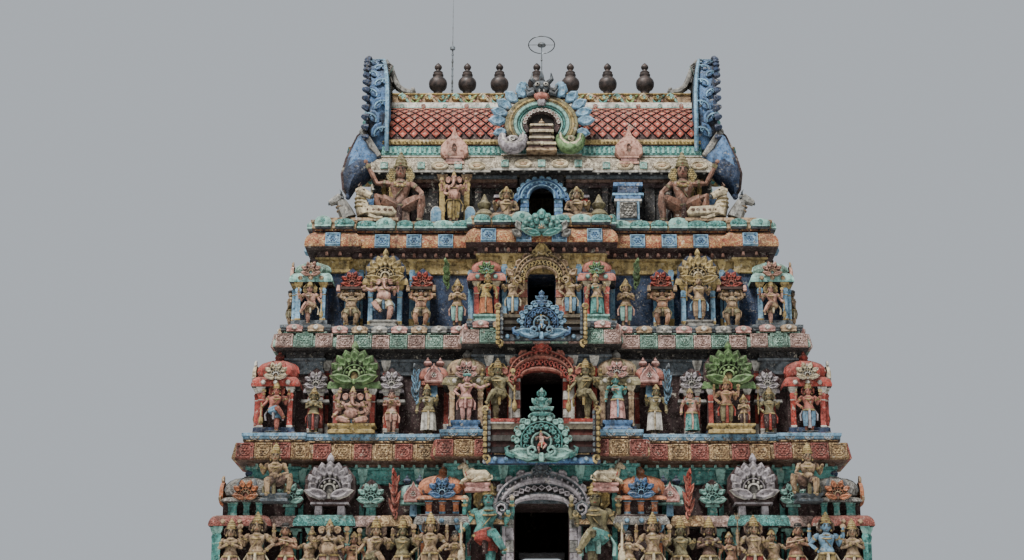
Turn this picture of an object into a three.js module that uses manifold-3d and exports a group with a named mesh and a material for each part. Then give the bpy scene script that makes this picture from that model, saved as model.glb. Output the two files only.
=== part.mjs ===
// A South Indian temple gateway tower: a granite gateway storey, three brick and stucco storeys,
// a neck storey and a barrel roof with seven finials. Millimetres, +Z up, the street front faces -Y.
// The origin is on the ground at the middle of the foot.
import * as THREE from "three";
import { mergeVertices } from "three/addons/utils/BufferGeometryUtils.js";
import Module from "manifold-3d";

const wasm = await Module();
wasm.setup();

const GAP = 0.3;
const TIDY = 0.05;
const FAR = 40000;

// Granite storey
const BASE_HALF_WIDTH = 12100;
const BASE_HALF_DEPTH = 7700;
const PLINTH_TOP = 1900;
const BASE_WALL_TOP = 7500;
const BASE_BEAM_TOP = 8000;
const PASSAGE_HALF_WIDTH = 2500;
const GATE_HALF_WIDTH = 2100;
const GATE_TOP = 6800;
const GATE_FRAME_DEPTH = 900;

// Upper storeys, from the lowest to the highest. wallHalfWidth and wallHalfDepth are the plane of the
// recesses. A storey runs from its floor to wallTop, and its cornice from there to the next floor.
const WALL_THICKNESS = 1100;
const FLOOR_SLAB = 350;
const STOREYS = [
  {
    name: "storey_1", floor: 9500, wallTop: 14080, eave: 14320, eaveTop: 15000,
    wallHalfWidth: 10650, wallHalfDepth: 6700, doorHalfWidth: 1000, doorTop: 12600,
    porch: 3450, porchOut: 900,
    shrineEave: 11800, shrineNeck: 550, shrineTop: 13720, cornerWidth: 1850, cornerOut: 1350,
    bigNasi: { at: 7850, width: 1950, out: 550, z: 13330 },
    smallNasis: { at: [6350, 9350], width: 1050, z: 12980 },
    bayShrine: { at: 3650, width: 1600, top: 13750 },
  },
  {
    name: "storey_2", floor: 15360, wallTop: 18480, eave: 18850, eaveTop: 19430,
    wallHalfWidth: 9520, wallHalfDepth: 5750, doorHalfWidth: 790, doorTop: 17800,
    porch: 2550, porchOut: 850,
    shrineEave: 17250, shrineNeck: 0, shrineTop: 18400, cornerWidth: 1400, cornerOut: 1280,
    bigNasi: { at: 7150, width: 1950, out: 550, z: 17880 },
    smallNasis: { at: [5750, 8650], width: 950, z: 17520 },
    bayShrine: { at: 2850, width: 1350, top: 18430 },
    doorShrine: {
      width: 2100, foot: 14000, neck: 15870, top: 17070, colour: "teal",
      guard: { at: 2020, foot: 14050, top: 16100 },
    },
  },
  {
    name: "storey_3", floor: 19800, wallTop: 22820, eave: 23180, eaveTop: 23870,
    wallHalfWidth: 8580, wallHalfDepth: 4800, doorHalfWidth: 530, doorTop: 22000,
    porch: 2450, porchOut: 800,
    shrineEave: 21650, shrineNeck: 0, shrineTop: 22580, cornerWidth: 1250, cornerOut: 1070,
    bigNasi: { at: 6150, width: 1650, out: 500, z: 22080 },
    smallNasis: { at: [4700, 7480], width: 900, z: 21820 },
    bayShrine: { at: 2150, width: 1050, top: 22600 },
    doorShrine: {
      width: 1750, foot: 18900, neck: 20390, top: 21040, colour: "blue",
      guard: { at: 1600, foot: 18680, top: 20330 },
    },
  },
];

// Miniature shrines
const SHRINE_SLAB = 350;
const SHRINE_SPREAD = 120;

// Shrines in front of the upper doors. Each sits on the ledge under its door and hangs down in front of
// the eave, with an upright guard on either side.
const EAVE_OUT = 520;
const DOOR_SHRINE_CLEARANCE = 20;
const DOOR_SHRINE_DEPTH = 330;
const DOOR_SHRINE_BAND = 150;
const DOOR_SHRINE_SLAB = 150;
const DOOR_SHRINE_SEAT = 400;
const GUARD_DEPTH = 420;
const GUARD_WIDTH = 420;

// Neck storey and roof
const NECK_FLOOR = 24360;
const NECK_HALF_WIDTH = 6300;
const NECK_HALF_DEPTH = 3450;
const NECK_WALL = 900;
const NECK_DOOR_HALF_WIDTH = 500;
const NECK_DOOR_TOP = 26390;
const ROOF_EAVE = 26800;
const ROOF_EAVE_TOP = 27560;
const VAULT_FOOT = 28420;
const VAULT_HALF_DEPTH = 3450;
const VAULT_RISE = 2350;
const VAULT_SHELL = 450;
const VAULT_HALF_LENGTH = 6450;
const RIDGE_FOOT = 30650;
const RIDGE_TOP = 31600;
const GABLE_THICKNESS = 900;
const GABLE_TOP = 33150;
const KALASHA_HEIGHT = 1700;
const KALASHA_PLACES = [-4530, -3250, -1840, -210, 1260, 2890, 4520];
const MAST_X = -3910;
const MAST_HEAD = 33950;
const MAST_TIP = 36400;
const LAMP_HOOP_RADIUS = 600;
const LAMP_HOOP_Z = 33950;

// Solids

// A closed three.js geometry as a manifold solid.
function solid(geometry) {
  const bare = geometry.clone();
  bare.deleteAttribute("normal");
  bare.deleteAttribute("uv");
  const merged = mergeVertices(bare, 1e-3);
  return new wasm.Manifold(
    new wasm.Mesh({
      numProp: 3,
      vertProperties: merged.attributes.position.array,
      triVerts: new Uint32Array(merged.index.array),
    }),
  );
}

function join(first, ...others) {
  return others.reduce((sum, other) => sum.add(other), first);
}

function cut(first, ...others) {
  return others.reduce((rest, other) => rest.subtract(other), first);
}

function block(x0, x1, y0, y1, z0, z1) {
  const box = new THREE.BoxGeometry(x1 - x0, y1 - y0, z1 - z0);
  return solid(box.translate((x0 + x1) / 2, (y0 + y1) / 2, (z0 + z1) / 2));
}

// A round bar from one point to another, with its own radius at each end.
function limb(from, to, startRadius, endRadius, sides = 5) {
  const start = new THREE.Vector3(...from);
  const along = new THREE.Vector3(...to).sub(start);
  const bar = new THREE.CylinderGeometry(endRadius, startRadius, along.length(), sides);
  const turn = new THREE.Quaternion().setFromUnitVectors(
    new THREE.Vector3(0, 1, 0),
    along.clone().normalize(),
  );
  bar.applyQuaternion(turn);
  const middle = start.add(along.multiplyScalar(0.5));
  return solid(bar.translate(middle.x, middle.y, middle.z));
}

function ball(centre, radii, around = 6, up = 5) {
  const sphere = new THREE.SphereGeometry(1, around, up);
  sphere.rotateX(Math.PI / 2);
  sphere.scale(...radii);
  return solid(sphere.translate(...centre));
}

// A turned solid on a vertical axis. The profile holds [radius, height] pairs from axis to axis.
function turned(profile, x, y, z, sides) {
  const points = profile.map(([radius, height]) => new THREE.Vector2(radius, height));
  const lathe = new THREE.LatheGeometry(points, sides);
  lathe.rotateX(Math.PI / 2);
  return solid(lathe.translate(x, y, z));
}

// An outline of [across, height] pairs, extruded from one depth to another. facing "y" lays across
// along X and depth along Y, facing "x" lays across along Y and depth along X.
function plate(outline, facing, from, to) {
  const shape = new THREE.Shape(outline.map(([across, height]) => new THREE.Vector2(across, height)));
  const body = new THREE.ExtrudeGeometry(shape, { depth: to - from, bevelEnabled: false });
  body.translate(0, 0, from);
  body.applyMatrix4(
    facing === "y"
      ? new THREE.Matrix4().set(1, 0, 0, 0, 0, 0, 1, 0, 0, 1, 0, 0, 0, 0, 0, 1)
      : new THREE.Matrix4().set(0, 0, 1, 0, 1, 0, 0, 0, 0, 1, 0, 0, 0, 0, 0, 1),
  );
  if (facing === "y") {
    flipFaces(body);
  }
  return solid(body);
}

// Turns every face round, for a geometry that was mirrored.
function flipFaces(geometry) {
  const position = geometry.attributes.position;
  for (let i = 0; i < position.count; i += 3) {
    const a = new THREE.Vector3().fromBufferAttribute(position, i + 1);
    const b = new THREE.Vector3().fromBufferAttribute(position, i + 2);
    position.setXYZ(i + 1, b.x, b.y, b.z);
    position.setXYZ(i + 2, a.x, a.y, a.z);
  }
}

// Plans. A plan is an anticlockwise list of [x, y] corners whose edges run along X or Y.

// One face of a plan as [along, out] pairs, from one corner to the other. bays are [from, to, out],
// given from the middle of the face outwards and repeated on its other half.
function faceSteps(half, bays, cornerOut) {
  const right = [];
  let last = bays[0][0] === 0 ? bays[0][2] : 0;
  for (const [from, to, out] of bays) {
    if (from > 0 && last !== out) {
      right.push([from, last], [from, out]);
    }
    last = out;
    const next = bays.find((bay) => bay[0] === to);
    if (!next && to < half + cornerOut) {
      right.push([to, out], [to, 0]);
      last = 0;
    }
  }
  right.push([half + cornerOut, cornerOut]);
  const left = right.map(([along, out]) => [-along, out]).reverse();
  return [...left, ...right.slice(0, -1)];
}

function plan(halfWidth, halfDepth, frontBays, sideBays, cornerOut) {
  const front = faceSteps(halfWidth, frontBays, cornerOut);
  const side = faceSteps(halfDepth, sideBays, cornerOut);
  return [
    ...front.map(([along, out]) => [along, -halfDepth - out]),
    ...side.map(([along, out]) => [halfWidth + out, along]),
    ...front.map(([along, out]) => [-along, halfDepth + out]),
    ...side.map(([along, out]) => [-halfWidth - out, -along]),
  ];
}

// Moves every edge of a plan outwards by the same amount.
function widened(corners, by) {
  return corners.map(([x, y], i) => {
    const [beforeX, beforeY] = corners[(i + corners.length - 1) % corners.length];
    const [afterX, afterY] = corners[(i + 1) % corners.length];
    const inX = Math.sign(x - beforeX);
    const inY = Math.sign(y - beforeY);
    const outX = Math.sign(afterX - x);
    const outY = Math.sign(afterY - y);
    return [x + by * (inY + outY), y - by * (inX + outX)];
  });
}

// A moulded course: the plan, widened by each step of the profile of [out, height] pairs.
function course(corners, profile) {
  const rings = profile.map(([out]) => widened(corners, out));
  const count = corners.length;
  const triangles = [];
  const vertex = (ring, i) => {
    const [x, y] = rings[ring][i % count];
    return [x, y, profile[ring][1]];
  };
  for (let ring = 0; ring + 1 < rings.length; ring += 1) {
    for (let i = 0; i < count; i += 1) {
      triangles.push(vertex(ring, i), vertex(ring, i + 1), vertex(ring + 1, i + 1));
      triangles.push(vertex(ring, i), vertex(ring + 1, i + 1), vertex(ring + 1, i));
    }
  }
  for (const ring of [0, rings.length - 1]) {
    const flat = rings[ring].map(([x, y]) => new THREE.Vector2(x, y));
    for (const [a, b, c] of THREE.ShapeUtils.triangulateShape(flat, [])) {
      const face = ring === 0 ? [c, b, a] : [a, b, c];
      triangles.push(...face.map((i) => vertex(ring, i)));
    }
  }
  const geometry = new THREE.BufferGeometry();
  geometry.setAttribute("position", new THREE.Float32BufferAttribute(triangles.flat(), 3));
  return solid(geometry);
}

// Materials and nodes

const COLOURS = {
  granite: 0x8b8378,
  stucco: 0xb58d6a,
  teal: 0x4f9a90,
  red: 0xa8503c,
  blue: 0x3f6ea3,
  ochre: 0xb99a55,
  bronze: 0x3d3f3a,
  steel: 0x8d9296,
  cream: 0xcdbf9f,
};
const gopuram = new THREE.Group();

function addNode(name, body, colour) {
  const mesh = body.asOriginal().simplify(TIDY).getMesh();
  const geometry = new THREE.BufferGeometry();
  geometry.setAttribute("position", new THREE.BufferAttribute(mesh.vertProperties, 3));
  geometry.setIndex(new THREE.BufferAttribute(mesh.triVerts, 1));
  geometry.computeVertexNormals();
  const metal = colour === "bronze" || colour === "steel";
  const material = new THREE.MeshStandardMaterial({
    color: COLOURS[colour],
    roughness: metal ? 0.5 : 0.85,
    metalness: metal ? 0.8 : 0,
  });
  const node = new THREE.Mesh(geometry, material);
  node.name = name;
  gopuram.add(node);
}

// Granite gateway storey

const basePlan = plan(
  BASE_HALF_WIDTH,
  BASE_HALF_DEPTH,
  [[PASSAGE_HALF_WIDTH - 1, 4600, 300], [7600, 9600, 300], [11200, FAR, 300]],
  [[0, 1600, 300], [6800, FAR, 300]],
  300,
);

function addFlanks(name, body) {
  addNode(`${name}_left`, body.intersect(block(-FAR, -PASSAGE_HALF_WIDTH, -FAR, FAR, -1, FAR)), "granite");
  addNode(`${name}_right`, body.intersect(block(PASSAGE_HALF_WIDTH, FAR, -FAR, FAR, -1, FAR)), "granite");
}

// One gate frame: two jambs and a lintel, its outer face a little proud of the wall.
function gateFrame(face) {
  const outer = face * (BASE_HALF_DEPTH + 350);
  const inner = outer - face * GATE_FRAME_DEPTH;
  const near = Math.min(outer, inner);
  const far = Math.max(outer, inner);
  const whole = block(-PASSAGE_HALF_WIDTH + GAP, PASSAGE_HALF_WIDTH - GAP, near, far, 0, BASE_WALL_TOP - GAP);
  return cut(whole, block(-GATE_HALF_WIDTH, GATE_HALF_WIDTH, near - 1, far + 1, -1, GATE_TOP));
}

function addGranite() {
  addFlanks("plinth", course(basePlan, [
    [550, 0], [550, 500], [400, 620], [400, 1000], [200, 1200],
    [450, 1500], [450, 1700], [150, PLINTH_TOP - GAP],
  ]));
  addFlanks("base_wall", course(basePlan, [
    [0, PLINTH_TOP], [0, BASE_WALL_TOP - 600], [150, BASE_WALL_TOP - 350], [150, BASE_WALL_TOP - GAP],
  ]));
  addNode("gateway_frame_front", gateFrame(-1), "granite");
  addNode("gateway_frame_back", gateFrame(1), "granite");
  addNode("gateway_ceiling", course(basePlan, [
    [100, BASE_WALL_TOP], [100, BASE_BEAM_TOP - GAP],
  ]), "granite");
  addNode("base_cornice", course(basePlan, [
    [150, BASE_BEAM_TOP], [150, 8250], [650, 8300], [600, 8600],
    [150, 8900], [400, 8950], [400, STOREYS[0].floor - GAP],
  ]), "granite");
}

// Upper storeys

function storeyPlan(storey) {
  const { porch, porchOut, bigNasi, wallHalfDepth } = storey;
  const corner = storey.wallHalfWidth - storey.cornerWidth + 350;
  const sideCorner = wallHalfDepth - storey.cornerWidth + 350;
  return plan(
    storey.wallHalfWidth,
    wallHalfDepth,
    [[0, porch, porchOut], [corner, FAR, 250]],
    [[0, bigNasi.width / 2, 250], [sideCorner, FAR, 250]],
    250,
  );
}

// A horseshoe gable facing out of a wall: an upright disc with a flat foot and a small point.
function nasi(facing, out, across, z, width, thickness) {
  const outline = [];
  const steps = 8;
  const radius = width / 2;
  for (let i = 0; i <= steps; i += 1) {
    const angle = THREE.MathUtils.degToRad(-50 + (280 * i) / steps);
    const reach = i === steps / 2 ? 1.25 * radius : radius;
    outline.push([across + reach * Math.cos(angle), z + reach * Math.sin(angle)]);
  }
  const back = out - Math.sign(out) * thickness;
  return plate(outline, facing, Math.min(out, back), Math.max(out, back));
}

// A miniature shrine against a wall: body, eave slab and, where asked, a low neck and a domed roof.
function miniShrine(storey, x0, x1, y0, y1, domed, top = storey.shrineTop) {
  const eave = storey.shrineEave;
  const body = block(x0, x1, y0, y1, storey.floor, eave + 10);
  const slab = block(
    x0 - SHRINE_SPREAD, x1 + SHRINE_SPREAD, y0 - SHRINE_SPREAD, y1 + SHRINE_SPREAD, eave, eave + SHRINE_SLAB,
  );
  if (!domed) {
    return join(body, slab);
  }
  const half = Math.min(x1 - x0, y1 - y0) / 2;
  const foot = eave + SHRINE_SLAB + storey.shrineNeck;
  const rise = top - foot;
  const dome = turned(
    [
      [0, 0], [half * 1.1, 0], [half * 1.35, rise * 0.35], [half * 1.1, rise * 0.65],
      [half * 0.35, rise * 0.85], [0, rise],
    ],
    0, 0, 0, 4,
  );
  const roof = dome.rotate([0, 0, 45]).translate([(x0 + x1) / 2, (y0 + y1) / 2, foot - 10]);
  const neck = block(x0 + 150, x1 - 150, y0 + 150, y1 - 150, eave, foot);
  return join(body, slab, neck, roof);
}

// Everything that stands out from the front wall of a storey, as seen on the -Y side.
function frontOrnament(storey) {
  const wallY = -storey.wallHalfDepth;
  const innerY = wallY + WALL_THICKNESS - 200;
  const parts = [];
  for (const side of [-1, 1]) {
    const span = (from, to) => (side > 0 ? [from, to] : [-to, -from]);
    const cornerTo = storey.wallHalfWidth + storey.cornerOut;
    const [cornerX0, cornerX1] = span(cornerTo - storey.cornerWidth, cornerTo);
    parts.push(miniShrine(storey, cornerX0, cornerX1, wallY - 500, innerY, true));
    const { at, width, out, z } = storey.bigNasi;
    const [nasiX0, nasiX1] = span(at - width * 0.42, at + width * 0.42);
    parts.push(miniShrine(storey, nasiX0, nasiX1, wallY - out, innerY, false));
    parts.push(nasi("y", wallY - out - 150, side * at, z, width, out + 350));
    for (const smallAt of storey.smallNasis.at) {
      const half = storey.smallNasis.width / 2;
      const [x0, x1] = span(smallAt - half * 0.7, smallAt + half * 0.7);
      parts.push(block(x0, x1, wallY - 300, innerY, storey.floor, storey.shrineEave));
      parts.push(nasi("y", wallY - 400, side * smallAt, storey.smallNasis.z, storey.smallNasis.width, 600));
    }
    const bay = storey.bayShrine;
    const bayY = wallY - storey.porchOut - 300;
    const bayBack = Math.max(bayY + bay.width, wallY + 200);
    const [bayX0, bayX1] = span(bay.at - bay.width / 2, bay.at + bay.width / 2);
    parts.push(miniShrine(storey, bayX0, bayX1, bayY, bayBack, true, bay.top));
  }
  return join(...parts);
}

// The same for the right-hand side wall, on the +X side.
function sideOrnament(storey) {
  const wallX = storey.wallHalfWidth;
  const innerX = wallX - WALL_THICKNESS + 200;
  const parts = [];
  const { width, out, z } = storey.bigNasi;
  parts.push(miniShrine(storey, innerX, wallX + out, -width * 0.42, width * 0.42, false));
  parts.push(nasi("x", wallX + out + 150, 0, z, width, out + 350));
  const between = (storey.wallHalfDepth + width * 0.15) / 2;
  for (const at of [-between, between]) {
    const half = storey.smallNasis.width / 2;
    parts.push(
      block(innerX, wallX + 300, at - half * 0.7, at + half * 0.7, storey.floor, storey.shrineEave),
    );
    parts.push(nasi("x", wallX + 400, at, storey.smallNasis.z, storey.smallNasis.width, 600));
  }
  return join(...parts);
}

// Splits a ring of four walls into front, back, left and right, with a fine joint between them.
function addWalls(name, mass, ornament, room, door, roomHalfDepth, colour) {
  const zoneFront = block(-FAR, FAR, -FAR, -roomHalfDepth - GAP, -FAR, FAR);
  const zoneRight = block(0, FAR, -roomHalfDepth, roomHalfDepth, -FAR, FAR);
  const front = cut(join(mass, ornament.front), room, door).intersect(zoneFront);
  const right = cut(join(mass, ornament.side), room).intersect(zoneRight);
  addNode(`${name}_front_wall`, front, colour);
  addNode(`${name}_back_wall`, front.mirror([0, 1, 0]), colour);
  addNode(`${name}_left_wall`, right.mirror([1, 0, 0]), colour);
  addNode(`${name}_right_wall`, right, colour);
}

function addStorey(storey, nextFloor, colour) {
  const outline = storeyPlan(storey);
  const roomX = storey.wallHalfWidth - WALL_THICKNESS;
  const roomY = storey.wallHalfDepth - WALL_THICKNESS;
  const room = block(-roomX, roomX, -roomY, roomY, storey.floor - 1, storey.wallTop + 1);
  const { doorHalfWidth, doorTop } = storey;
  const door = block(-doorHalfWidth, doorHalfWidth, -FAR, FAR, storey.floor - 1, doorTop);
  const mass = course(outline, [[0, storey.floor], [0, storey.wallTop - GAP]]);
  const zone = block(-FAR, FAR, -FAR, FAR, storey.floor, storey.wallTop - GAP);
  const ornament = {
    front: frontOrnament(storey).intersect(zone),
    side: sideOrnament(storey).intersect(zone),
  };
  addWalls(storey.name, mass, ornament, room, door, roomY, colour);

  const { wallTop, eave, eaveTop } = storey;
  const lift = (eaveTop - eave) / 3;
  const moulded = course(outline, [
    [60, wallTop], [60, eave - 40], [EAVE_OUT, eave], [500, eave + 1.2 * lift],
    [150, eaveTop], [220, eaveTop + 100], [220, nextFloor - GAP],
  ]);
  const pocket = block(-roomX, roomX, -roomY, roomY, wallTop - 1, nextFloor - FLOOR_SLAB);
  addNode(`${storey.name}_cornice`, cut(moulded, pocket), colour);
}

// Neck storey

function addNeck() {
  const outline = plan(NECK_HALF_WIDTH, NECK_HALF_DEPTH, [[0, 900, 350]], [[0, 900, 200]], 0);
  const roomX = NECK_HALF_WIDTH - NECK_WALL;
  const roomY = NECK_HALF_DEPTH - NECK_WALL;
  const room = block(-roomX, roomX, -roomY, roomY, NECK_FLOOR - 1, ROOF_EAVE + 1);
  const mass = course(outline, [[0, NECK_FLOOR], [0, ROOF_EAVE - GAP]]);
  const door = block(
    -NECK_DOOR_HALF_WIDTH, NECK_DOOR_HALF_WIDTH, -FAR, FAR, NECK_FLOOR - 1, NECK_DOOR_TOP,
  );
  const pilasters = (facing) => {
    const list = [];
    const half = facing === "y" ? NECK_HALF_WIDTH : NECK_HALF_DEPTH;
    const plane = facing === "y" ? NECK_HALF_DEPTH : NECK_HALF_WIDTH;
    for (let at = 1500; at < half; at += 1500) {
      for (const side of [-1, 1]) {
        list.push(
          facing === "y"
            ? block(side * at - 130, side * at + 130, -plane - 120, -plane + 100, NECK_FLOOR, ROOF_EAVE - GAP)
            : block(plane - 100, plane + 120, side * at - 130, side * at + 130, NECK_FLOOR, ROOF_EAVE - GAP),
        );
      }
    }
    return join(...list);
  };
  const ornament = { front: pilasters("y"), side: pilasters("x") };
  addWalls("neck", mass, ornament, room, door, roomY, "red");
}

// A seated giant at a corner of the neck, his outer arm raised. His joints are [outwards along X from
// his middle, outwards along Y, up from the neck floor].
const GIANT_X = 5720;
const GIANT_Y = NECK_HALF_DEPTH + 900;
const GIANT = {
  hip: [0, 0, 850],
  chest: [0, 0, 2200],
  neckTop: [0, 0, 2600],
  head: [0, 40, 2830],
  crown: [0, 0, 3000],
  crownTip: [0, 0, 3440],
  outerKnee: [750, 120, 1100],
  outerFoot: [250, 100, 0],
  innerKnee: [-750, 120, 1000],
  innerFoot: [-900, 150, 0],
  outerShoulder: [400, 0, 2200],
  outerElbow: [1060, 30, 2150],
  outerHand: [1640, 30, 2900],
  innerShoulder: [-400, 0, 2200],
  innerElbow: [-1100, 50, 1700],
  innerHand: [-850, 180, 1050],
};

function giant(side, face) {
  const place = ([right, out, up]) => [side * (GIANT_X + right), face * (GIANT_Y + out), NECK_FLOOR + up];
  const bone = (from, to, startRadius, endRadius, sides) =>
    limb(place(GIANT[from]), place(GIANT[to]), startRadius, endRadius, sides);
  const x = side * GIANT_X;
  const y = face * GIANT_Y;
  return join(
    block(x - 400, x + 400, y - 250, y + 250, NECK_FLOOR, NECK_FLOOR + 1000),
    bone("hip", "chest", 330, 430, 8),
    bone("chest", "neckTop", 200, 150),
    ball(place(GIANT.head), [270, 280, 340]),
    bone("crown", "crownTip", 260, 60),
    bone("hip", "outerKnee", 250, 190),
    bone("outerKnee", "outerFoot", 190, 120),
    bone("hip", "innerKnee", 250, 190),
    bone("innerKnee", "innerFoot", 190, 120),
    bone("outerShoulder", "outerElbow", 160, 130),
    bone("outerElbow", "outerHand", 140, 110),
    bone("innerShoulder", "innerElbow", 160, 130),
    bone("innerElbow", "innerHand", 140, 110),
  );
}

// A lying bull before the giant and the head of a second one outside it, on one low slab. Its joints
// are [outwards along X from the middle of the tower, out from the slab's middle, up from the slab].
const BULL_Y = NECK_HALF_DEPTH + 1550;
const BULL_SLAB = { from: 5700, to: 8600, halfDepth: 240, height: 120 };
const BULL = {
  rump: [5950, 0, 330],
  shoulder: [7150, 0, 360],
  neck: [7200, 0, 250],
  poll: [7350, 0, 1150],
  brow: [7450, 0, 1250],
  muzzle: [7050, 0, 1080],
  secondNeck: [8000, 0, 100],
  secondPoll: [8150, 0, 900],
  secondBrow: [8050, 0, 950],
  secondMuzzle: [8520, 0, 780],
};

function bulls(side, face) {
  const y = face * BULL_Y;
  const place = ([right, out, up]) => [side * right, y + face * out, NECK_FLOOR + up];
  const bone = (from, to, startRadius, endRadius, sides) =>
    limb(place(BULL[from]), place(BULL[to]), startRadius, endRadius, sides);
  const { from, to, halfDepth, height } = BULL_SLAB;
  const slabX = side > 0 ? [from, to] : [-to, -from];
  return join(
    block(...slabX, y - halfDepth, y + halfDepth, NECK_FLOOR, NECK_FLOOR + height),
    bone("rump", "shoulder", 250, 230, 8),
    bone("neck", "poll", 260, 180),
    bone("brow", "muzzle", 200, 120),
    bone("secondNeck", "secondPoll", 250, 160),
    bone("secondBrow", "secondMuzzle", 180, 100),
  );
}

function addNeckFigures() {
  const above = block(-FAR, FAR, -FAR, FAR, NECK_FLOOR, FAR);
  for (const [faceName, face] of [["front", -1], ["back", 1]]) {
    for (const [sideName, side] of [["left", -1], ["right", 1]]) {
      addNode(`${faceName}_${sideName}_giant`, giant(side, face).intersect(above), "ochre");
      addNode(`${faceName}_${sideName}_bulls`, bulls(side, face).intersect(above), "cream");
    }
  }
}

// Roof

// The vault's section at a given distance outside its face, from one foot over the top to the other.
function vaultSection(out) {
  const points = [];
  const steps = 12;
  for (let i = 0; i <= steps; i += 1) {
    const angle = (Math.PI * i) / steps;
    points.push([
      (VAULT_HALF_DEPTH + out) * Math.cos(angle),
      VAULT_FOOT + (VAULT_RISE + out) * Math.sin(angle),
    ]);
  }
  return points;
}

function vaultMass(out, halfLength) {
  const outline = [
    ...vaultSection(out),
    [-(VAULT_HALF_DEPTH + out), VAULT_FOOT - 1500],
    [VAULT_HALF_DEPTH + out, VAULT_FOOT - 1500],
  ];
  return plate(outline, "x", -halfLength, halfLength);
}

// The outline of a gable crest: a horseshoe with petals, in [across, height] pairs.
function crestOutline(centreZ, halfWidth, rise, foot, petals, depth) {
  const points = [[-halfWidth * 0.72, foot]];
  const steps = petals * 2;
  for (let i = 0; i <= steps; i += 1) {
    const angle = Math.PI * (1.12 - (1.24 * i) / steps);
    const reach = i % 2 === 0 ? 1 - depth : 1;
    points.push([halfWidth * reach * Math.cos(angle), centreZ + rise * reach * Math.sin(angle)]);
  }
  points.push([halfWidth * 0.72, foot]);
  return points.reverse();
}

// The scroll at the foot of an end gable, seen from the front, in [x, height] pairs.
const GABLE_SCROLL = [
  [6560, 27700], [6700, 27200], [7230, 26540], [7670, 26300], [7940, 25850], [8150, 26250], [8200, 26900],
  [8040, 27550], [7770, 28160], [7590, 28600], [7380, 28760], [7180, 28380], [7010, 28040],
];

function endGable(side) {
  const inner = VAULT_HALF_LENGTH + GAP;
  const outer = inner + GABLE_THICKNESS;
  const outline = crestOutline(29300, 3950, GABLE_TOP - 29300, ROOF_EAVE_TOP + 100, 11, 0.07);
  const crest = plate(outline, "x", inner, outer);
  const head = join(
    ball([inner + 100, 0, 32550], [520, 480, 620]),
    limb([inner, 0, 32750], [inner + 350, 0, 33300], 200, 60),
  );
  const scrolls = [-1, 1].map((face) => {
    const near = face < 0 ? -4050 : 2750;
    return plate(GABLE_SCROLL, "y", near, near + 1300);
  });
  const whole = join(crest, head, ...scrolls);
  const clear = join(
    vaultMass(GAP, VAULT_HALF_LENGTH + GAP / 2),
    block(-VAULT_HALF_LENGTH - GAP, VAULT_HALF_LENGTH + GAP, -700, 700, RIDGE_FOOT, RIDGE_TOP + GAP),
    course(eavePlan(), [[560 + GAP, ROOF_EAVE - 50], [560 + GAP, ROOF_EAVE_TOP + GAP]]),
    course(eavePlan(), [[60 + GAP, ROOF_EAVE_TOP - 50], [60 + GAP, VAULT_FOOT + GAP]]),
  );
  const body = cut(whole, clear);
  return side > 0 ? body : body.mirror([1, 0, 0]);
}

function eavePlan() {
  return plan(VAULT_HALF_LENGTH, VAULT_HALF_DEPTH, [[0, 1500, 250]], [[0, 1200, 100]], 0);
}

function addRoof() {
  const eave = course(eavePlan(), [
    [-30, ROOF_EAVE], [560, ROOF_EAVE + 30], [540, ROOF_EAVE + 330], [330, ROOF_EAVE_TOP - 100],
    [60, ROOF_EAVE_TOP], [60, VAULT_FOOT - GAP],
  ]);
  const roomX = NECK_HALF_WIDTH - NECK_WALL;
  const roomY = NECK_HALF_DEPTH - NECK_WALL;
  const hollow = block(-roomX, roomX, -roomY, roomY, ROOF_EAVE - 1, VAULT_FOOT + 1);
  addNode("roof_eave", cut(eave, hollow), "cream");

  const shell = cut(
    plate(vaultSection(0), "x", -VAULT_HALF_LENGTH, VAULT_HALF_LENGTH),
    plate(vaultSection(-VAULT_SHELL), "x", -VAULT_HALF_LENGTH - 1, VAULT_HALF_LENGTH + 1),
  );
  addNode("vault_roof", shell, "red");

  const ridge = cut(
    plate(
      [[-1150, RIDGE_FOOT - 150], [1150, RIDGE_FOOT - 150], [1050, RIDGE_FOOT + 350], [600, RIDGE_FOOT + 450],
        [600, RIDGE_TOP], [-600, RIDGE_TOP], [-600, RIDGE_FOOT + 450], [-1050, RIDGE_FOOT + 350]],
      "x", -VAULT_HALF_LENGTH, VAULT_HALF_LENGTH,
    ),
    vaultMass(GAP, VAULT_HALF_LENGTH + 10),
  );
  addNode("roof_ridge", ridge, "ochre");
  addNode("left_gable_crest", endGable(-1), "blue");
  addNode("right_gable_crest", endGable(1), "blue");
  addNode("front_dormer", dormer(), "teal");
  addNode("back_dormer", dormer().mirror([0, 1, 0]), "teal");
}

// The horseshoe dormer on the roof's front, with scrolls at its foot and a small shrine in its arch.
const DORMER_FRONT = -4300;
const DORMER_BACK = -1900;
const DORMER_CENTRE_Z = 28900;
const DORMER_HALF_WIDTH = 1850;
const DORMER_RISE = 1400;
const DORMER_FOOT = 27450;
const DORMER_OPENING = [
  [-650, 27950], [650, 27950], [700, 28600], [450, 29150], [0, 29350], [-450, 29150], [-700, 28600],
];
const DORMER_SCROLL = [
  [350, 27500], [1500, 27400], [1900, 27900], [1750, 28250], [1300, 28000], [650, 28200],
];

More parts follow.
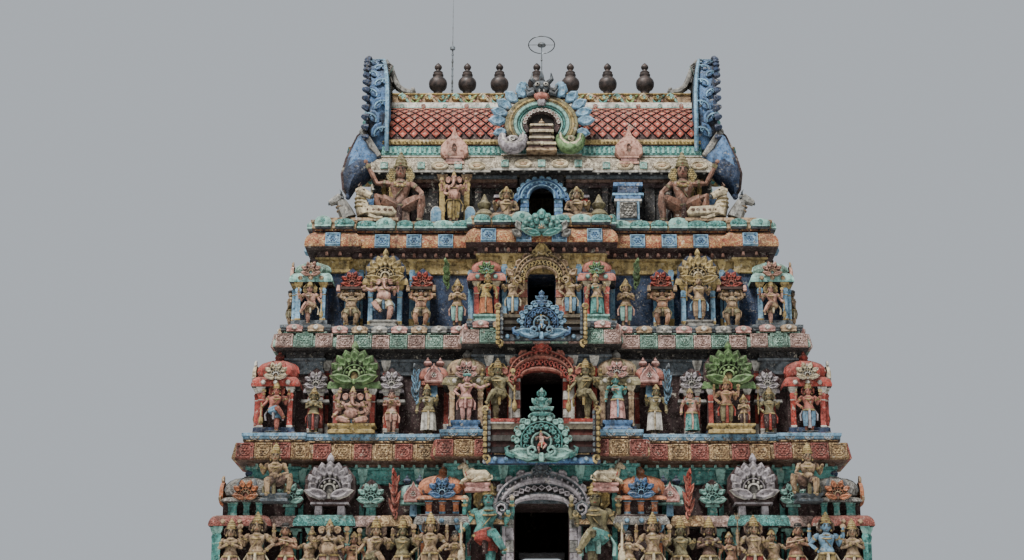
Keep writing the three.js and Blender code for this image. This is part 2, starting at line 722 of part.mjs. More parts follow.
function dormer() {
  const front = DORMER_FRONT;
  const outline = crestOutline(DORMER_CENTRE_Z, DORMER_HALF_WIDTH, DORMER_RISE, DORMER_FOOT, 9, 0.08);
  const arch = plate(outline, "y", front, DORMER_BACK);
  const head = ball([0, front + 350, 30400], [420, 320, 620]);
  const opening = plate(DORMER_OPENING, "y", front - 10, front + 500);
  const scrolls = [-1, 1].map((side) => {
    const points = DORMER_SCROLL.map(([x, z]) => [side * x, z]);
    return plate(side > 0 ? points : points.reverse(), "y", front - 200, front + 300);
  });
  const shrine = join(
    block(-520, 520, front - 250, front + 510, ROOF_EAVE_TOP + 50, 27950),
    block(-420, 420, front - 150, front + 510, 27940, 28350),
    block(-520, 520, front - 200, front + 510, 28340, 28600),
  );
  const clear = join(
    vaultMass(GAP, 5000),
    course(eavePlan(), [[560 + GAP, ROOF_EAVE - 50], [560 + GAP, ROOF_EAVE_TOP + GAP]]),
    course(eavePlan(), [[60 + GAP, ROOF_EAVE_TOP - 50], [60 + GAP, VAULT_FOOT + GAP]]),
    block(-5000, 5000, -1250, 1250, RIDGE_FOOT - 160, RIDGE_TOP),
  );
  return cut(join(cut(join(arch, head), opening), ...scrolls, shrine), clear);
}

const KALASHA_PROFILE = [
  [0, 0], [240, 0], [170, 330], [390, 600], [390, 800], [150, 1050],
  [205, 1140], [110, 1290], [160, 1450], [0, KALASHA_HEIGHT],
];

function addKalashas() {
  KALASHA_PLACES.forEach((x, i) => {
    addNode(`kalasha_${i + 1}`, turned(KALASHA_PROFILE, x, 0, RIDGE_TOP + GAP, 8), "bronze");
  });
}

// The lamp: a thin pole on the ridge with a tilted hoop and a domed shade inside it.
function addLampAndMast() {
  const y = -480;
  const foot = RIDGE_TOP + GAP;
  const tilt = THREE.MathUtils.degToRad(-18);
  const hoop = new THREE.TorusGeometry(LAMP_HOOP_RADIUS, 30, 4, 18);
  hoop.rotateX(tilt);
  hoop.translate(0, y, LAMP_HOOP_Z);
  const bar = limb([-LAMP_HOOP_RADIUS, y, LAMP_HOOP_Z], [LAMP_HOOP_RADIUS, y, LAMP_HOOP_Z], 22, 22, 6);
  const shade = turned([[0, 0], [200, 0], [160, 120], [60, 180], [0, 190]], 0, y, LAMP_HOOP_Z - 60, 10);
  const pole = limb([0, y, foot], [0, y, LAMP_HOOP_Z], 28, 28, 8);
  const plateFoot = turned([[0, 0], [90, 0], [90, 30], [0, 30]], 0, y, foot, 8);
  addNode("ring_lamp", join(pole, solid(hoop), bar, shade, plateFoot), "steel");

  const mast = join(
    turned([[0, 0], [110, 0], [110, 40], [0, 40]], MAST_X, 0, foot, 8),
    limb([MAST_X, 0, foot], [MAST_X, 0, MAST_HEAD], 45, 35, 8),
    limb([MAST_X, 0, MAST_HEAD - 20], [MAST_X, 0, MAST_HEAD + 160], 120, 90, 8),
    limb([MAST_X, 0, MAST_HEAD + 100], [MAST_X, 0, MAST_TIP], 22, 14, 6),
  );
  addNode("lightning_mast", mast, "steel");
}

// The shrine before one upper door, over the cornice of the storey below.
function doorShrine(storey, below) {
  const { width, foot, neck, top, guard } = storey.doorShrine;
  const floor = storey.floor;
  const back = -(below.wallHalfDepth + below.porchOut + EAVE_OUT + DOOR_SHRINE_CLEARANCE);
  const front = back - DOOR_SHRINE_DEPTH;
  const band = back - DOOR_SHRINE_BAND;
  const seatBack = -(storey.wallHalfDepth + storey.porchOut + DOOR_SHRINE_SEAT);
  const guardRise = guard.top - guard.foot;
  const guardOutline = [
    [back, guard.foot], [band, guard.foot], [back - GUARD_DEPTH, guard.foot + 0.35 * guardRise],
    [back - GUARD_DEPTH, guard.foot + 0.65 * guardRise], [band, guard.top], [back, guard.top],
  ];
  const guards = [-1, 1].map((side) => plate(
    guardOutline, "x", side * guard.at - GUARD_WIDTH / 2, side * guard.at + GUARD_WIDTH / 2,
  ));
  const finial = [[0, 0], [width * 0.16, 0], [width * 0.12, (top - neck) * 0.6], [0, top - neck + 150]];
  return join(
    block(-guard.at, guard.at, band, back, foot, floor + DOOR_SHRINE_SLAB),
    block(-guard.at, guard.at, band, seatBack, floor, floor + DOOR_SHRINE_SLAB),
    nasi("y", front, 0, foot + 0.383 * width, width, DOOR_SHRINE_DEPTH),
    turned(finial, 0, (front + back) / 2, neck - 150, 8),
    ...guards,
  );
}

function addDoorShrines() {
  STOREYS.forEach((storey, i) => {
    if (!storey.doorShrine) {
      return;
    }
    const body = doorShrine(storey, STOREYS[i - 1]);
    addNode(`${storey.name}_front_shrine`, body, storey.doorShrine.colour);
    addNode(`${storey.name}_back_shrine`, body.mirror([0, 1, 0]), storey.doorShrine.colour);
  });
}

addGranite();
STOREYS.forEach((storey, i) => {
  const nextFloor = i + 1 < STOREYS.length ? STOREYS[i + 1].floor : NECK_FLOOR;
  addStorey(storey, nextFloor, "stucco");
});
addDoorShrines();
addNeck();
addNeckFigures();
addRoof();
addKalashas();
addLampAndMast();

export default gopuram;
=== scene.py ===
# The looks of a painted South Indian temple gateway tower, in metres, +Z up, street front at -Y.
import math
import random
from functools import cache

import bpy
import numpy as np
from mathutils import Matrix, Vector
from mathutils.bvhtree import BVHTree
from mathutils.geometry import tessellate_polygon


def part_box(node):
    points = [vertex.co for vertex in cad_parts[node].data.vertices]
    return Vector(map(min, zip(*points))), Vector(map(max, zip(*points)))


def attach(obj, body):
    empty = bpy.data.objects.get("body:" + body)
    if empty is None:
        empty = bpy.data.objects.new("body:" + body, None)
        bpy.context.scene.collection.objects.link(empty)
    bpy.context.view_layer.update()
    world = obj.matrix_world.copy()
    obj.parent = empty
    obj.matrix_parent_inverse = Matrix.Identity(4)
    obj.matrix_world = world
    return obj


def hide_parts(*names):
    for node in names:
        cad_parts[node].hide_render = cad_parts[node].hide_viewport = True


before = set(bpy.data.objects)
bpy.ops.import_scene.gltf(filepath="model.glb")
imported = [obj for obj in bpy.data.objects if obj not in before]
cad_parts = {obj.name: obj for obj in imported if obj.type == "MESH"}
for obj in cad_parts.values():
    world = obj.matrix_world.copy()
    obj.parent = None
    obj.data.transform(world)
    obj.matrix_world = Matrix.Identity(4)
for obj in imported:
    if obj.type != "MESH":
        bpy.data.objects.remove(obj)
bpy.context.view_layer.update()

SIDES = (-1, 1)

# The photograph's camera: eye height, distance from the tower's middle, tilt and focal length in pixels
IMAGE_WIDTH = 1024
EYE_HEIGHT = 1.6
EYE_DISTANCE = 76.0
TILT_UP = math.radians(16.0)
FOCAL_PIXELS = 1864.0
SENSOR = 36.0
AXIS_OFFSET_PIXELS = 29.6


# Paints

# Each paint: its colour and its darker second colour, which the carving shows on a carved paint
PAINTS = {
    "cream": ("#c4b492", "#86735a"), "tan": ("#a68a68", "#5e4634"), "skin": ("#ab7f60", "#6c4836"),
    "rose": ("#b98c78", "#7c5244"), "umber": ("#8a6350", "#553a2e"), "olive": ("#7e7450", "#4c442e"),
    "gold": ("#a89058", "#604e2e"), "teal": ("#4f8c82", "#2c5c56"), "mint": ("#88b0a2", "#58857a"),
    "sky": ("#7698ac", "#486e84"), "blue": ("#4c6e92", "#2a4663"), "navy": ("#253650", "#162132"),
    "red": ("#9c3c2e", "#64261e"), "salmon": ("#ae6a58", "#7c4236"), "maroon": ("#3c2320", "#221412"),
    "orange": ("#b46f48", "#7c462c"), "lime": ("#8aa566", "#4f7040"), "green": ("#5f7c48", "#38522c"),
    "grey": ("#87847c", "#56534e"), "slate": ("#545b5f", "#33393d"), "lilac": ("#a49b9c", "#6c6466"),
    "white": ("#cbc5b8", "#908a7e"), "pink": ("#bc8c80", "#8a5a52"), "brown": ("#654a3a", "#3c2a20"),
    "soot": ("#1d1a18", "#110f0e"),
    "carved_tan": ("#b3966a", "#6c4e34"), "carved_cream": ("#bdb198", "#74685a"),
    "carved_red": ("#98574a", "#6e3a30"), "carved_pink": ("#bb9e92", "#86685c"),
    "carved_mint": ("#8aa592", "#547465"), "carved_teal": ("#64a097", "#2f615a"),
    "carved_ochre": ("#ac8856", "#8c4634"), "carved_blue": ("#4c6f94", "#22395a"),
    "carved_grey": ("#928e86", "#56524c"), "granite": ("#8d867b", "#645e55"),
    "carved_granite": ("#857d72", "#544e46"),
}
# Paints of a figure that each copy names for itself
ROLES = ["_skin", "_cloth", "_trim", "_gold", "_hair", "_eye", "_white", "_lip", "_base", "_prop", "_halo"]
PAINT_INDEX = {name: i for i, name in enumerate([*PAINTS, *ROLES])}
# The last two are dust with painted skylight for up-facing surfaces, and painted shade with grime for the
# hollows
PLASTER, PIT, SOOT, UPWARD_DUST_AND_SKYLIGHT, HOLLOW_SHADE_AND_GRIME = "#c2b8a6", "#352c26", "#2a2623", "#6e675c", "#1b1613"


def linear(code):
    """A #rrggbb colour in linear light, with its alpha."""
    parts = [int(code[i:i + 2], 16) / 255 for i in (1, 3, 5)]
    return [c / 12.92 if c <= 0.04045 else ((c + 0.055) / 1.055) ** 2.4 for c in parts] + [1.0]


class Nodes:
    """Adds and links the shader nodes of a new material."""

    def __init__(self, name):
        self.material = bpy.data.materials.new(name)
        self.material.use_nodes = True
        self.tree = self.material.node_tree
        self.tree.nodes.clear()
        self.place = self.add("ShaderNodeTexCoord").outputs["Object"]

    def add(self, kind, inputs=None, **settings):
        node = self.tree.nodes.new(kind)
        for key, value in settings.items():
            setattr(node, key, value)
        for key, value in (inputs or {}).items():
            if isinstance(value, bpy.types.NodeSocket):
                self.tree.links.new(value, node.inputs[key])
            else:
                node.inputs[key].default_value = value
        return node

    def noise(self, vector, scale, detail=4.0, rough=0.6):
        inputs = {"Vector": vector, "Scale": scale, "Detail": detail, "Roughness": rough}
        return self.add("ShaderNodeTexNoise", inputs).outputs["Fac"]

    def ramp(self, value, low, high, bottom=0.0, top=1.0):
        """bottom below low, top above high."""
        return self.add("ShaderNodeMapRange", {0: value, 1: low, 2: high, 3: bottom, 4: top}).outputs[0]

    def math(self, operation, a, b):
        return self.add("ShaderNodeMath", {0: a, 1: b}, operation=operation).outputs[0]

    def mix(self, factor, a, b):
        return self.add("ShaderNodeMix", {0: factor, 6: a, 7: b}, data_type="RGBA").outputs[2]

    def layer(self, look, mask, strength, colour):
        """Lays a colour over the look where the mask is up."""
        return self.mix(self.math("MULTIPLY", mask, strength), look, colour)

    def finish(self, look, rough, relief, strength, distance, **constants):
        bump = self.add("ShaderNodeBump", {"Strength": strength, "Distance": distance, "Height": relief})
        inputs = {"Base Color": look, "Roughness": rough, "Normal": bump.outputs[0], **constants}
        shader = self.add("ShaderNodeBsdfPrincipled", inputs)
        self.add("ShaderNodeOutputMaterial", {0: shader.outputs[0]})
        return self.material


def stucco_material(name, colour, second):
    """Weathered painted plaster: faded, mottled paint, chips to plaster, rain streaks, soot, dust and painted
    skylight on tops, painted shade in hollows.
    """
    n = Nodes(name)
    stretched = n.add("ShaderNodeMapping", {0: n.place, 3: (1.0, 1.0, 0.14)}).outputs[0]
    broad = n.noise(n.place, 0.55)
    mottle = n.noise(n.place, 5.5, 6.0, 0.7)
    grain = n.noise(n.place, 38.0, 3.0)
    streak = n.noise(stretched, 3.2, 5.0, 0.65)
    base, dark, plaster = linear(colour), linear(second), linear(PLASTER)
    faded = [min(1.0, c * 1.12 + 0.05) for c in base]
    look = n.mix(n.ramp(broad, 0.35, 0.68), base, faded)
    look = n.mix(n.ramp(mottle, 0.44, 0.64), look, dark)
    height = n.math("MULTIPLY", mottle, 0.5)
    if name.startswith("carved"):
        inputs = {"Vector": n.place, "Scale": 6.5, "Randomness": 0.75}
        cells = n.add("ShaderNodeTexVoronoi", inputs, feature="SMOOTH_F1").outputs["Distance"]
        cut = n.ramp(n.math("SINE", n.math("MULTIPLY", cells, 26.0), 0.0), -0.2, 0.7)
        look = n.layer(look, cut, 0.75, dark)
        height = n.math("SUBTRACT", height, n.math("MULTIPLY", cut, 1.1))
    look = n.layer(look, n.ramp(n.noise(n.place, 15.0, 5.0, 0.75), 0.58, 0.64), 0.55, plaster)
    look = n.layer(look, n.ramp(n.noise(n.place, 11.0, 5.0, 0.7), 0.56, 0.66), 0.6, linear(PIT))
    look = n.layer(look, n.ramp(n.noise(n.place, 2.6, 7.0, 0.75), 0.6, 0.66), 0.75, plaster)
    look = n.layer(look, n.ramp(streak, 0.46, 0.72), 0.72, linear(SOOT))
    up = n.add("ShaderNodeSeparateXYZ", {0: n.add("ShaderNodeNewGeometry").outputs["Normal"]}).outputs[2]
    # Up-facing surfaces are mixed towards a dusty grey: dust, and painted skylight on the tops
    ledge = n.math("MULTIPLY", n.ramp(up, 0.25, 0.9), n.ramp(mottle, 0.25, 0.6))
    look = n.layer(look, ledge, 0.4, linear(UPWARD_DUST_AND_SKYLIGHT))
    # Darker where many short rays are blocked: painted shade in the hollows, with grime
    hollow_shade_and_grime = n.add("ShaderNodeAttribute", attribute_name="hollow_shade_and_grime").outputs["Fac"]
    look = n.layer(look, hollow_shade_and_grime, 0.92, linear(HOLLOW_SHADE_AND_GRIME))
    rough = n.ramp(mottle, 0.3, 0.7, 0.72, 0.95)
    relief = n.math("ADD", height, n.math("MULTIPLY", grain, 0.16))
    return n.finish(look, rough, relief, 0.8, 0.035, **{"Specular IOR Level": 0.25})


def metal_material(name, colour, tarnish, metallic):
    """Dull metal with tarnish in its hollows and streaks."""
    n = Nodes(name)
    cloud = n.noise(n.place, 5.0, 6.0, 0.5)
    fine = n.noise(n.place, 40.0, 3.0, 0.5)
    look = n.mix(n.ramp(cloud, 0.42, 0.62), linear(colour), linear(tarnish))
    return n.finish(look, n.ramp(cloud, 0.3, 0.7, 0.35, 0.7), fine, 0.3, 0.01, Metallic=metallic)


MATERIALS = {name: stucco_material(name, *colours) for name, colours in PAINTS.items()}
BRONZE = metal_material("bronze_pot", "#322c29", "#4c403a", 0.45)
STEEL = metal_material("dull_steel", "#7b8184", "#4b4a46", 0.6)


# Shapes

class Shape:
    """Points, faces of four corners (-1 last on a triangle), each face's paint and each point's painted shade
    and grime.
    """

    def __init__(self, points, faces, paint, hollow_shade_and_grime=0.0):
        self.points = np.array(points, float).reshape(-1, 3)
        self.faces = np.array(faces, int).reshape(-1, 4)
        paint = PAINT_INDEX[paint] if isinstance(paint, str) else paint
        self.paints = np.full(len(self.faces), paint)
        self.hollow_shade_and_grime = np.full(len(self.points), hollow_shade_and_grime)

    def copy(self):
        return Shape(self.points, self.faces, self.paints, self.hollow_shade_and_grime)

    def at(self, x=0.0, y=0.0, z=0.0):
        twin = self.copy()
        twin.points += (x, y, z)
        return twin

    def scaled(self, x, y=None, z=None):
        """Scales by one number or three, and keeps the faces outwards where that mirrors the shape."""
        twin = self.copy()
        y, z = (x if share is None else share for share in (y, z))
        twin.points *= (x, y, z)
        if x * y * z < 0:
            quad = self.faces[:, 3] >= 0
            twin.faces = self.faces[:, [2, 1, 0, 3]]
            twin.faces[quad] = self.faces[quad][:, ::-1]
        return twin

    def mirrored(self):
        return self.scaled(-1, 1, 1)

    def turned(self, angle, axis="z"):
        c, s = math.cos(angle), math.sin(angle)
        a, b = {"x": (1, 2), "y": (2, 0), "z": (0, 1)}[axis]
        first, second = self.points[:, a], self.points[:, b]
        twin = self.copy()
        twin.points[:, a] = c * first - s * second
        twin.points[:, b] = s * first + c * second
        return twin

    def aimed(self, angle):
        """Turns what points up Z to an angle of the XZ plane, measured up from +X."""
        return self.turned(math.pi / 2 - angle, "y")

    def repainted(self, paints):
        twin = self.copy()
        table = np.arange(len(PAINT_INDEX))
        for old, new in paints.items():
            table[PAINT_INDEX[old]] = PAINT_INDEX[new]
        twin.paints = table[twin.paints]
        return twin


def joined(shapes):
    """One shape of many."""
    shapes = list(shapes)
    starts = np.cumsum([0] + [len(shape.points) for shape in shapes])
    faces = [np.where(shape.faces < 0, -1, shape.faces + start) for shape, start in zip(shapes, starts)]
    columns = [s.points for s in shapes], faces, [s.paints for s in shapes], [s.hollow_shade_and_grime for s in shapes]
    return Shape(*map(np.concatenate, columns))


def loft(rings, paints, start=True, end=True):
    """Skins rings of points, each anticlockwise seen from the end. paints is one name, or one a band."""
    rings = np.asarray(rings, float)
    count, around = rings.shape[:2]
    names = [paints] * (count - 1) if isinstance(paints, str) else list(paints)
    here = np.arange(around)
    after = (here + 1) % around
    points = [rings.reshape(-1, 3)]
    faces = [
        np.stack([low + here, low + after, low + around + after, low + around + here], -1)
        for low in range(0, (count - 1) * around, around)
    ]
    closing = ((start, 0, after, here), (end, count - 1, here, after))
    for ring, first, second in [cap[1:] for cap in closing if cap[0]]:
        centre = np.full(around, count * around + len(points) - 1)
        faces.append(np.stack([ring * around + first, ring * around + second, centre, centre * 0 - 1], -1))
        points.append(rings[ring].mean(axis=0, keepdims=True))
        names.append(names[0 if ring == 0 else count - 2])
    colours = np.repeat([PAINT_INDEX[name] for name in names], around)
    return Shape(np.concatenate(points), np.concatenate(faces), colours)


# How round bars and balls are, as a share of the sides they ask for
ROUNDNESS = 0.7


def circle(sides, start=0.0):
    angles = start + 2 * math.pi * np.arange(sides) / sides
    return np.stack([np.cos(angles), np.sin(angles)], -1)


def lathe(profile, paints, sides=12, squareness=0.0, start=0.0):
    """Turns [radius, height] pairs about Z. squareness 0 is round, 1 is nearly square."""
    ring = circle(sides, start)
    if squareness:
        power = 2 + 10 * squareness
        ring = ring * (np.abs(ring) ** power).sum(axis=1, keepdims=True) ** (-1 / power)
    return loft([[(x * r, y * r, z) for x, y in ring] for r, z in profile], paints)


def tube(path, radii, paint, sides=7, flat=1.0):
    """A bar along a path. radii is one number or one a point, and flat squeezes the section's depth."""
    path = np.asarray(path, float)
    tangents = np.gradient(path, axis=0)
    tangents /= np.linalg.norm(tangents, axis=1)[:, None] + 1e-9
    side = np.cross(tangents[0], (0.31, 0.83, 0.46))
    section = circle(max(4, round(sides * ROUNDNESS)))
    rings = []
    for point, along, radius in zip(path, tangents, np.broadcast_to(radii, len(path))):
        side = side - along * side.dot(along)
        side /= np.linalg.norm(side)
        up = np.cross(along, side)
        rings.append([point + radius * (x * side + y * flat * up) for x, y in section])
    return loft(rings, paint)


def ball(x, y, z, rx, ry, rz, paint, around=8, up=5):
    levels = np.linspace(-math.pi / 2, math.pi / 2, max(3, round(up * ROUNDNESS)) + 2)[1:-1]
    profile = [(math.cos(a), rz * math.sin(a)) for a in levels]
    return lathe(profile, paint, max(4, round(around * ROUNDNESS))).scaled(rx, ry, 1).at(x, y, z)


def square_ring(x0, x1, y0, y1, z):
    return [(x0, y0, z), (x1, y0, z), (x1, y1, z), (x0, y1, z)]


def box(x0, x1, y0, y1, z0, z1, paint, taper=0.0):
    """A block whose top is drawn in by taper."""
    t = taper
    points = square_ring(x0, x1, y0, y1, z0) + square_ring(x0 + t, x1 - t, y0 + t, y1 - t, z1)
    faces = [(3, 2, 1, 0), (4, 5, 6, 7), (0, 1, 5, 4), (1, 2, 6, 5), (2, 3, 7, 6), (3, 0, 4, 7)]
    return Shape(points, faces, paint)


def triangles(outline):
    """The triangles of a flat outline, all turned anticlockwise."""
    flat = [Vector((x, y, 0)) for x, y in outline]
    found = tessellate_polygon([flat])
    return [
        (a, b, c) if (flat[b] - flat[a]).cross(flat[c] - flat[a]).z > 0 else (a, c, b) for a, b, c in found
    ]


def slab(outline, back, front, paint, edge=0.0, edge_paint=None):
    """An outline of (x, z) points, anticlockwise seen from -Y, from y = back to y = front, with a bevel."""
    centre = np.mean(outline, axis=0)
    count = len(outline)
    bevel = 0.03 if edge else 0.0
    points = [(x, back, z) for x, z in outline] + [(x, front + bevel, z) for x, z in outline]
    points += [(x, front, z) for x, z in centre + (np.array(outline) - centre) * (1 - edge)]
    faces = []
    for i in range(count):
        j = (i + 1) % count
        faces += [(i, j, count + j, count + i), (count + i, count + j, 2 * count + j, 2 * count + i)]
    paints = [PAINT_INDEX[edge_paint or paint]] * len(faces)
    for a, b, c in triangles(outline):
        faces += [(2 * count + a, 2 * count + b, 2 * count + c, -1), (c, b, a, -1)]
        paints += [PAINT_INDEX[paint]] * 2
    return Shape(points, faces, paints)


def relief(outline, levels, paints, centre=(0.0, 0.0)):
    """A star-shaped outline of (x, z) points, raised towards -Y through [scale, height] levels."""
    cx, cz = centre
    rings = [[(cx + (x - cx) * s, -h, cz + (z - cz) * s) for x, z in outline] for s, h in levels]
    return loft(rings, paints, start=False)


def arc(radius_x, radius_z, start, stop, steps):
    """Points of an ellipse, by angles in degrees."""
    angles = np.radians(np.linspace(start, stop, steps))
    return [(radius_x * math.cos(a), radius_z * math.sin(a)) for a in angles]


def hoop(radius_x, radius_z, angles, place=(0, 0, 0)):
    """Points round an ellipse in the XZ plane, by angles in radians."""
    x, y, z = place
    return [(x + radius_x * math.cos(a), y, z + radius_z * math.sin(a)) for a in angles]


def fan(radius_x, radius_z, angles, place, make):
    """Sets what make gives for each angle round an ellipse in the XZ plane."""
    return [make(a).at(*spot) for a, spot in zip(angles, hoop(radius_x, radius_z, angles, place))]


def half_turn(count):
    """The middles of count equal shares of a half circle."""
    return [math.pi * (index + 0.5) / count for index in range(count)]


def level_loop(x, z, reach_x, reach_y, rise, count):
    """Points of a collar round a neck, in a plane that tips up towards +X."""
    angles = np.linspace(0, 2 * math.pi, count)
    return [(x + reach_x * math.cos(a), reach_y * math.sin(a), z + rise * math.cos(a)) for a in angles]


def on_side(side, points):
    """Points of the right-hand side, or their mirror images for side -1."""
    return [(side * x, y, z) for x, y, z in points]


def both_halves(right):
    """A symmetric outline, from the points of its right half, foot first, and of its middle."""
    return right + [(-x, z) for x, z in right[::-1] if x]


def pair(shape, x=0.0, y=0.0, z=0.0):
    """A piece on the right-hand side and its mirror image on the left."""
    right = shape.at(x, y, z)
    return [right.mirrored(), right]


def bands(text):
    """Paint names, one a band, where name*3 stands for three."""
    words = [word.partition("*") for word in text.split()]
    return [name for name, _, count in words for _ in range(int(count or 1))]


def bead(radius, paint, sides=6):
    """A small half ball that faces -Y."""
    outline = arc(radius, radius, 0, 360 - 360 / sides, sides)
    return relief(outline, [(1.0, 0.0), (0.62, 0.8 * radius)], paint)


def point_normals(shape):
    a, b, c = (shape.points[shape.faces[:, i]] for i in range(3))
    face_normals = np.cross(b - a, c - a)
    normals = np.zeros_like(shape.points)
    for column in shape.faces.T:
        known = column >= 0
        np.add.at(normals, column[known], face_normals[known])
    return normals / (np.linalg.norm(normals, axis=1)[:, None] + 1e-12)


def shaded_and_sooted(shape, reach, rays=10, strength=1.0):
    """Paints shade and grime into the hollows: the darkening is the share of short rays from a point that hit
    the shape again.
    """
    faces = [tuple(i for i in face if i >= 0) for face in shape.faces.tolist()]
    tree = BVHTree.FromPolygons(shape.points.tolist(), faces)
    spread = random.Random(11)
    directions = []
    while len(directions) < rays:
        way = Vector((spread.uniform(-1, 1), spread.uniform(-1, 1), spread.uniform(-1, 1)))
        if 0.1 < way.length < 1:
            directions.append(way.normalized())
    twin = shape.copy()
    for index, (point, normal) in enumerate(zip(shape.points, point_normals(shape))):
        up = Vector(normal)
        start = Vector(point) + up * (reach * 0.02)
        aims = [(way + up * 1.05).normalized() for way in directions]
        hits = sum(tree.ray_cast(start, aim, reach)[0] is not None for aim in aims)
        twin.hollow_shade_and_grime[index] = min(max(hits / rays * 1.25 - 0.1, 0), 1) * strength
    return twin


def add_piece(name, shape, nodes=(), metal=None):
    """Makes a Blender object of a shape, in its paints or in one metal."""
    sizes = np.where(shape.faces[:, 3] >= 0, 4, 3)
    mesh = bpy.data.meshes.new(name)
    mesh.vertices.add(len(shape.points))
    mesh.vertices.foreach_set("co", shape.points.ravel())
    mesh.loops.add(int(sizes.sum()))
    mesh.loops.foreach_set("vertex_index", shape.faces[shape.faces >= 0].ravel())
    mesh.polygons.add(len(sizes))
    mesh.polygons.foreach_set("loop_start", np.cumsum(sizes) - sizes)
    used, indices = np.unique(shape.paints, return_inverse=True)
    for index in used:
        mesh.materials.append(metal or MATERIALS[list(PAINTS)[index]])
    mesh.polygons.foreach_set("material_index", indices)
    mesh.attributes.new("hollow_shade_and_grime", "FLOAT", "POINT").data.foreach_set("value", shape.hollow_shade_and_grime)
    mesh.update(calc_edges=True)
    mesh.validate()
    mesh.shade_smooth()
    mesh.set_sharp_from_angle(angle=math.radians(38))
    piece = bpy.data.objects.new(name, mesh)
    bpy.context.collection.objects.link(piece)
    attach(piece, "root")
    if nodes:
        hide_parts(*nodes)


# Figures, one unit from sole to top of head, facing -Y

# Elbow and hand, from the base of the neck, for the arm on +X
ARM_POSES = {
    "down": [(0.18, 0.01, -0.18), (0.19, -0.04, -0.34)],
    "hip": [(0.23, 0.02, -0.16), (0.13, -0.05, -0.28)],
    "bless": [(0.18, 0.0, -0.18), (0.20, -0.12, -0.06)],
    "raised": [(0.24, 0.03, -0.10), (0.24, -0.02, 0.08)],
    "up": [(0.23, 0.0, 0.02), (0.19, -0.02, 0.24)],
    "joined": [(0.17, -0.03, -0.17), (0.02, -0.14, -0.11)],
    "crossed": [(0.17, -0.04, -0.13), (-0.06, -0.12, -0.08)],
    "out": [(0.24, -0.02, -0.09), (0.38, -0.06, -0.03)],
    "give": [(0.20, -0.02, -0.16), (0.27, -0.10, -0.27)],
    "lap": [(0.18, -0.02, -0.17), (0.08, -0.15, -0.24)],
    "knee": [(0.24, -0.04, -0.15), (0.25, -0.17, -0.29)],
    "high": [(0.27, 0.0, -0.02), (0.39, -0.04, 0.22)],
}
# Hip, knee and ankle, from the middle of the pelvis, for the leg on +X
LEG_POSES = {
    "stand": [(0.05, 0.0, -0.02), (0.06, -0.025, -0.25), (0.055, 0.01, -0.46)],
    "bend": [(0.05, 0.0, -0.02), (0.15, -0.09, -0.22), (0.10, 0.0, -0.46)],
    "lift": [(0.05, 0.0, -0.02), (0.20, -0.12, -0.10), (0.06, -0.13, -0.27)],
    "cross": [(0.05, -0.02, -0.01), (-0.10, -0.17, 0.02), (-0.22, -0.13, -0.20)],
    "sit": [(0.05, -0.01, 0.0), (0.22, -0.13, 0.0), (0.03, -0.20, -0.05)],
    "hang": [(0.05, -0.01, 0.0), (0.10, -0.20, 0.01), (0.09, -0.19, -0.24)],
    "squat": [(0.06, -0.02, 0.0), (0.27, -0.17, 0.08), (0.24, -0.10, -0.19)],
}
CROWNS = {
    "kirita": [
        (0.055, 0.0), (0.066, 0.012), (0.068, 0.028), (0.052, 0.034), (0.058, 0.06), (0.05, 0.075),
        (0.053, 0.095), (0.038, 0.115), (0.04, 0.135), (0.016, 0.165), (0.02, 0.178), (0.004, 0.2),
    ],
    "karanda": [
        (0.055, 0.0), (0.068, 0.014), (0.05, 0.03), (0.055, 0.045), (0.038, 0.062), (0.04, 0.078),
        (0.022, 0.095), (0.025, 0.108), (0.004, 0.13),
    ],
    "bun": [(0.056, -0.01), (0.064, 0.012), (0.045, 0.03), (0.052, 0.055), (0.04, 0.085), (0.005, 0.1)],
    "turban": [
        (0.056, -0.015), (0.072, 0.005), (0.076, 0.028), (0.06, 0.05), (0.02, 0.062), (0.003, 0.064),
    ],
}
# Stucco figures have large heads for their height
HEAD_SIZE = 1.32


def bar(start, stop, radius, paint, sides=7, taper=1.0):
    """A straight short bar, for armlets and staffs."""
    return tube([start, stop], [radius, radius * taper], paint, sides)


def along(a, b, share):
    return tuple(p + (q - p) * share for p, q in zip(a, b))


def plus(a, b):
    return tuple(p + q for p, q in zip(a, b))


def path_from(origin, *steps):
    return [plus(origin, step) for step in steps]


def ovals(sections, sides):
    """Level oval rings of (x, z, half width, half depth)."""
    return [[(x + c * rx, s * ry, z) for c, s in circle(sides)] for x, z, rx, ry in sections]


def human_head(centre):
    profile = [
        (0, -0.066, 0.022, 0.024), (0, -0.052, 0.036, 0.042), (0, -0.022, 0.047, 0.054),
        (0, 0.015, 0.05, 0.058), (0, 0.045, 0.046, 0.054), (0, 0.066, 0.028, 0.034),
    ]
    nose = [(-0.009, -0.05, -0.008), (0.009, -0.05, -0.008), (0.0, -0.052, 0.022), (0.0, -0.072, -0.006)]
    parts = [
        loft(ovals(profile, 12), "_skin"),
        Shape(nose, [(0, 1, 3, -1), (1, 2, 3, -1), (2, 0, 3, -1)], "_skin"),
        ball(0, -0.0495, -0.028, 0.015, 0.007, 0.006, "_lip", 6, 3),
        ball(0, 0.012, 0.012, 0.054, 0.056, 0.064, "_hair", 10, 5),
    ]
    for side in SIDES:
        brow = on_side(side, [(0.008, -0.0535, 0.027), (0.02, -0.054, 0.031), (0.034, -0.045, 0.026)])
        parts += [
            ball(side * 0.02, -0.0505, 0.016, 0.0125, 0.0065, 0.0065, "_white", 6, 3),
            ball(side * 0.02, -0.0555, 0.016, 0.0055, 0.0045, 0.0055, "_eye", 5, 3),
            tube(brow, [0.004, 0.005, 0.003], "_eye", 4),
            ball(side * 0.052, 0.004, -0.006, 0.012, 0.016, 0.028, "_skin", 6, 3),
            ball(side * 0.056, -0.008, -0.042, 0.015, 0.015, 0.019, "_gold", 6, 3),
        ]
    return joined(parts).scaled(HEAD_SIZE).at(*centre)


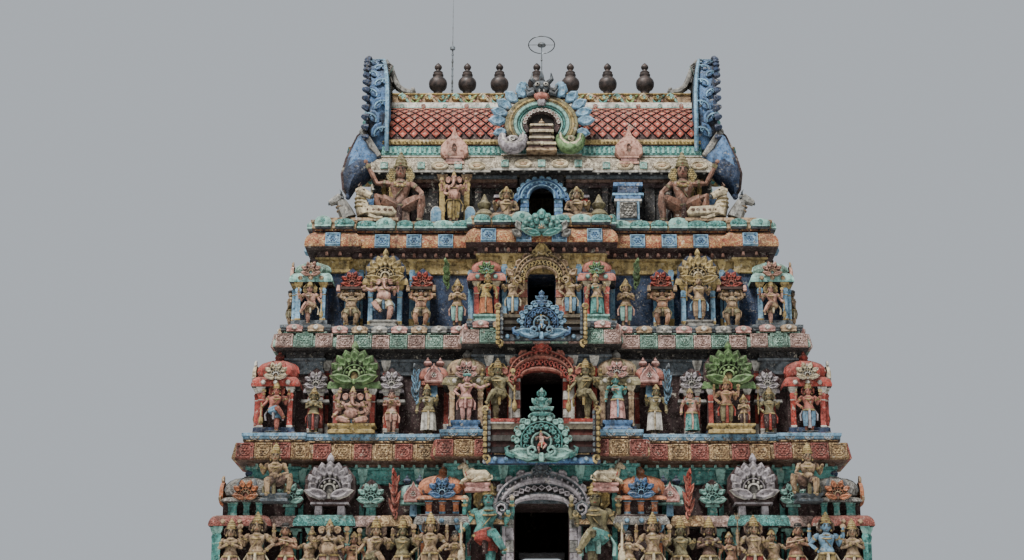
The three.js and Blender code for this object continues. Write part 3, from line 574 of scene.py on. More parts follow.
def elephant_head(centre):
    trunk = [
        (0, -0.06, 0.0), (0, -0.105, -0.035), (0.0, -0.125, -0.085), (-0.008, -0.13, -0.14),
        (-0.035, -0.135, -0.185), (-0.07, -0.14, -0.19), (-0.085, -0.14, -0.165),
    ]
    parts = [
        ball(0, -0.01, 0.01, 0.075, 0.075, 0.078, "_skin", 12, 7),
        tube(trunk, [0.042, 0.036, 0.031, 0.026, 0.021, 0.017, 0.011], "_skin", 9),
        bar((0, -0.082, -0.01), (0, -0.1, -0.025), 0.041, "_gold", 9, 0.95),
    ]
    lobe = [
        (0.05, 0.045), (0.0, 0.07), (-0.055, 0.05), (-0.07, 0.0), (-0.045, -0.06), (0.01, -0.07),
        (0.045, -0.03),
    ]
    ear = relief(lobe, [(1.0, 0.0), (1.0, 0.012), (0.8, 0.02), (0.6, 0.008)], "_skin")
    for side in SIDES:
        tusk = on_side(side, [(0.03, -0.07, -0.035), (0.045, -0.105, -0.055), (0.042, -0.125, -0.045)])
        parts += [
            ball(side * 0.03, -0.04, 0.055, 0.034, 0.035, 0.03, "_skin", 8, 4),
            (ear if side < 0 else ear.mirrored()).turned(side * 0.35).at(side * 0.118),
            ball(side * 0.036, -0.068, 0.018, 0.011, 0.008, 0.007, "_eye", 6, 3),
            tube(tusk, [0.012, 0.009, 0.003], "_white", 6),
        ]
    return joined(parts).at(*centre)


def arm(neck, side, pose, bulk):
    """An arm with its armlet and bangle, and where its hand is."""
    elbow, hand = (plus(neck, (side * x * (0.6 + 0.4 * bulk), y, z)) for x, y, z in ARM_POSES[pose])
    shoulder = plus(neck, (side * 0.112 * bulk, 0.0, -0.025))
    upper, lower = 0.034 * bulk, 0.026 * bulk
    path = [along(neck, shoulder, 0.8), shoulder, along(shoulder, elbow, 0.5), elbow]
    path += [along(elbow, hand, 0.45), hand]
    return [
        tube(path, [upper, upper * 1.15, upper, lower, lower * 1.05, lower * 0.68], "_skin"),
        ball(*along(elbow, hand, 1.1), 0.026, 0.024, 0.03, "_skin", 6, 4),
        bar(along(shoulder, elbow, 0.34), along(shoulder, elbow, 0.5), upper * 1.2, "_gold"),
        bar(along(elbow, hand, 0.78), along(elbow, hand, 0.94), lower * 1.15, "_gold"),
    ], hand


def leg(hip, side, pose, bulk):
    """A leg with its foot and anklet, and its three joints."""
    thigh, knee, ankle = joints = path_from(hip, *on_side(side, LEG_POSES[pose]))
    path = [thigh, along(thigh, knee, 0.5), knee, along(knee, ankle, 0.35), along(knee, ankle, 0.75), ankle]
    return [
        tube(path, [r * bulk for r in (0.066, 0.062, 0.044, 0.045, 0.032, 0.026)], "_skin", 8),
        ball(*plus(ankle, (side * 0.01, -0.035, -0.018)), 0.03, 0.062, 0.022, "_skin", 8, 4),
        bar(along(knee, ankle, 0.9), along(knee, ankle, 0.99), 0.036 * bulk, "_gold"),
    ], joints


def torso(hip, neck, bulk, belly, bust):
    shares = [
        (0.0, 0.105, 0.08), (0.18, 0.1, 0.076), (0.4, 0.074, 0.06), (0.62, 0.095, 0.072),
        (0.8, 0.116, 0.078), (0.93, 0.12, 0.062), (1.0, 0.06, 0.048), (1.12, 0.036, 0.036),
    ]
    sections = [
        (
            neck[0] * (share - 0.8 * math.sin(math.pi * min(1.0, share))), hip[2] + 0.33 * share, rx * bulk,
            ry * bulk,
        )
        for share, rx, ry in shares
    ]
    parts = [loft(ovals(sections, 10), "_skin")]
    if belly:
        parts.append(ball(0, -0.04, hip[2] + 0.1, 0.1 * belly, 0.09 * belly, 0.095 * belly, "_skin", 10, 6))
    if bust:
        for side in SIDES:
            parts.append(ball(*plus(neck, (side * 0.05, -0.07, -0.09)), 0.042, 0.042, 0.042, "_cloth", 8, 5))
    return parts


def jewels(middle, bulk):
    """Two necklaces and the thread across the chest."""
    parts = []
    for reach, depth, drop, thick in ((0.064, 0.076, 0.0, 0.013), (0.082, 0.094, -0.065, 0.014)):
        chain = [
            (reach * bulk * math.sin(a), -depth * bulk * math.cos(a),
             drop * (0.35 + 0.65 * math.cos(a)) * (abs(a) < 1.4) - 0.004)
            for a in np.linspace(-1.8, 1.8, 9)
        ]
        parts.append(tube(path_from(middle, *chain), thick, "_gold", 5))
    thread = path_from(middle, (-0.07, -0.03, 0.01), (-0.02, -0.088 * bulk, -0.1), (0.06, -0.07 * bulk, -0.2))
    return parts + [tube(thread, [0.007, 0.008, 0.006], "_gold", 4)]


def skirt(hip, bulk):
    """A pleated cloth round both legs."""
    rings = []
    for share in (1.0, 0.95, 0.6, 0.25, 0.0):
        width = (0.115 + 0.02 * share ** 0.8) * bulk
        folds = [width * (1 + (0.012 + 0.06 * share) * (-1) ** i) for i in range(14)]
        rings.append([(c * w, s * w * 0.72, hip[2] - 0.43 * share) for w, (c, s) in zip(folds, circle(14))])
    return loft(rings, "_cloth")


def clothes(dress, hip, legs, joints, bulk):
    """A pleated skirt, or cloth on both legs with a fall in front and two sashes."""
    if dress == "skirt":
        front = path_from(hip, (0, -0.1, 0), (0.01, -0.12, -0.2), (0, -0.13, -0.42))
        return [skirt(hip, bulk), tube(front, [0.02, 0.028, 0.02], "_trim", 5)]
    parts = []
    for thigh, knee, ankle in joints:
        path, radii = [along(thigh, knee, share) for share in (-0.1, 0.35, 0.75)], (0.078, 0.08, 0.066)
        if dress == "dhoti":
            path = [along(thigh, knee, -0.1), along(thigh, knee, 0.5), knee, along(knee, ankle, 0.55)]
            radii = (0.078, 0.074, 0.06, 0.052)
        parts.append(tube(path, [r * bulk for r in radii], "_cloth", 9))
    if dress == "short":
        fall = path_from(hip, (0, -0.085 * bulk, 0), (0, -0.1 * bulk, -0.1), (0, -0.09, -0.22))
        parts.append(tube(fall, [0.026, 0.034, 0.03], "_trim", 6, 0.5))
    elif legs == ["stand", "stand"]:
        fall = [(0, -0.085 * bulk, 0), (0, -0.1 * bulk, -0.12), (0, -0.085, -0.3), (0, -0.07, -0.42)]
        parts.append(tube(path_from(hip, *fall), [0.024, 0.03, 0.034, 0.04], "_trim", 6, 0.5))
    for side in SIDES:
        sash = on_side(
            side, [(0.1 * bulk, -0.03, 0.01), (0.15 * bulk, -0.02, -0.1), (0.14 * bulk, -0.01, -0.24)],
        )
        parts.append(tube(path_from(hip, *sash), [0.014, 0.02, 0.024], "_trim", 5, 0.4))
    return parts


def head_and_crown(top, elephant, crown):
    head, lift, wide = human_head(top), (0, 0.008, 0.04 * HEAD_SIZE), HEAD_SIZE
    if elephant:
        head, lift, wide = elephant_head(top), (0, 0.0, 0.06), 1.0
    foot = plus(top, lift)
    paint = "_hair" if crown in ("bun", "turban") else "_gold"
    parts = [head, lathe(CROWNS[crown], paint, 8).scaled(wide, wide, 1.06).at(*foot)]
    if paint == "_gold":
        parts.append(ball(*plus(foot, (0, -0.062 * wide, 0.028)), 0.012, 0.008, 0.018, "_lip", 6, 3))
    return parts


def halo_disc(radius):
    """A scalloped disc behind the head."""
    edge = [
        (radius * (1 + 0.09 * (i % 2)) * c, radius * (1 + 0.09 * (i % 2)) * s)
        for i, (c, s) in enumerate(circle(20))
    ]
    levels = [(1.0, 0.0), (0.97, 0.02), (0.84, 0.026), (0.8, 0.012), (0.4, 0.012)]
    return relief(edge, levels, ["_halo", "_halo", "_gold", "_halo"])


def held_thing(kind):
    """What a hand holds, set about the middle of the hand."""
    if kind == "lotus":
        bud = [(0.004, 0), (0.022, 0.02), (0.027, 0.045), (0.012, 0.07), (0.001, 0.085)]
        return lathe(bud, "_prop", 8).at(0, -0.012, 0.015)
    if kind == "disc":
        wheel = [(0.004, -0.012), (0.045, -0.01), (0.045, 0.01), (0.004, 0.012)]
        return lathe(wheel, "_prop", 10).turned(math.pi / 2, "x").at(0, 0, 0.05)
    if kind == "club":
        club = [(0.012, 0.0), (0.016, 0.3), (0.04, 0.36), (0.05, 0.44), (0.03, 0.5), (0.004, 0.53)]
        return lathe(club, "_prop", 8).turned(math.pi, "x").at(0, -0.01, 0.1)
    if kind == "staff":
        prongs = [
            bar((lean * 0.5, -0.02, 0.22), (lean, -0.02, 0.33), 0.012, "_prop", 5, 0.2)
            for lean in (-0.04, 0.0, 0.04)
        ]
        return joined([bar((0, -0.02, -0.42), (0, -0.02, 0.26), 0.011, "_prop", 6), *prongs])
    return bar((-0.14, -0.03, -0.02), (0.14, -0.03, 0.03), 0.012, "_prop", 6)


def person(
    legs="stand stand", arms="bless+ hip-", seat=0.5, sway=0.0, bulk=1.2, dress="dhoti", crown="kirita",
    elephant=False, belly=0.0, bust=False, halo=None, held="",
):
    """A figure. An arm's pose ends in + for the arm on +X, and held names a thing for each arm in turn."""
    hip, neck, legs = (0.0, 0.0, seat), (-sway, 0.01, seat + 0.33), legs.split()
    parts = torso(hip, neck, bulk, belly, bust) + jewels(plus(neck, (0, 0, -0.02)), bulk)
    hands, joints = [], []
    for word in arms.split():
        made, hand = arm(neck, 1 if word[-1] == "+" else -1, word[:-1], bulk)
        parts += made
        hands.append(hand)
    for side, pose in zip(SIDES, legs):
        made, found = leg(hip, side, pose, bulk)
        parts += made
        joints.append(found)
    belt = lathe([(0.112, -0.022), (0.122, -0.01), (0.122, 0.014), (0.11, 0.024)], "_gold", 10)
    parts.append(belt.scaled(bulk, bulk * 0.78, 1).at(*hip))
    parts += clothes(dress, hip, legs, joints, bulk)
    top = plus(neck, (0, -0.01, 0.115))
    parts += head_and_crown(top, elephant, crown)
    if halo:
        parts.append(halo_disc(halo).at(*plus(top, (0, 0.055, 0.02))))
    parts += [held_thing(kind).at(*hand) for kind, hand in zip(held.split(), hands) if kind != "-"]
    return joined(parts)


def dwarf():
    """A stout little figure who holds up a bracket on both hands."""
    body = person("bend bend", "up+ up-", bulk=1.55, dress="short", crown="turban", belly=1.5)
    ends = [box(s * 0.34 - 0.05, s * 0.34 + 0.05, -0.1, 0.07, 1.02, 1.18, "_prop", 0.02) for s in SIDES]
    return joined([body, box(-0.34, 0.34, -0.09, 0.06, 1.06, 1.14, "_prop", 0.015), *ends])


def pedestal(width, depth, height, paint):
    """A moulded foot for a figure."""
    w, d = width / 2, depth / 2
    steps = [(1.0, 0.0), (1.0, 0.3), (0.86, 0.42), (0.86, 0.62), (1.02, 0.78), (1.02, 1.0)]
    return loft([square_ring(-w * s, w * s, -d * s, d * s, height * t) for s, t in steps], paint)


FOUR_ARMS = "raised+ raised- bless+ "
EIGHT_ARMS = FOUR_ARMS + "hip- up+ up- lap- give+"
GREAT = dict(bulk=1.4, belly=1.6, crown="karanda", elephant=True)
FIGURE_SPECS = {
    "guardian": dict(
        legs="stand cross", arms="raised+ raised- bless- give+", sway=0.03, bulk=1.28, dress="short",
        halo=0.17,
        held="disc lotus - club",
    ),
    "god": dict(arms=FOUR_ARMS + "hip-", halo=0.14, held="disc lotus"),
    "goddess": dict(arms="bless+ down-", sway=0.035, dress="skirt", crown="karanda", bust=True, held="lotus"),
    "dancer": dict(legs="bend lift", arms="out+ bless-", sway=0.03, dress="short", crown="karanda"),
    "flutist": dict(arms="crossed+ joined-", sway=-0.03, dress="short", crown="bun", held="flute"),
    "pointer": dict(arms="out- hip+", sway=0.02, dress="short", crown="turban"),
    "folded": dict(arms="crossed+ crossed-", dress="short", crown="bun"),
    "praying": dict(arms="joined+ joined-", halo=0.13),
    "staff": dict(arms="raised- bless+ hip-", halo=0.15, held="staff"),
    "elephant": dict(arms=FOUR_ARMS + "lap-", held="lotus disc", **GREAT),
    "elephant_dancing": dict(
        legs="bend lift", arms="raised+ raised- out+ bless-", dress="short", held="lotus disc", **GREAT
    ),
    "elephant_seated": dict(
        legs="sit sit", arms=EIGHT_ARMS, seat=0.1, dress="short", held="lotus disc lotus lotus", **GREAT
    ),
    "seated": dict(legs="sit sit", arms="bless+ lap-", seat=0.1, dress="short", crown="karanda", halo=0.13),
    "gana": dict(legs="squat hang", arms="bless+ lap-", seat=0.23, belly=0.9, dress="short"),
    "giant": dict(legs="squat squat", arms="high+ knee-", seat=0.24, bulk=1.12, dress="short"),
}
FIGURES = {name: shaded_and_sooted(person(**spec), 0.16) for name, spec in FIGURE_SPECS.items()}
FIGURES["dwarf"] = shaded_and_sooted(dwarf(), 0.16)


def dressed(kind, height, skin, cloth, trim="cream", mirror=False, **paints):
    """A figure painted and brought to its height. paints gives what isn't of the usual paint."""
    usual = dict(
        gold="gold", hair="soot", prop="gold", halo="gold", eye="soot", white="cream", lip="red", base="grey",
    )
    chosen = {**usual, **paints, "skin": skin, "cloth": cloth, "trim": trim}
    shape = FIGURES[kind].mirrored() if mirror else FIGURES[kind]
    return shape.repainted(
        {f"_{role}": paint for role, paint in chosen.items()}
    ).scaled(1.08 * height, height, height)


# Ornament. Each piece faces -Y and stands on z = 0 at the wall plane y = 0, unless its text says otherwise

def eave_slab(x0, x1, y0, y1, z, height, spread, paint, shaded_soffit="soot"):
    """A rolled eave round a block, its underside in the soffit paint, dark as painted shade under the eave.
    """
    steps = [
        (0.0, -0.08), (spread * 0.8, -0.02), (spread, 0.0), (spread * 1.06, 0.12), (spread * 1.0, 0.34),
        (spread * 0.8, 0.62), (spread * 0.45, 0.85), (0.0, 1.0),
    ]
    rings = [square_ring(x0 - o, x1 + o, y0 - o, y1 + o, z + t * height) for o, t in steps]
    return loft(rings, [shaded_soffit, shaded_soffit] + [paint] * 5)


def leaf(length, width, thick, paint, tip=None):
    """A petal from the origin up Z."""
    outline = [
        (0.14 * width, 0.0), (0.48 * width, 0.34 * length), (0.4 * width, 0.72 * length), (0.0, length),
        (-0.4 * width, 0.72 * length), (-0.48 * width, 0.34 * length), (-0.14 * width, 0.0),
    ]
    levels = [(1.0, 0.0), (0.98, 0.6 * thick), (0.66, thick), (0.3, 0.7 * thick)]
    return relief(outline, levels, [paint, tip or paint, tip or paint], (0.0, 0.5 * length))


def small_gable(main, rim, core):
    """A light horseshoe gable of radius 1 with a crown leaf and two side leaves, for long rows."""
    parts = [
        relief(
            horseshoe(1.0, -0.7, 9), [(1.0, 0.0), (1.0, 0.24), (0.8, 0.32), (0.7, 0.16)], [main, main, rim],
        ),
        relief(arc(0.46, 0.46, 0, 315, 8), [(1.0, 0.16), (0.7, 0.34)], core).at(0, 0, 0.05),
        leaf(0.62, 0.5, 0.2, rim).at(0, -0.08, 0.86),
    ]
    for side in SIDES:
        parts.append(leaf(0.6, 0.4, 0.2, rim).turned(side * 1.25, "y").at(side * 0.72, -0.08, -0.42))
    return joined(parts)


def horseshoe(radius, foot=-0.62, steps=16, start=-38):
    """The outline of a horseshoe arch, anticlockwise seen from -Y."""
    points = arc(radius, radius, start, 180 - start, steps)
    return [(0.55 * radius, foot * radius), *points, (-0.55 * radius, foot * radius)]


def lion_head(size, paint, dark="soot", eye="cream"):
    """A small horned lion mask that crowns an arch."""
    parts = [ball(0, -0.12, 0, 0.5, 0.34, 0.42, paint, 10, 6)]
    for side in SIDES:
        parts += [
            ball(side * 0.22, -0.4, 0.1, 0.15, 0.12, 0.13, eye, 8, 4),
            ball(side * 0.22, -0.51, 0.1, 0.06, 0.05, 0.06, dark, 6, 3),
            tube(
                [(side * 0.3, -0.1, 0.25), (side * 0.55, -0.12, 0.5), (side * 0.5, -0.12, 0.85)],
                [0.15, 0.12, 0.03], paint, 6,
            ),
            tube(
                [(side * 0.35, -0.15, -0.1), (side * 0.7, -0.2, -0.15), (side * 0.85, -0.2, 0.15)],
                [0.16, 0.13, 0.04], paint, 6,
            ),
            tube([(side * 0.1, -0.42, -0.2), (side * 0.14, -0.45, -0.4)], [0.05, 0.01], eye, 5),
        ]
    parts += [
        ball(0, -0.45, -0.06, 0.13, 0.13, 0.1, paint, 8, 4),
        box(-0.26, 0.26, -0.42, -0.1, -0.36, -0.24, dark),
        tube([(0, -0.15, 0.3), (0, -0.2, 0.6), (0, -0.15, 1.0)], [0.16, 0.14, 0.03], paint, 6),
    ]
    return joined(parts).scaled(size)


def spiral(radius, thick, paint, turns, side):
    """A volute in the XZ plane that starts below its centre and winds inwards."""
    steps = 9
    path = []
    for index in range(steps):
        share = index / (steps - 1)
        angle = -math.pi / 2 + 2 * math.pi * turns * share
        reach = radius * (1 - 0.72 * share)
        path.append((side * reach * math.cos(angle), -0.25 * radius * share, reach * math.sin(angle)))
    return tube(path, [thick * (1 - 0.55 * k / (steps - 1)) for k in range(steps)], paint)


def arch_band(inner, outer, paints, depth=0.2, low=-0.12, steps=24):
    """A moulded band between two half ellipses of (half width, rise), centred on its springing line."""
    shares = [
        (0.0, -0.12), (0.0, depth), (0.1, depth + 0.06), (0.2, depth), (0.26, depth - 0.05),
        (0.5, depth - 0.05),
        (0.56, depth), (0.66, depth + 0.06), (0.76, depth), (0.84, depth - 0.02), (0.92, depth + 0.07),
        (1.0, depth + 0.02), (1.0, -0.12),
    ]
    paint_of = [paints[kind] for kind in (0, 1, 1, 0, 2, 0, 1, 1, 0, 0, 1, 0, 0)]
    rings = []
    for angle in np.linspace(low, math.pi - low, steps):
        ring = []
        for share, out in shares:
            wide = inner[0] + (outer[0] - inner[0]) * share
            rise = inner[1] + (outer[1] - inner[1]) * share
            ring.append((wide * math.cos(angle), -out, rise * math.sin(angle)))
        rings.append(ring)
    shape = loft(rings, paints[0])
    around = len(shares)
    for face in range((steps - 1) * around):
        shape.paints[face] = PAINT_INDEX[paint_of[face % around]]
    return shape


def nasi(petals, main, rim, core, crown=True, upright=0.0):
    """A leafy horseshoe gable, 2 wide, centred on the origin and rising towards -Y."""
    parts = [
        relief(
            horseshoe(0.72, -0.62), [(1.0, -0.35), (1.0, 0.04), (0.95, 0.09), (0.7, 0.1)], main, (0.0, -0.1),
        )
    ]
    low = -0.16
    for layer, (count, radius, length, out) in enumerate(
        ((petals - 2, 0.56, 0.52, -0.02), (petals, 0.5, 0.46, 0.07))
    ):
        for index in range(count):
            angle = math.radians(-4 + 188 * (index + (layer == 0)) / (petals - 1))
            lean = angle + upright * (math.pi / 2 - angle)
            size = 0.92 + 0.16 * math.sin(angle)
            piece = leaf(length * size, 0.4, 0.17, main)
            piece = piece.turned(0.2, "x").turned(math.pi / 2 - lean, "y")
            parts.append(piece.at(radius * math.cos(angle), -out, low + radius * math.sin(angle)))
    for radius, thick, paint in ((0.2, 0.05, rim), (0.42, 0.045, main), (0.6, 0.04, main)):
        sweep = np.linspace(-0.25, math.pi + 0.25, 9)
        parts.append(tube(hoop(radius, radius, sweep, (0, -0.16, low)), thick, paint, 6))
    for count, radius, size in ((5, 0.31, 0.08), (7, 0.51, 0.085)):
        parts += [
            ball(*spot, size, size, size, rim, 6, 3)
            for spot in hoop(radius, radius, half_turn(count), (0, -0.14, low))
        ]
    parts.append(relief(horseshoe(0.16, -1.0, 8), [(1.0, 0.08), (0.9, 0.12)], core, (0.0, low)).at(0, 0, low))
    for side in SIDES:
        wing = leaf(1.02, 0.4, 0.24, rim, main).turned(0.3, "x").turned(side * (math.pi / 2 - 0.22), "y")
        parts += [
            wing.at(side * 0.02, -0.1, -0.46),
            spiral(0.13, 0.06, main, 1.2, side).at(side * 0.17, -0.22, -0.42),
        ]
    parts.append(ball(0, -0.24, -0.44, 0.1, 0.1, 0.13, rim, 7, 4))
    if crown:
        parts.append(lion_head(0.24, main, "soot", rim).at(0, -0.1, 0.62))
        bud = [(0.05, 0.0), (0.12, 0.06), (0.15, 0.18), (0.1, 0.3), (0.02, 0.42)]
        parts.append(lathe(bud, main, 9).at(0, -0.04, 0.82))
    else:
        for side in SIDES:
            parts.append(spiral(0.1, 0.05, main, 1.1, side).at(side * 0.13, -0.12, 0.46))
        bud = [(0.08, 0.0), (0.13, 0.07), (0.07, 0.16), (0.02, 0.3)]
        parts.append(lathe(bud, rim, 8).at(0, -0.06, 0.5))
    return joined(parts)


def flower(radius, main, rim, petals=8):
    """A round flower boss."""
    parts = [
        relief(
            arc(radius, radius, 0, 324, 10), [(1.0, 0.0), (0.95, 0.18 * radius), (0.66, 0.1 * radius)], main,
        )
    ]
    for index in range(petals):
        angle = 2 * math.pi * index / petals
        parts.append(
            bead(0.22 * radius, rim, 5).at(
                0.55 * radius * math.cos(angle), -0.1 * radius, 0.55 * radius * math.sin(angle),
            )
        )
    parts.append(bead(0.26 * radius, rim).at(0, -0.1 * radius, 0))
    return joined(parts)


def panel(width, height, main, rim):
    """A square boss with a ringed flower."""
    w, h = width / 2, height / 2
    square = [(w, -h), (w, h), (-w, h), (-w, -h)]
    parts = [relief(square, [(1.0, -0.1), (1.0, 0.05), (0.94, 0.075), (0.84, 0.075), (0.8, 0.04)], main)]
    parts.append(flower(0.36 * min(width, height), main, rim, 6).at(0, -0.03, 0))
    for sx in SIDES:
        for sz in SIDES:
            parts.append(bead(0.09 * height, rim, 5).at(sx * w * 0.68, -0.04, sz * h * 0.66))
    return joined(parts)


def stupi(height, paint):
    """A ball finial."""
    h = height
    return lathe(
        [(0.2 * h, 0.0), (0.16 * h, 0.1 * h), (0.34 * h, 0.22 * h), (0.4 * h, 0.4 * h), (0.3 * h, 0.58 * h),
         (0.12 * h, 0.66 * h), (0.16 * h, 0.72 * h), (0.08 * h, 0.84 * h), (0.01 * h, 1.0 * h)],
        paint, 10,
    )


def pilaster(height, width, out, shaft, trim, foot):
    """A half pillar with a foot, banded shaft, cushion and bracket."""
    steps = [
        (1.25, 0.0, foot), (1.25, 0.05, foot), (1.0, 0.065, shaft), (1.0, 0.16, trim), (1.1, 0.17, trim),
        (1.1, 0.2, trim),
        (0.92, 0.215, shaft), (0.92, 0.71, shaft), (1.12, 0.73, trim), (0.9, 0.76, shaft),
        (1.25, 0.825, shaft),
        (0.8, 0.87, shaft), (1.6, 0.94, trim), (1.9, 1.0, trim),
    ]
    w = width / 2
    rings = [square_ring(-w * s, w * s, -out * (0.35 + 0.65 * s), 0.02, t * height) for s, t, _ in steps]
    return loft(rings, [paint for _, _, paint in steps[1:]])


def dome(x0, x1, y0, y1, z, rise, paint, rib):
    """A square cushion dome with leaf mouldings over a block, and a ball finial."""
    cx, cy = (x0 + x1) / 2, (y0 + y1) / 2
    hx, hy = (x1 - x0) / 2, (y1 - y0) / 2
    steps = [
        (0.96, 0.0), (0.96, 0.05), (1.14, 0.12), (1.2, 0.3), (1.14, 0.54), (0.95, 0.73), (0.66, 0.88),
        (0.3, 0.95),
        (0.3, 1.0),
    ]
    shape = lathe([(s, t * rise) for s, t in steps], paint, 16, 0.45, math.pi / 16)
    parts = [shape.scaled(hx, hy, 1).at(cx, cy, z)]
    for index in range(8):
        angle = 2 * math.pi * (index + 0.5) / 8
        c, s = math.cos(angle), math.sin(angle)
        reach = (abs(c) ** 6 + abs(s) ** 6) ** (-1 / 6)
        path = [
            (cx + hx * k * c * reach * 1.01, cy + hy * k * s * reach * 1.01, z + t * rise)
            for k, t in ((1.2, 0.3), (1.12, 0.57), (0.94, 0.74), (0.66, 0.89))
        ]
        parts.append(tube(path, [0.05, 0.06, 0.05, 0.02], rib, 5))
    return joined(parts)


def cushion(x0, x1, y0, y1, z, rise, paint):
    """A light square cushion dome, for long rows."""
    steps = [(1.0, 0.0), (1.1, 0.25), (1.05, 0.55), (0.75, 0.85), (0.25, 1.0)]
    shape = lathe([(s, t * rise) for s, t in steps], paint, 8, 0.45, math.pi / 8)
    return shape.scaled((x1 - x0) / 2, (y1 - y0) / 2, 1).at((x0 + x1) / 2, (y0 + y1) / 2, z)


def eave_profile(storey):
    rise = storey["eave_top"] - storey["eave"]
    low = storey["eave"]
    curve = [
        (0.535, 0.0), (0.55, 0.06), (0.545, 0.2), (0.525, 0.42), (0.45, 0.66), (0.33, 0.86), (0.185, 1.0),
    ]
    return [(out, low + t * rise) for out, t in curve]


def face_steps(half, bays, corner_out):
    """One face of a plan as (along, out) pairs. bays are (from, to, out), mirrored about the middle."""
    right = []
    last = bays[0][2] if bays[0][0] == 0 else 0
    starts = {bay[0] for bay in bays}
    for start, stop, out in bays:
        if start > 0 and last != out:
            right += [(start, last), (start, out)]
        last = out
        if stop not in starts and stop < half + corner_out:
            right += [(stop, out), (stop, 0)]
            last = 0
    right.append((half + corner_out, corner_out))
    left = [(-a, o) for a, o in right][::-1]
    return left + right[:-1]


def make_plan(half_width, half_depth, front_bays, side_bays, corner_out):
    """An anticlockwise outline whose edges run along X or Y."""
    front = face_steps(half_width, front_bays, corner_out)
    side = face_steps(half_depth, side_bays, corner_out)
    return (
        [(a, -half_depth - o) for a, o in front] + [(half_width + o, a) for a, o in side]
        + [(-a, half_depth + o) for a, o in front] + [(-half_width - o, -a) for a, o in side]
    )


def widened(corners, by):
    """Moves every edge of a plan outwards."""
    moved = []
    count = len(corners)
    for i, (x, y) in enumerate(corners):
        bx, by_ = corners[i - 1]
        ax, ay = corners[(i + 1) % count]
        in_x, in_y = np.sign(x - bx), np.sign(y - by_)
        out_x, out_y = np.sign(ax - x), np.sign(ay - y)
        moved.append((x + by * (in_y + out_y), y - by * (in_x + out_x)))
    return moved


def course(corners, profile, paints, cap=True):
    """A moulded course round a plan. profile holds (out, height) pairs, paints one name a band."""
    rings = [[(x, y, z) for x, y in widened(corners, out)] for out, z in profile]
    shape = loft(rings, paints, start=False, end=False)
    if not cap:
        return shape
    out, top = profile[-1]
    outline = widened(corners, out)
    faces = [face + (-1,) for face in triangles(outline)]
    last = paints if isinstance(paints, str) else paints[-1]
    return joined([shape, Shape([(x, y, top) for x, y in outline], faces, last)])


def along_course(corners, out, spacing, z, make, margin=0.0, keep=None):
    """Sets copies along every edge of a plan, at an even spacing near the one asked, facing outwards.

    make is a list of shapes to take in turn, or gives a shape for its number on the edge and the edge's.
    """
    parts = []
    edge = widened(corners, out)
    for i, (x0, y0) in enumerate(edge):
        x1, y1 = edge[(i + 1) % len(edge)]
        length = math.hypot(x1 - x0, y1 - y0)
        usable = length - 2 * margin
        if usable < spacing * 0.45:
            continue
        count = max(1, round(usable / spacing))
        angle = math.atan2(y1 - y0, x1 - x0)
        for k in range(count):
            share = (margin + usable * (k + 0.5) / count) / length
            x, y = x0 + (x1 - x0) * share, y0 + (y1 - y0) * share
            if keep is None or keep(x):
                shape = make[k % len(make)] if isinstance(make, list) else make(k, i)
                parts.append(shape.turned(angle).at(x, y, z))
    return parts


# Painted storeys. Depths in front of a storey's wall plane are called out

STOREYS = [
    dict(
        name="storey_1", floor=9.5, wall_top=14.08, eave=14.32, eave_top=15.0, next_floor=15.36,
        half_width=10.65, half_depth=6.7, door=1.0, door_top=12.6, porch=3.45, porch_out=0.9,
        corner_width=1.85, corner_out=1.35, shrine_eave=11.8, neck=0.55,
        shrine_top=13.72, big=7.85, big_width=1.95, big_out=0.55, big_z=13.33, small=(6.35, 9.35),
        small_width=1.05, small_z=12.98, shrine_at=3.65, shrine_width=1.6, bay_top=13.75,
    ),
    dict(
        name="storey_2", floor=15.36, wall_top=18.48, eave=18.85, eave_top=19.43, next_floor=19.8,
        half_width=9.52, half_depth=5.75, door=0.79, door_top=17.8, porch=2.55, porch_out=0.85,
        corner_width=1.4, corner_out=1.28, shrine_eave=17.25, neck=0.0,
        shrine_top=18.4, big=7.15, big_width=1.95, big_out=0.55, big_z=17.88, small=(5.75, 8.65),
        small_width=0.95, small_z=17.52, shrine_at=2.85, shrine_width=1.35, bay_top=18.43,
    ),
    dict(
        name="storey_3", floor=19.8, wall_top=22.82, eave=23.18, eave_top=23.87, next_floor=24.36,
        half_width=8.58, half_depth=4.8, door=0.53, door_top=22.0, porch=2.45, porch_out=0.8,
        corner_width=1.25, corner_out=1.07, shrine_eave=21.65, neck=0.0,
        shrine_top=22.58, big=6.15, big_width=1.65, big_out=0.5, big_z=22.08, small=(4.7, 7.48),
        small_width=0.9, small_z=21.82, shrine_at=2.15, shrine_width=1.05, bay_top=22.6,
    ),
]
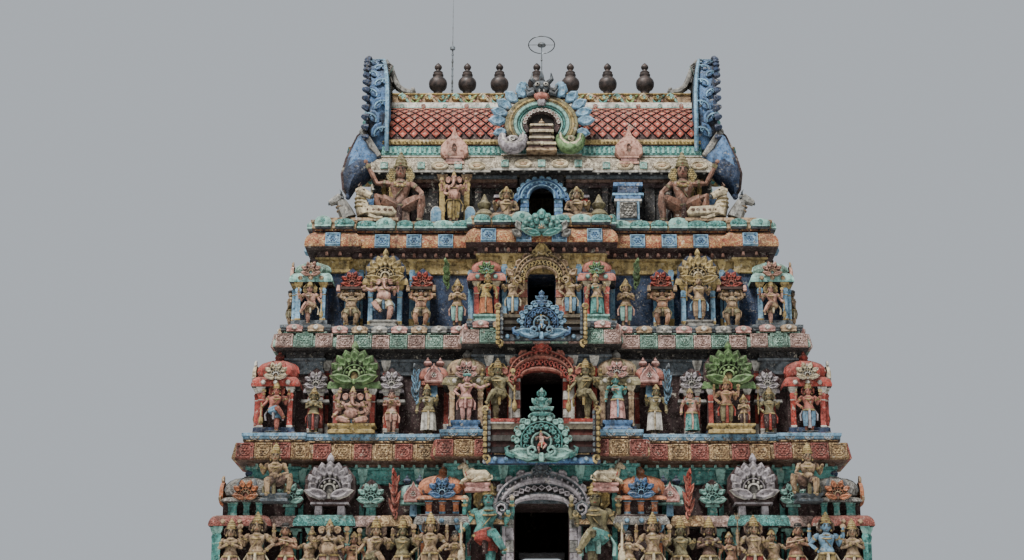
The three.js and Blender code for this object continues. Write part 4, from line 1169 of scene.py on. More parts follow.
# The soffit paints are dark as painted shade under the eaves and in the recess above each eave
LOOKS = {
    "storey_1": dict(
        eave="carved_tan", boss="carved_red", ledge="sky", shaded_soffit="brown", beam="teal",
        dentil="mint", kuta="slate", kuta_dome="carved_grey", kuta_nasi=("orange", "tan", "salmon"),
        shaft="teal", trim="mint", foot="slate", small=("mint", "mint", "teal"),
        big=("lilac", "white", "grey"),
        low=("carved_red", "carved_grey"), bay="orange", bay_dome="orange", bay_nasi=("blue", "sky", "navy"),
        bay_shaft="orange", bay_trim="sky",
        stupi="navy", low_stupi="orange",
    ),
    "storey_2": dict(
        eave="carved_mint", boss="carved_pink", ledge="slate", shaded_soffit="soot", beam="slate",
        dentil="soot", kuta="red", kuta_dome="red", kuta_nasi=("cream", "white", "tan"),
        shaft="red", trim="white", foot="navy", small=("lilac", "white", "grey"),
        big=("green", "lime", "gold"),
        bay="olive", bay_dome="tan", bay_nasi=("pink", "white", "salmon"), bay_shaft="tan", bay_trim="cream",
        stupi="red", low_stupi="grey",
    ),
    "storey_3": dict(
        eave="carved_ochre", boss="blue", ledge="tan", shaded_soffit="maroon", beam="gold",
        dentil="rose", kuta="mint", kuta_dome="carved_mint", kuta_nasi=("rose", "tan", "mint"),
        shaft="sky", trim="gold", foot="slate", small=("red", "salmon", "maroon"),
        big=("gold", "cream", "tan"),
        bay="salmon", bay_dome="salmon", bay_nasi=("green", "mint", "gold"), bay_shaft="red",
        bay_trim="cream",
        stupi="maroon", low_stupi="rose",
    ),
}


def storey_plan(s):
    corner = s["half_width"] - s["corner_width"] + 0.35
    side_corner = s["half_depth"] - s["corner_width"] + 0.35
    out = s["porch_out"]
    return make_plan(
        s["half_width"], s["half_depth"],
        [(0, s["porch"], out), (corner, 99, 0.25)],
        [(0, s["big_width"] / 2, 0.25), (side_corner, 99, 0.25)], 0.25,
    )


def place(parts, shape, side, x=0.0, y=0.0, z=0.0):
    """Adds a piece at a distance from the middle, mirrored on the left."""
    parts.append((shape.mirrored() if side < 0 else shape).at(side * x, y, z))


@cache
def shaded_sooted_nasi(petals, colours, crown=True, upright=0.0):
    return shaded_and_sooted(nasi(petals, *colours, crown=crown, upright=upright), 0.3)


def kuta(s, x0, x1, y0, y1, top, at_corner):
    """A small square pavilion: pillars, rolled eave, cushion dome with horseshoe gables and a ball finial."""
    parts = []
    look = LOOKS[s["name"]]
    foot, eave, neck = s["floor"], s["shrine_eave"], s["neck"]
    height = eave - foot
    names = "kuta_dome kuta kuta_nasi shaft trim stupi"
    if not at_corner:
        names = "bay_dome bay bay_nasi bay_shaft bay_trim low_stupi"
    dome_paint, eave_paint, nasi_colours, shaft, trim, stupi_paint = (look[name] for name in names.split())
    pillar = pilaster(height, 0.2, 0.12, shaft, trim, look["foot"])
    for x in (x0 + 0.14, x1 - 0.14):
        parts.append(pillar.at(x, y0, foot))
    parts.append(
        box(x0 - 0.07, x1 + 0.07, y0 - 0.14, y0 + 0.02, foot, foot + 0.16 * height, look["foot"], 0.02)
    )
    if at_corner:
        for y in (y0 + 0.16, y1 - 0.16):
            parts.append(pillar.turned(math.pi / 2).at(x1, y, foot))
        parts.append(box(x1 - 0.02, x1 + 0.14, y0 - 0.05, y1, foot, foot + 0.16 * height, look["foot"], 0.02))
    low_paint = look["low"][0 if at_corner else 1] if neck else eave_paint
    parts.append(eave_slab(x0, x1, y0, y1, eave - 0.03, 0.42, 0.22, low_paint))
    for k in range(3):
        x = x0 + (x1 - x0) * (k + 0.5) / 3
        parts.append(bead(0.1, nasi_colours[1]).at(x, y0 - 0.23, eave + 0.13))
    if neck:
        low = eave + 0.38
        if at_corner:
            x1, y0 = x1 - 0.32, y0 + 0.12
        eave = eave + 0.38 + neck
        post = pilaster(neck, 0.22, 0.1, shaft, trim, shaft)
        for x in (x0 + 0.3, (x0 + x1) / 2, x1 - 0.3):
            parts.append(post.at(x, y0 + 0.16, low))
        if at_corner:
            for y in (y0 + 0.3, (y0 + y1) / 2, y1 - 0.3):
                parts.append(post.turned(math.pi / 2).at(x1 - 0.16, y, low))
        parts.append(eave_slab(x0 + 0.1, x1 - 0.1, y0 + 0.1, y1 - 0.1, eave - 0.03, 0.2, 0.24, dome_paint))
        eave -= 0.2
    rise = top - eave - 0.38
    parts.append(dome(x0 + 0.06, x1 - 0.06, y0 + 0.06, y1 - 0.06, eave + 0.36, rise, dome_paint, eave_paint))
    gable = shaded_sooted_nasi(6, nasi_colours, crown=False)
    size = min(x1 - x0, 1.6) * 0.34
    centre = eave + 0.24 + rise * 0.3
    parts.append(gable.scaled(size).at((x0 + x1) / 2, y0 - 0.2, centre))
    if at_corner:
        light = small_gable(*nasi_colours).scaled(size)
        parts.append(light.turned(math.pi / 2).at(x1 + 0.14, (y0 + y1) / 2, centre))
    finial = stupi(0.5, stupi_paint)
    parts.append(finial.at((x0 + x1) / 2, (y0 + y1) / 2, top - 0.08))
    return parts


def storey_face(s, parts):
    """The architecture of a front or back face, without its figures."""
    look = LOOKS[s["name"]]
    foot, eave = s["floor"], s["shrine_eave"]
    height = eave - foot
    corner_to = s["half_width"] + s["corner_out"]
    big_half = 0.42 * s["big_width"]
    pillar = pilaster(height, 0.19, 0.12, look["shaft"], look["trim"], look["foot"])
    thin = pilaster(s["wall_top"] - foot - 0.02, 0.2, 0.1, look["shaft"], look["trim"], look["foot"])
    big = shaded_sooted_nasi(9, look["big"], upright=0.5 if s["name"] == "storey_1" else 0.25)
    small = shaded_sooted_nasi(6, look["small"], crown=False)
    for side in SIDES:
        corner = kuta(s, corner_to - s["corner_width"], corner_to, -0.92, 0.5, s["shrine_top"] + 0.04, True)
        for piece in corner:
            place(parts, piece, side)
        bay_y = -(s["porch_out"] + 0.3)
        half = s["shrine_width"] / 2
        bay = kuta(
            s, s["shrine_at"] - half, s["shrine_at"] + half, bay_y, bay_y + s["shrine_width"],
            s["bay_top"] + 0.04, False,
        )
        for piece in bay:
            place(parts, piece, side)
        out = s["big_out"]
        for dx in (-big_half + 0.12, big_half - 0.12):
            place(parts, pillar, side, s["big"] + dx, -out, foot)
        place(
            parts, eave_slab(-big_half, big_half, -out, 0.3, 0, 0.4, 0.2, look["big"][0]), side, s["big"], 0,
            eave - 0.03,
        )
        place(parts, pedestal(big_half * 2.2, 0.5, 0.16, look["foot"]), side, s["big"], -out - 0.12, foot)
        scale = s["big_width"] / 2
        place(parts, big.scaled(scale), side, s["big"], -out - 0.17, s["big_z"])
        for at in s["small"]:
            scale = s["small_width"] / 2 * 1.05
            place(parts, small.scaled(scale), side, at, -0.42, s["small_z"])
            for dx in (-0.22, 0.22):
                place(parts, pillar.scaled(0.8, 1, 1), side, at + dx, -0.3, foot)
            place(
                parts, eave_slab(-0.33, 0.33, -0.32, 0.2, 0, 0.26, 0.14, look["small"][0]), side, at, 0,
                eave - 0.14,
            )
        for at in (
            s["shrine_at"] + half + 0.14, s["big"] - big_half - 0.32, s["big"] + big_half + 0.32,
            corner_to - s["corner_width"] - 0.14,
        ):
            place(parts, thin, side, at, 0, foot)
        # The door's side of the porch
        for at in (s["shrine_at"] - half - 0.16, s["door"] + 0.42):
            place(parts, thin, side, at, -s["porch_out"], foot)


def beam_and_eave(s, parts):
    """The beam, dentils, rolled eave with its bosses, and the ledge above, round all four sides."""
    look = LOOKS[s["name"]]
    corners = storey_plan(s)
    top, low = s["wall_top"], s["eave"]
    beam_low = top - 0.62
    parts.append(course(
        corners,
        [
            (0.015, beam_low), (0.10, beam_low + 0.03), (0.10, beam_low + 0.16), (0.05, beam_low + 0.19),
            (0.05, top - 0.1), (0.14, top - 0.06), (0.14, top + 0.02), (0.08, top + 0.05), (0.08, low - 0.1),
            (0.25, low - 0.075),
        ],
        [look["beam"]] * 7 + [look["shaded_soffit"]] * 2, cap=False,
    ))
    curve = eave_profile(s)
    rise = s["eave_top"] - low
    profile = [(0.24, low - 0.07), (0.50, low - 0.035)] + curve
    paints = [look["shaded_soffit"], look["shaded_soffit"]] + [look["eave"]] * (len(curve) - 1)
    ledge_low, ledge_top = s["eave_top"] + 0.11, s["next_floor"]
    profile += [
        (0.24, s["eave_top"] + 0.02), (0.24, ledge_low), (0.3, ledge_low + 0.04), (0.3, ledge_top - 0.16),
        (0.34, ledge_top - 0.12), (0.34, ledge_top - 0.02), (0.25, ledge_top + 0.012),
    ]
    paints += [look["shaded_soffit"], look["shaded_soffit"]] + [look["ledge"]] * 5
    parts.append(course(corners, profile, paints, cap=False))
    dentil = box(-0.06, 0.06, -0.14, 0.02, 0.0, 0.13, look["dentil"], 0.02)
    parts += along_course(corners, 0.1, 0.42, low - 0.25, [dentil], 0.15)
    tilt = math.radians(14)
    if s["name"] == "storey_3":
        boss = shaded_and_sooted(panel(0.6, rise * 0.8, "sky", "blue"), 0.15, strength=0.4).turned(-tilt, "x")
        parts += along_course(corners, 0.53, 1.3, low + rise * 0.42, [boss], 0.2)
    else:
        bosses = [
            shaded_and_sooted(panel(0.66, rise * 0.92, paint, rim), 0.15, strength=0.4).turned(-tilt, "x")
            for paint, rim in ((look["boss"], look["boss"]), (look["eave"], look["eave"]))
        ]
        parts += along_course(corners, 0.525, 0.71, low + rise * 0.45, bosses, 0.03)
    if s["name"] == "storey_1":
        roundel = flower(0.16, "grey", "sky", 6).scaled(1.25, 1, 1)
        parts += along_course(corners, 0.31, 0.7, ledge_low + 0.13, [roundel], 0.1)
    if s["name"] == "storey_2":
        cushions = [
            joined([
                cushion(-0.29, 0.29, -0.22, 0.12, 0.1, 0.22, paint),
                box(-0.3, 0.3, -0.22, 0.1, 0.02, 0.1, paint, 0.02),
                leaf(0.2, 0.22, 0.08, "white").at(0, -0.2, 0.08),
            ])
            for paint in ("pink", "tan", "grey")
        ]
        parts += along_course(corners, 0.22, 0.78, s["eave_top"] + 0.06, cushions, 0.05)
    block = box(-0.16, 0.16, -0.035, 0.05, 0.0, 0.05, look["eave"], 0.01)
    parts += along_course(corners, 0.25, 0.36, s["eave_top"] + 0.04, [block], 0.05)


def small_kuta_row(s, parts):
    """The row of little teal shrines on the top storey's ledge."""
    corners = storey_plan(s)
    z0 = s["eave_top"] + 0.1

    def one(k, i):
        half = 0.36 if (k + i) % 4 else 0.3
        top = 0.3 if (k + 2 * i) % 5 else 0.42
        pieces = [box(-half, half, -0.18, 0.12, 0.0, 0.07, "slate", 0.01)]
        pieces.append(box(-half - 0.02, half + 0.02, -0.22, 0.12, 0.06, 0.13, "mint", 0.02))
        paint = "carved_teal" if (k + i) % 3 else "mint"
        pieces.append(cushion(-half, half, -0.21, 0.13, 0.12, top, paint))
        pieces.append(flower(0.1, "teal", "mint", 5).at(0, -0.22, 0.1 + top * 0.5))
        return joined(pieces)

    parts += along_course(corners, 0.3, 0.78, z0, one, 0.02)


def torana(inner, outer, paint, rim, bed, studs="beads", leaves=8):
    """A low carved arch over a door: moulded bands, curled ends, edge leaves and a spade finial."""
    parts = [arch_band(inner, outer, (paint, rim, bed))]
    for share, count, size in ((0.4, 15, 0.085), (0.8, 19, 0.06)):
        wide = inner[0] + (outer[0] - inner[0]) * share
        rise = inner[1] + (outer[1] - inner[1]) * share
        for index in range(count):
            a = math.pi * (index + 0.5) / count
            if studs == "diamonds" and share < 0.5:
                outline = [(0.13, 0), (0, 0.15), (-0.13, 0), (0, -0.15)]
                piece = relief(
                    outline, [(1.0, 0.0), (0.85, 0.07), (0.6, 0.07), (0.4, 0.02)], rim,
                ).turned(-a, "y")
            elif share < 0.5:
                piece = spiral(size * 1.3, size * 0.6, paint, 1.0, -1 if a < math.pi / 2 else 1)
            else:
                piece = ball(0, 0, 0, size, size, size, rim, 6, 3)
            parts.append(piece.at(wide * math.cos(a), -0.2, rise * math.sin(a)))
    for index in range(leaves):
        a = math.radians(12 + 156 * index / (leaves - 1))
        if abs(a - math.pi / 2) < 0.2:
            continue
        piece = leaf(0.26, 0.4, 0.14, paint, rim).turned(0.2, "x").turned(math.pi / 2 - a, "y")
        parts.append(piece.at((outer[0] - 0.06) * math.cos(a), -0.04, (outer[1] - 0.06) * math.sin(a)))
    width = outer[0] - inner[0]
    for side in SIDES:
        end = (outer[0] + inner[0]) / 2 + 0.12
        parts += [
            spiral(0.42 * width, 0.17 * width, paint, 1.3, side).at(side * end, -0.22, -0.14),
            spiral(0.3 * width, 0.07 * width, rim, 1.2, side).at(side * end, -0.38, -0.14),
        ]
        tail = leaf(0.45, 0.3, 0.14, paint, rim).turned(side * 0.8, "y")
        parts.append(tail.at(side * (end + 0.16), -0.16, 0.02))
    spade = [
        (0.08, 0), (0.26, 0.1), (0.28, 0.26), (0.14, 0.46), (0, 0.66), (-0.14, 0.46), (-0.28, 0.26),
        (-0.26, 0.1),
        (-0.08, 0),
    ]
    top = relief(spade, [(1.0, -0.08), (1.0, 0.14), (0.8, 0.2), (0.6, 0.15), (0.3, 0.22)], paint, (0, 0.28))
    parts.append(top.at(0, -0.14, outer[1] - 0.12))
    for side in SIDES:
        parts.append(spiral(0.14, 0.06, paint, 1.2, -side).at(side * 0.28, -0.26, outer[1] - 0.02))
    return shaded_and_sooted(joined(parts), 0.25)


def side_crest(height, paint, tip):
    """A curled crest of big upright leaves beside a shrine, bending over at the top."""
    parts = []
    for share, lean, long in ((0.0, 0.1, 0.5), (0.2, -0.2, 0.46), (0.42, 0.2, 0.42), (0.64, -0.15, 0.36)):
        bow = -0.24 - 0.2 * math.sin(math.pi * (share + 0.15))
        for turn, wide in ((-0.5, 0.3), (0.55, 0.3), (0.0, 0.34)):
            piece = leaf(long * height, wide, 0.16, paint, tip if turn else paint)
            parts.append(
                piece.turned(-0.12, "x").turned(lean + turn * 0.8, "y").at(
                    0.02 - 0.1 * lean, bow, share * height,
                )
            )
    neck = [
        (0, -0.3, 0.82 * height), (0.06, -0.34, 0.98 * height), (0.16, -0.46, 1.04 * height),
        (0.2, -0.56, 0.96 * height),
    ]
    parts += [
        tube(neck, [0.12, 0.13, 0.12, 0.05], paint, 8),
        spiral(0.2, 0.09, tip, 1.1, -1).at(0, -0.36, 0.06),
    ]
    return shaded_and_sooted(joined(parts), 0.2).scaled(0.5, 1, 0.86)


def door_frame(s, parts, jamb, stripe, lintel):
    """Striped jambs and a lintel round an upper doorway."""
    width, foot, top = 0.3, s["floor"], s["door_top"]
    y = -s["porch_out"]
    for side in SIDES:
        x0 = s["door"] + 0.02
        parts_half = []
        for index in range(7):
            z0 = foot + (top - foot) * index / 7
            z1 = foot + (top - foot) * (index + 1) / 7 - 0.01
            parts_half.append(
                box(x0, x0 + width, y - 0.12, y + 0.05, z0, z1, jamb if index % 2 else stripe, 0.015)
            )
        parts_half.append(
            box(x0 + width, x0 + width + 0.14, y - 0.2, y + 0.05, foot, top + 0.1, stripe, 0.01)
        )
        for piece in parts_half:
            place(parts, piece, side)
    parts.append(
        box(
            -s["door"] - width - 0.2, s["door"] + width + 0.2, y - 0.2, y + 0.05, top + 0.02, top + 0.2,
            lintel, 0.02,
        )
    )


# Who stands where

def statue(parts, side, kind, x, y, z, height, skin, cloth, trim="cream", mirror=False, **paints):
    """Sets one figure on a small foot block, facing outwards."""
    figure = dressed(kind, height, skin, cloth, trim, mirror=mirror, **paints)
    place(parts, figure, side, x, y, z + 0.1)
    place(parts, pedestal(height * 0.34, height * 0.26, 0.11, "slate"), side, x, y, z)


def figures_1(s, parts):
    """The lowest painted storey: a crowded row of tall figures."""
    foot = s["floor"] + 0.12
    row = [
        (11.35, -1.22, "praying", 2.0, "tan", "rose"), (10.4, -1.25, "god", 2.2, "tan", "tan"),
        (9.35, -0.9, "flutist", 2.1, "skin", "red"), (8.5, -0.85, "dancer", 1.85, "tan", "cream"),
        (7.75, -1.25, "elephant", 2.1, "tan", "rose"), (6.95, -0.85, "goddess", 1.75, "skin", "maroon"),
        (6.15, -0.9, "guardian", 2.1, "tan", "olive"), (5.1, -0.85, "staff", 2.1, "olive", "tan"),
        (4.05, -1.52, "god", 2.15, "tan", "tan"), (3.15, -1.5, "folded", 1.75, "tan", "rose"),
    ]
    for side in SIDES:
        for index, (x, y, kind, height, skin, cloth) in enumerate(row):
            if side > 0 and index == 1:
                skin, cloth = "sky", "gold"
            if side > 0 and index == 4:
                kind, skin, cloth = "staff", "tan", "red"
            if side > 0 and index == 6:
                kind, skin = "praying", "brown"
            figure = dressed(kind, height, skin, cloth, halo="brown", prop="tan")
            place(parts, pedestal(height * 0.4, 0.42, 0.14, "tan"), side, x, y, s["floor"])
            place(parts, figure, side, x, y, foot)
    for side, skin, cloth, trim in ((-1, "teal", "red", "maroon"), (1, "olive", "teal", "mint")):
        keeper = dressed("guardian", 3.0, skin, cloth, trim, prop="cream")
        place(parts, keeper, side, 2.05, -1.28, s["floor"] + 0.36)
        place(parts, pedestal(1.3, 0.66, 0.38, "rose"), side, 2.05, -1.26, s["floor"])
        place(parts, pedestal(0.95, 0.5, 0.3, "pink"), side, 2.35, -1.3, 13.0)
        place(parts, small_bull("cream", "brown", 1.1).turned(0.4), side, 2.35, -1.32, 13.3)
        seated = dressed("gana", 2.1, "tan", "brown", "olive")
        place(parts, seated, side, 9.84, -1.18, 12.9)
        place(parts, pedestal(1.0, 0.7, 0.3, "slate"), side, 9.84, -0.95, 12.66)


def figures_2(s, parts):
    """The middle painted storey."""
    foot = s["floor"]
    for side in SIDES:
        left = side < 0
        statue(
            parts, side, "guardian" if left else "god", 10.1, -1.15, foot, 1.65, "salmon", "sky", "lilac",
            halo="red",
        )
        kind = "praying" if left else "staff"
        statue(parts, side, kind, 8.65, -0.85, foot, 1.5, "olive", "maroon", "red", halo="olive")
        kind, cloth = ("folded", "rose") if left else ("goddess", "teal")
        statue(parts, side, kind, 5.7, -0.85, foot, 1.55, "rose", cloth, "rose", hair="maroon")
        place(parts, pedestal(1.75, 0.75, 0.36, "gold"), side, 7.15, -1.12, foot)
        if left:
            god = dressed("elephant_seated", 2.05, "rose", "gold", "sky")
            place(parts, god, side, 7.15, -1.12, foot + 0.34)
        else:
            place(
                parts, dressed("god", 1.65, "skin", "olive", "red", halo="red"), side, 7.0, -1.1, foot + 0.3,
            )
            place(parts, dressed("praying", 1.05, "tan", "maroon", "tan"), side, 7.65, -1.1, foot + 0.3)
        place(
            parts, dressed("goddess", 1.7, "olive", "white", "cream", mirror=True), side, 4.3, -0.8,
            foot + 0.1,
        )
        place(parts, pedestal(1.1, 0.6, 0.42, "blue"), side, 2.85, -1.5, foot)
        if left:
            man = dressed("pointer", 1.75, "pink", "pink", "pink", hair="teal")
        else:
            man = dressed("goddess", 1.65, "teal", "pink", "sky")
        place(parts, man, side, 2.85, -1.5, foot + 0.42)
        place(
            parts, dressed("guardian", 2.0, "olive", "olive", "gold", mirror=True), side, 1.6, -1.35,
            foot + 0.5,
        )
        for index, paint in enumerate(("cream", "red", "white", "red")):
            band = box(-0.58, 0.58, -0.36, 0.4, 0.125 * index, 0.125 * (index + 1), paint, 0.01)
            place(parts, band, side, 1.6, -1.35, foot)


def figures_3(s, parts):
    """The top painted storey."""
    foot = s["floor"]
    for side in SIDES:
        left = side < 0
        statue(parts, side, "guardian", 9.0, -1.1, foot, 1.5, "rose", "tan", "cream", mirror=left)
        statue(parts, side, "dwarf", 7.45, -0.8, foot, 1.4, "tan", "olive", "tan", prop="rose")
        statue(parts, side, "dwarf", 4.72, -0.8, foot, 1.4, "skin", "tan", "olive", prop="tan")
        place(parts, pedestal(1.05, 0.6, 0.24, "grey"), side, 6.15, -1.0, foot)
        kind, skin, cloth = ("elephant_dancing", "rose", "cream") if left else ("staff", "tan", "tan")
        place(parts, dressed(kind, 1.72, skin, cloth, "sky"), side, 6.15, -1.02, foot + 0.22)
        place(parts, dressed("praying", 1.6, "tan", "mint", "rose"), side, 3.3, -0.8, foot + 0.12)
        place(parts, pedestal(0.95, 0.6, 0.36, "mint"), side, 2.15, -1.42, foot)
        skin, cloth = ("gold", "orange") if left else ("tan", "teal")
        place(parts, dressed("goddess", 1.55, skin, cloth, "tan"), side, 2.15, -1.42, foot + 0.34)
        place(parts, dressed("god", 1.55, "tan", "sky", "cream"), side, 1.12, -1.15, foot + 0.42)
        place(parts, pedestal(0.7, 0.5, 0.43, "tan"), side, 1.12, -1.12, foot)


def small_bull(paint, spots="tan", length=1.0):
    """A lying bull that looks towards -Y and faces +X."""
    parts = [
        tube(
            [(-0.42, 0, 0.2), (-0.3, 0, 0.25), (0.0, 0, 0.26), (0.25, 0, 0.28), (0.4, 0, 0.34)],
            [0.1, 0.2, 0.2, 0.21, 0.16], paint, 10,
        )
    ]
    parts += [
        ball(0.22, 0, 0.46, 0.12, 0.09, 0.1, paint, 8, 5),
        tube([(0.34, 0, 0.3), (0.44, 0, 0.48), (0.47, 0, 0.62)], [0.17, 0.13, 0.1], paint, 9),
        tube(
            [(0.42, 0, 0.68), (0.52, 0, 0.66), (0.66, 0, 0.6), (0.72, 0, 0.58)], [0.08, 0.105, 0.075, 0.06],
            paint, 9,
        ),
        ball(0.735, 0, 0.575, 0.03, 0.055, 0.045, "slate", 8, 4),
    ]
    for side in SIDES:
        parts += [
            tube(
                [(0.44, side * 0.06, 0.74), (0.45, side * 0.12, 0.84), (0.5, side * 0.09, 0.92)],
                [0.03, 0.026, 0.006], "grey", 6,
            ),
            tube([(0.42, side * 0.08, 0.7), (0.36, side * 0.2, 0.68)], [0.04, 0.012], spots, 6),
            ball(0.55, side * 0.075, 0.69, 0.02, 0.014, 0.018, "soot", 6, 3),
            tube(
                [
                    (0.3, side * 0.16, 0.16), (0.5, side * 0.18, 0.08), (0.62, side * 0.14, 0.04),
                    (0.46, side * 0.14, 0.03),
                ],
                [0.08, 0.06, 0.045, 0.05], paint, 7,
            ),
            tube(
                [(-0.28, side * 0.18, 0.16), (-0.1, side * 0.25, 0.1), (0.1, side * 0.24, 0.04)],
                [0.13, 0.08, 0.04], paint, 7,
            ),
        ]
    parts += [
        tube(level_loop(0.4, 0.44, 0.05, 0.15, 0.1, 12), 0.022, "gold", 5),
        tube(level_loop(0.35, 0.33, 0.05, 0.19, 0.12, 12), 0.022, "red", 5),
        tube([(-0.5, 0, 0.25), (-0.56, -0.06, 0.12), (-0.42, -0.16, 0.05)], [0.03, 0.025, 0.03], paint, 6),
    ]
    return joined(parts).scaled(length)


def lobed_crest(width, height, paint, rim, wing):
    """A broad crest over a doorway: stacked lobes round a small lion mask, on two boat-shaped wings."""
    w, h = width / 2, height / 2
    parts = [
        relief(
            arc(0.62 * w, 0.7 * h, -30, 210, 14), [(1.0, -0.15), (1.0, 0.1), (0.9, 0.16), (0.5, 0.18)], paint,
        )
    ]
    lobes = [
        (0, 0.92, 0.2), (0.24, 0.7, 0.17), (0.46, 0.5, 0.17), (0.62, 0.22, 0.17), (0.2, 0.42, 0.14),
        (0.4, 0.1, 0.15),
        (0.72, -0.06, 0.14),
    ]
    for x, z, size in lobes:
        for side in SIDES if x else (1,):
            parts += [
                ball(side * x * w, -0.16, z * h, size * w, 0.14, size * w * 1.15, paint, 8, 5),
                ball(side * x * w, -0.28, z * h + 0.02, size * w * 0.45, 0.06, size * w * 0.5, rim, 6, 4),
            ]
    for side in SIDES:
        boat = leaf(0.85 * w, 0.5 * h, 0.22, rim, paint).turned(0.3, "x").turned(side * 1.35, "y")
        parts.append(boat.at(side * 0.06, -0.12, -0.55 * h))
        for lean, long, z in ((0.35, 0.95, -0.35), (0.95, 0.8, -0.6)):
            piece = leaf(long * h, 0.55 * h, 0.2, wing, "grey").turned(side * lean, "y")
            parts.append(piece.at(side * 0.82 * w, -0.02, z * h))
    parts += [
        lion_head(0.3 * h, "tan", "soot", "cream").at(0, -0.3, -0.12 * h),
        leaf(0.4 * h, 0.3 * h, 0.12, paint, rim).at(0, -0.1, 0.95 * h),
    ]
    return shaded_and_sooted(joined(parts), 0.25)


def heart_shrine(block, gable, ball_paint):
    """A low roof block with a heart-shaped gable, ball finials and a short striped post."""
    heart = [
        (0.34, 0.0), (0.36, 0.24), (0.2, 0.48), (0.07, 0.6), (0, 0.78), (-0.07, 0.6), (-0.2, 0.48),
        (-0.36, 0.24),
        (-0.34, 0.0),
    ]
    parts = [
        box(-0.14, 0.14, -0.22, 0.1, 0.0, 0.48, "sky", 0.02),
        box(-0.5, 0.5, -0.34, 0.1, 0.44, 0.6, block, 0.03),
        dome(-0.48, 0.48, -0.3, 0.1, 0.6, 0.62, block, "slate"),
        relief(heart, [(1.0, 0.0), (1.0, 0.1), (0.85, 0.14), (0.7, 0.1)], gable, (0, 0.3)).at(0, -0.34, 0.5),
        flower(0.14, gable, "white", 6).at(0, -0.44, 0.8),
    ]
    for x in (-0.22, 0.26):
        parts.append(stupi(0.42, ball_paint).at(x, -0.1, 1.16))
    return shaded_and_sooted(joined(parts), 0.2)


def crossbar(paint):
    """The short bar behind a figure's head that carries a small gable."""
    return joined(
        [
            box(-0.55, 0.55, -0.5, 0.0, 0.0, 0.11, paint, 0.02),
            box(-0.3, 0.3, -0.4, 0.0, 0.1, 0.22, paint, 0.02),
        ]
    )


def low_eaves(parts):
    """The broken row of rolled eaves over the crowded figures of the lowest painted storey."""
    row = [
        (9.1, 10.0, -0.62, "carved_pink"), (7.0, 9.0, -0.82, "carved_teal"),
        (5.95, 6.9, -0.62, "carved_pink"),
        (4.9, 5.9, -0.7, "carved_tan"), (1.35, 2.75, -1.2, "carved_tan"),
    ]
    for side in SIDES:
        for x0, x1, y, paint in row:
            place(parts, eave_slab(x0, x1, y, 0.0, 11.8, 0.42, 0.14, paint), side)
        for x in (9.35, 6.35):
            place(parts, box(-0.19, 0.19, -0.36, 0, 0, 0.44, "teal", 0.02), side, x, 0, 12.18)
            place(parts, box(-0.27, 0.27, -0.42, 0, 0.4, 0.5, "mint", 0.02), side, x, 0, 12.18)
        for dx in (-0.42, 0.42):
            place(parts, box(-0.14, 0.14, -0.66, 0, 0, 0.46, "lilac", 0.02), side, 7.85 + dx, 0, 12.2)
        place(parts, box(-0.72, 0.72, -0.72, 0, 0.44, 0.56, "lilac", 0.03), side, 7.85, 0, 12.2)


def made(makers, s, depth=0.0):
    """What the makers add for a storey, brought forward to its wall plane."""
    parts = []
    for maker in makers:
        maker(s, parts)
    return joined(parts).at(0, -depth, 0)


def add_storeys():
    """Each storey's pieces: one for its eaves, two for its front and back and one for each short side."""
    door_dresses = (door_dress_1, door_dress_2, door_dress_3)
    people = (figures_1, figures_2, figures_3)
    slots = ("ochre_stucco", "red_stucco", "teal_stucco")
    for s, slot, door_dress, figures in zip(STOREYS, slots, door_dresses, people):
        rows = [beam_and_eave, small_kuta_row] if s["name"] == "storey_3" else [beam_and_eave]
        add_piece(f"{s['name']}_eaves", made(rows, s))
        shrines = made([storey_face, door_dress], s, s["half_depth"])
        crowd = made([figures], s, s["half_depth"])
        for name, turn in (("front", 0.0), ("back", math.pi)):
            add_piece(f"{s['name']}_{name}_shrines", shrines.turned(turn))
            add_piece(f"{s['name']}_{name}_figures", crowd.turned(turn))
        short_side = made([storey_side, side_figures], s, s["half_width"])
        for name, turn in (("right", math.pi / 2), ("left", -math.pi / 2)):
            add_piece(f"{s['name']}_{name}_side", short_side.turned(turn))


def storey_side(s, parts):
    """The architecture of a short side, in the frame of its wall."""
    look = LOOKS[s["name"]]
    foot, eave, out = s["floor"], s["shrine_eave"], s["big_out"]
    height = eave - foot
    big_half = 0.42 * s["big_width"]
    pillar = pilaster(height, 0.19, 0.12, look["shaft"], look["trim"], look["foot"])
    thin = pilaster(s["wall_top"] - foot - 0.02, 0.2, 0.1, look["shaft"], look["trim"], look["foot"])
    big = shaded_sooted_nasi(7, look["big"]).scaled(s["big_width"] / 2)
    small = small_gable(*look["small"]).scaled(s["small_width"] / 2)
    shelf = eave_slab(-big_half, big_half, -out, 0.3, 0, 0.4, 0.2, look["big"][0])
    parts += [
        shelf.at(0, 0, eave - 0.03),
        pedestal(big_half * 2.2, 0.5, 0.16, look["foot"]).at(0, -out - 0.12, foot),
        big.at(0, -out - 0.17, s["big_z"]),
    ]
    niche = (s["half_depth"] + 0.15 * s["big_width"]) / 2
    for side in SIDES:
        place(parts, pillar, side, big_half - 0.12, -out, foot)
        place(parts, small, side, niche, -0.42, s["small_z"])
        for dx in (-0.22, 0.22):
            place(parts, pillar.scaled(0.8, 1, 1), side, niche + dx, -0.3, foot)
        low_eave = eave_slab(-0.33, 0.33, -0.32, 0.2, 0, 0.26, 0.14, look["small"][0])
        place(parts, low_eave, side, niche, 0, eave - 0.14)
        for at in (big_half + 0.32, niche - 0.5, niche + 0.5):
            place(parts, thin, side, at, 0, foot)


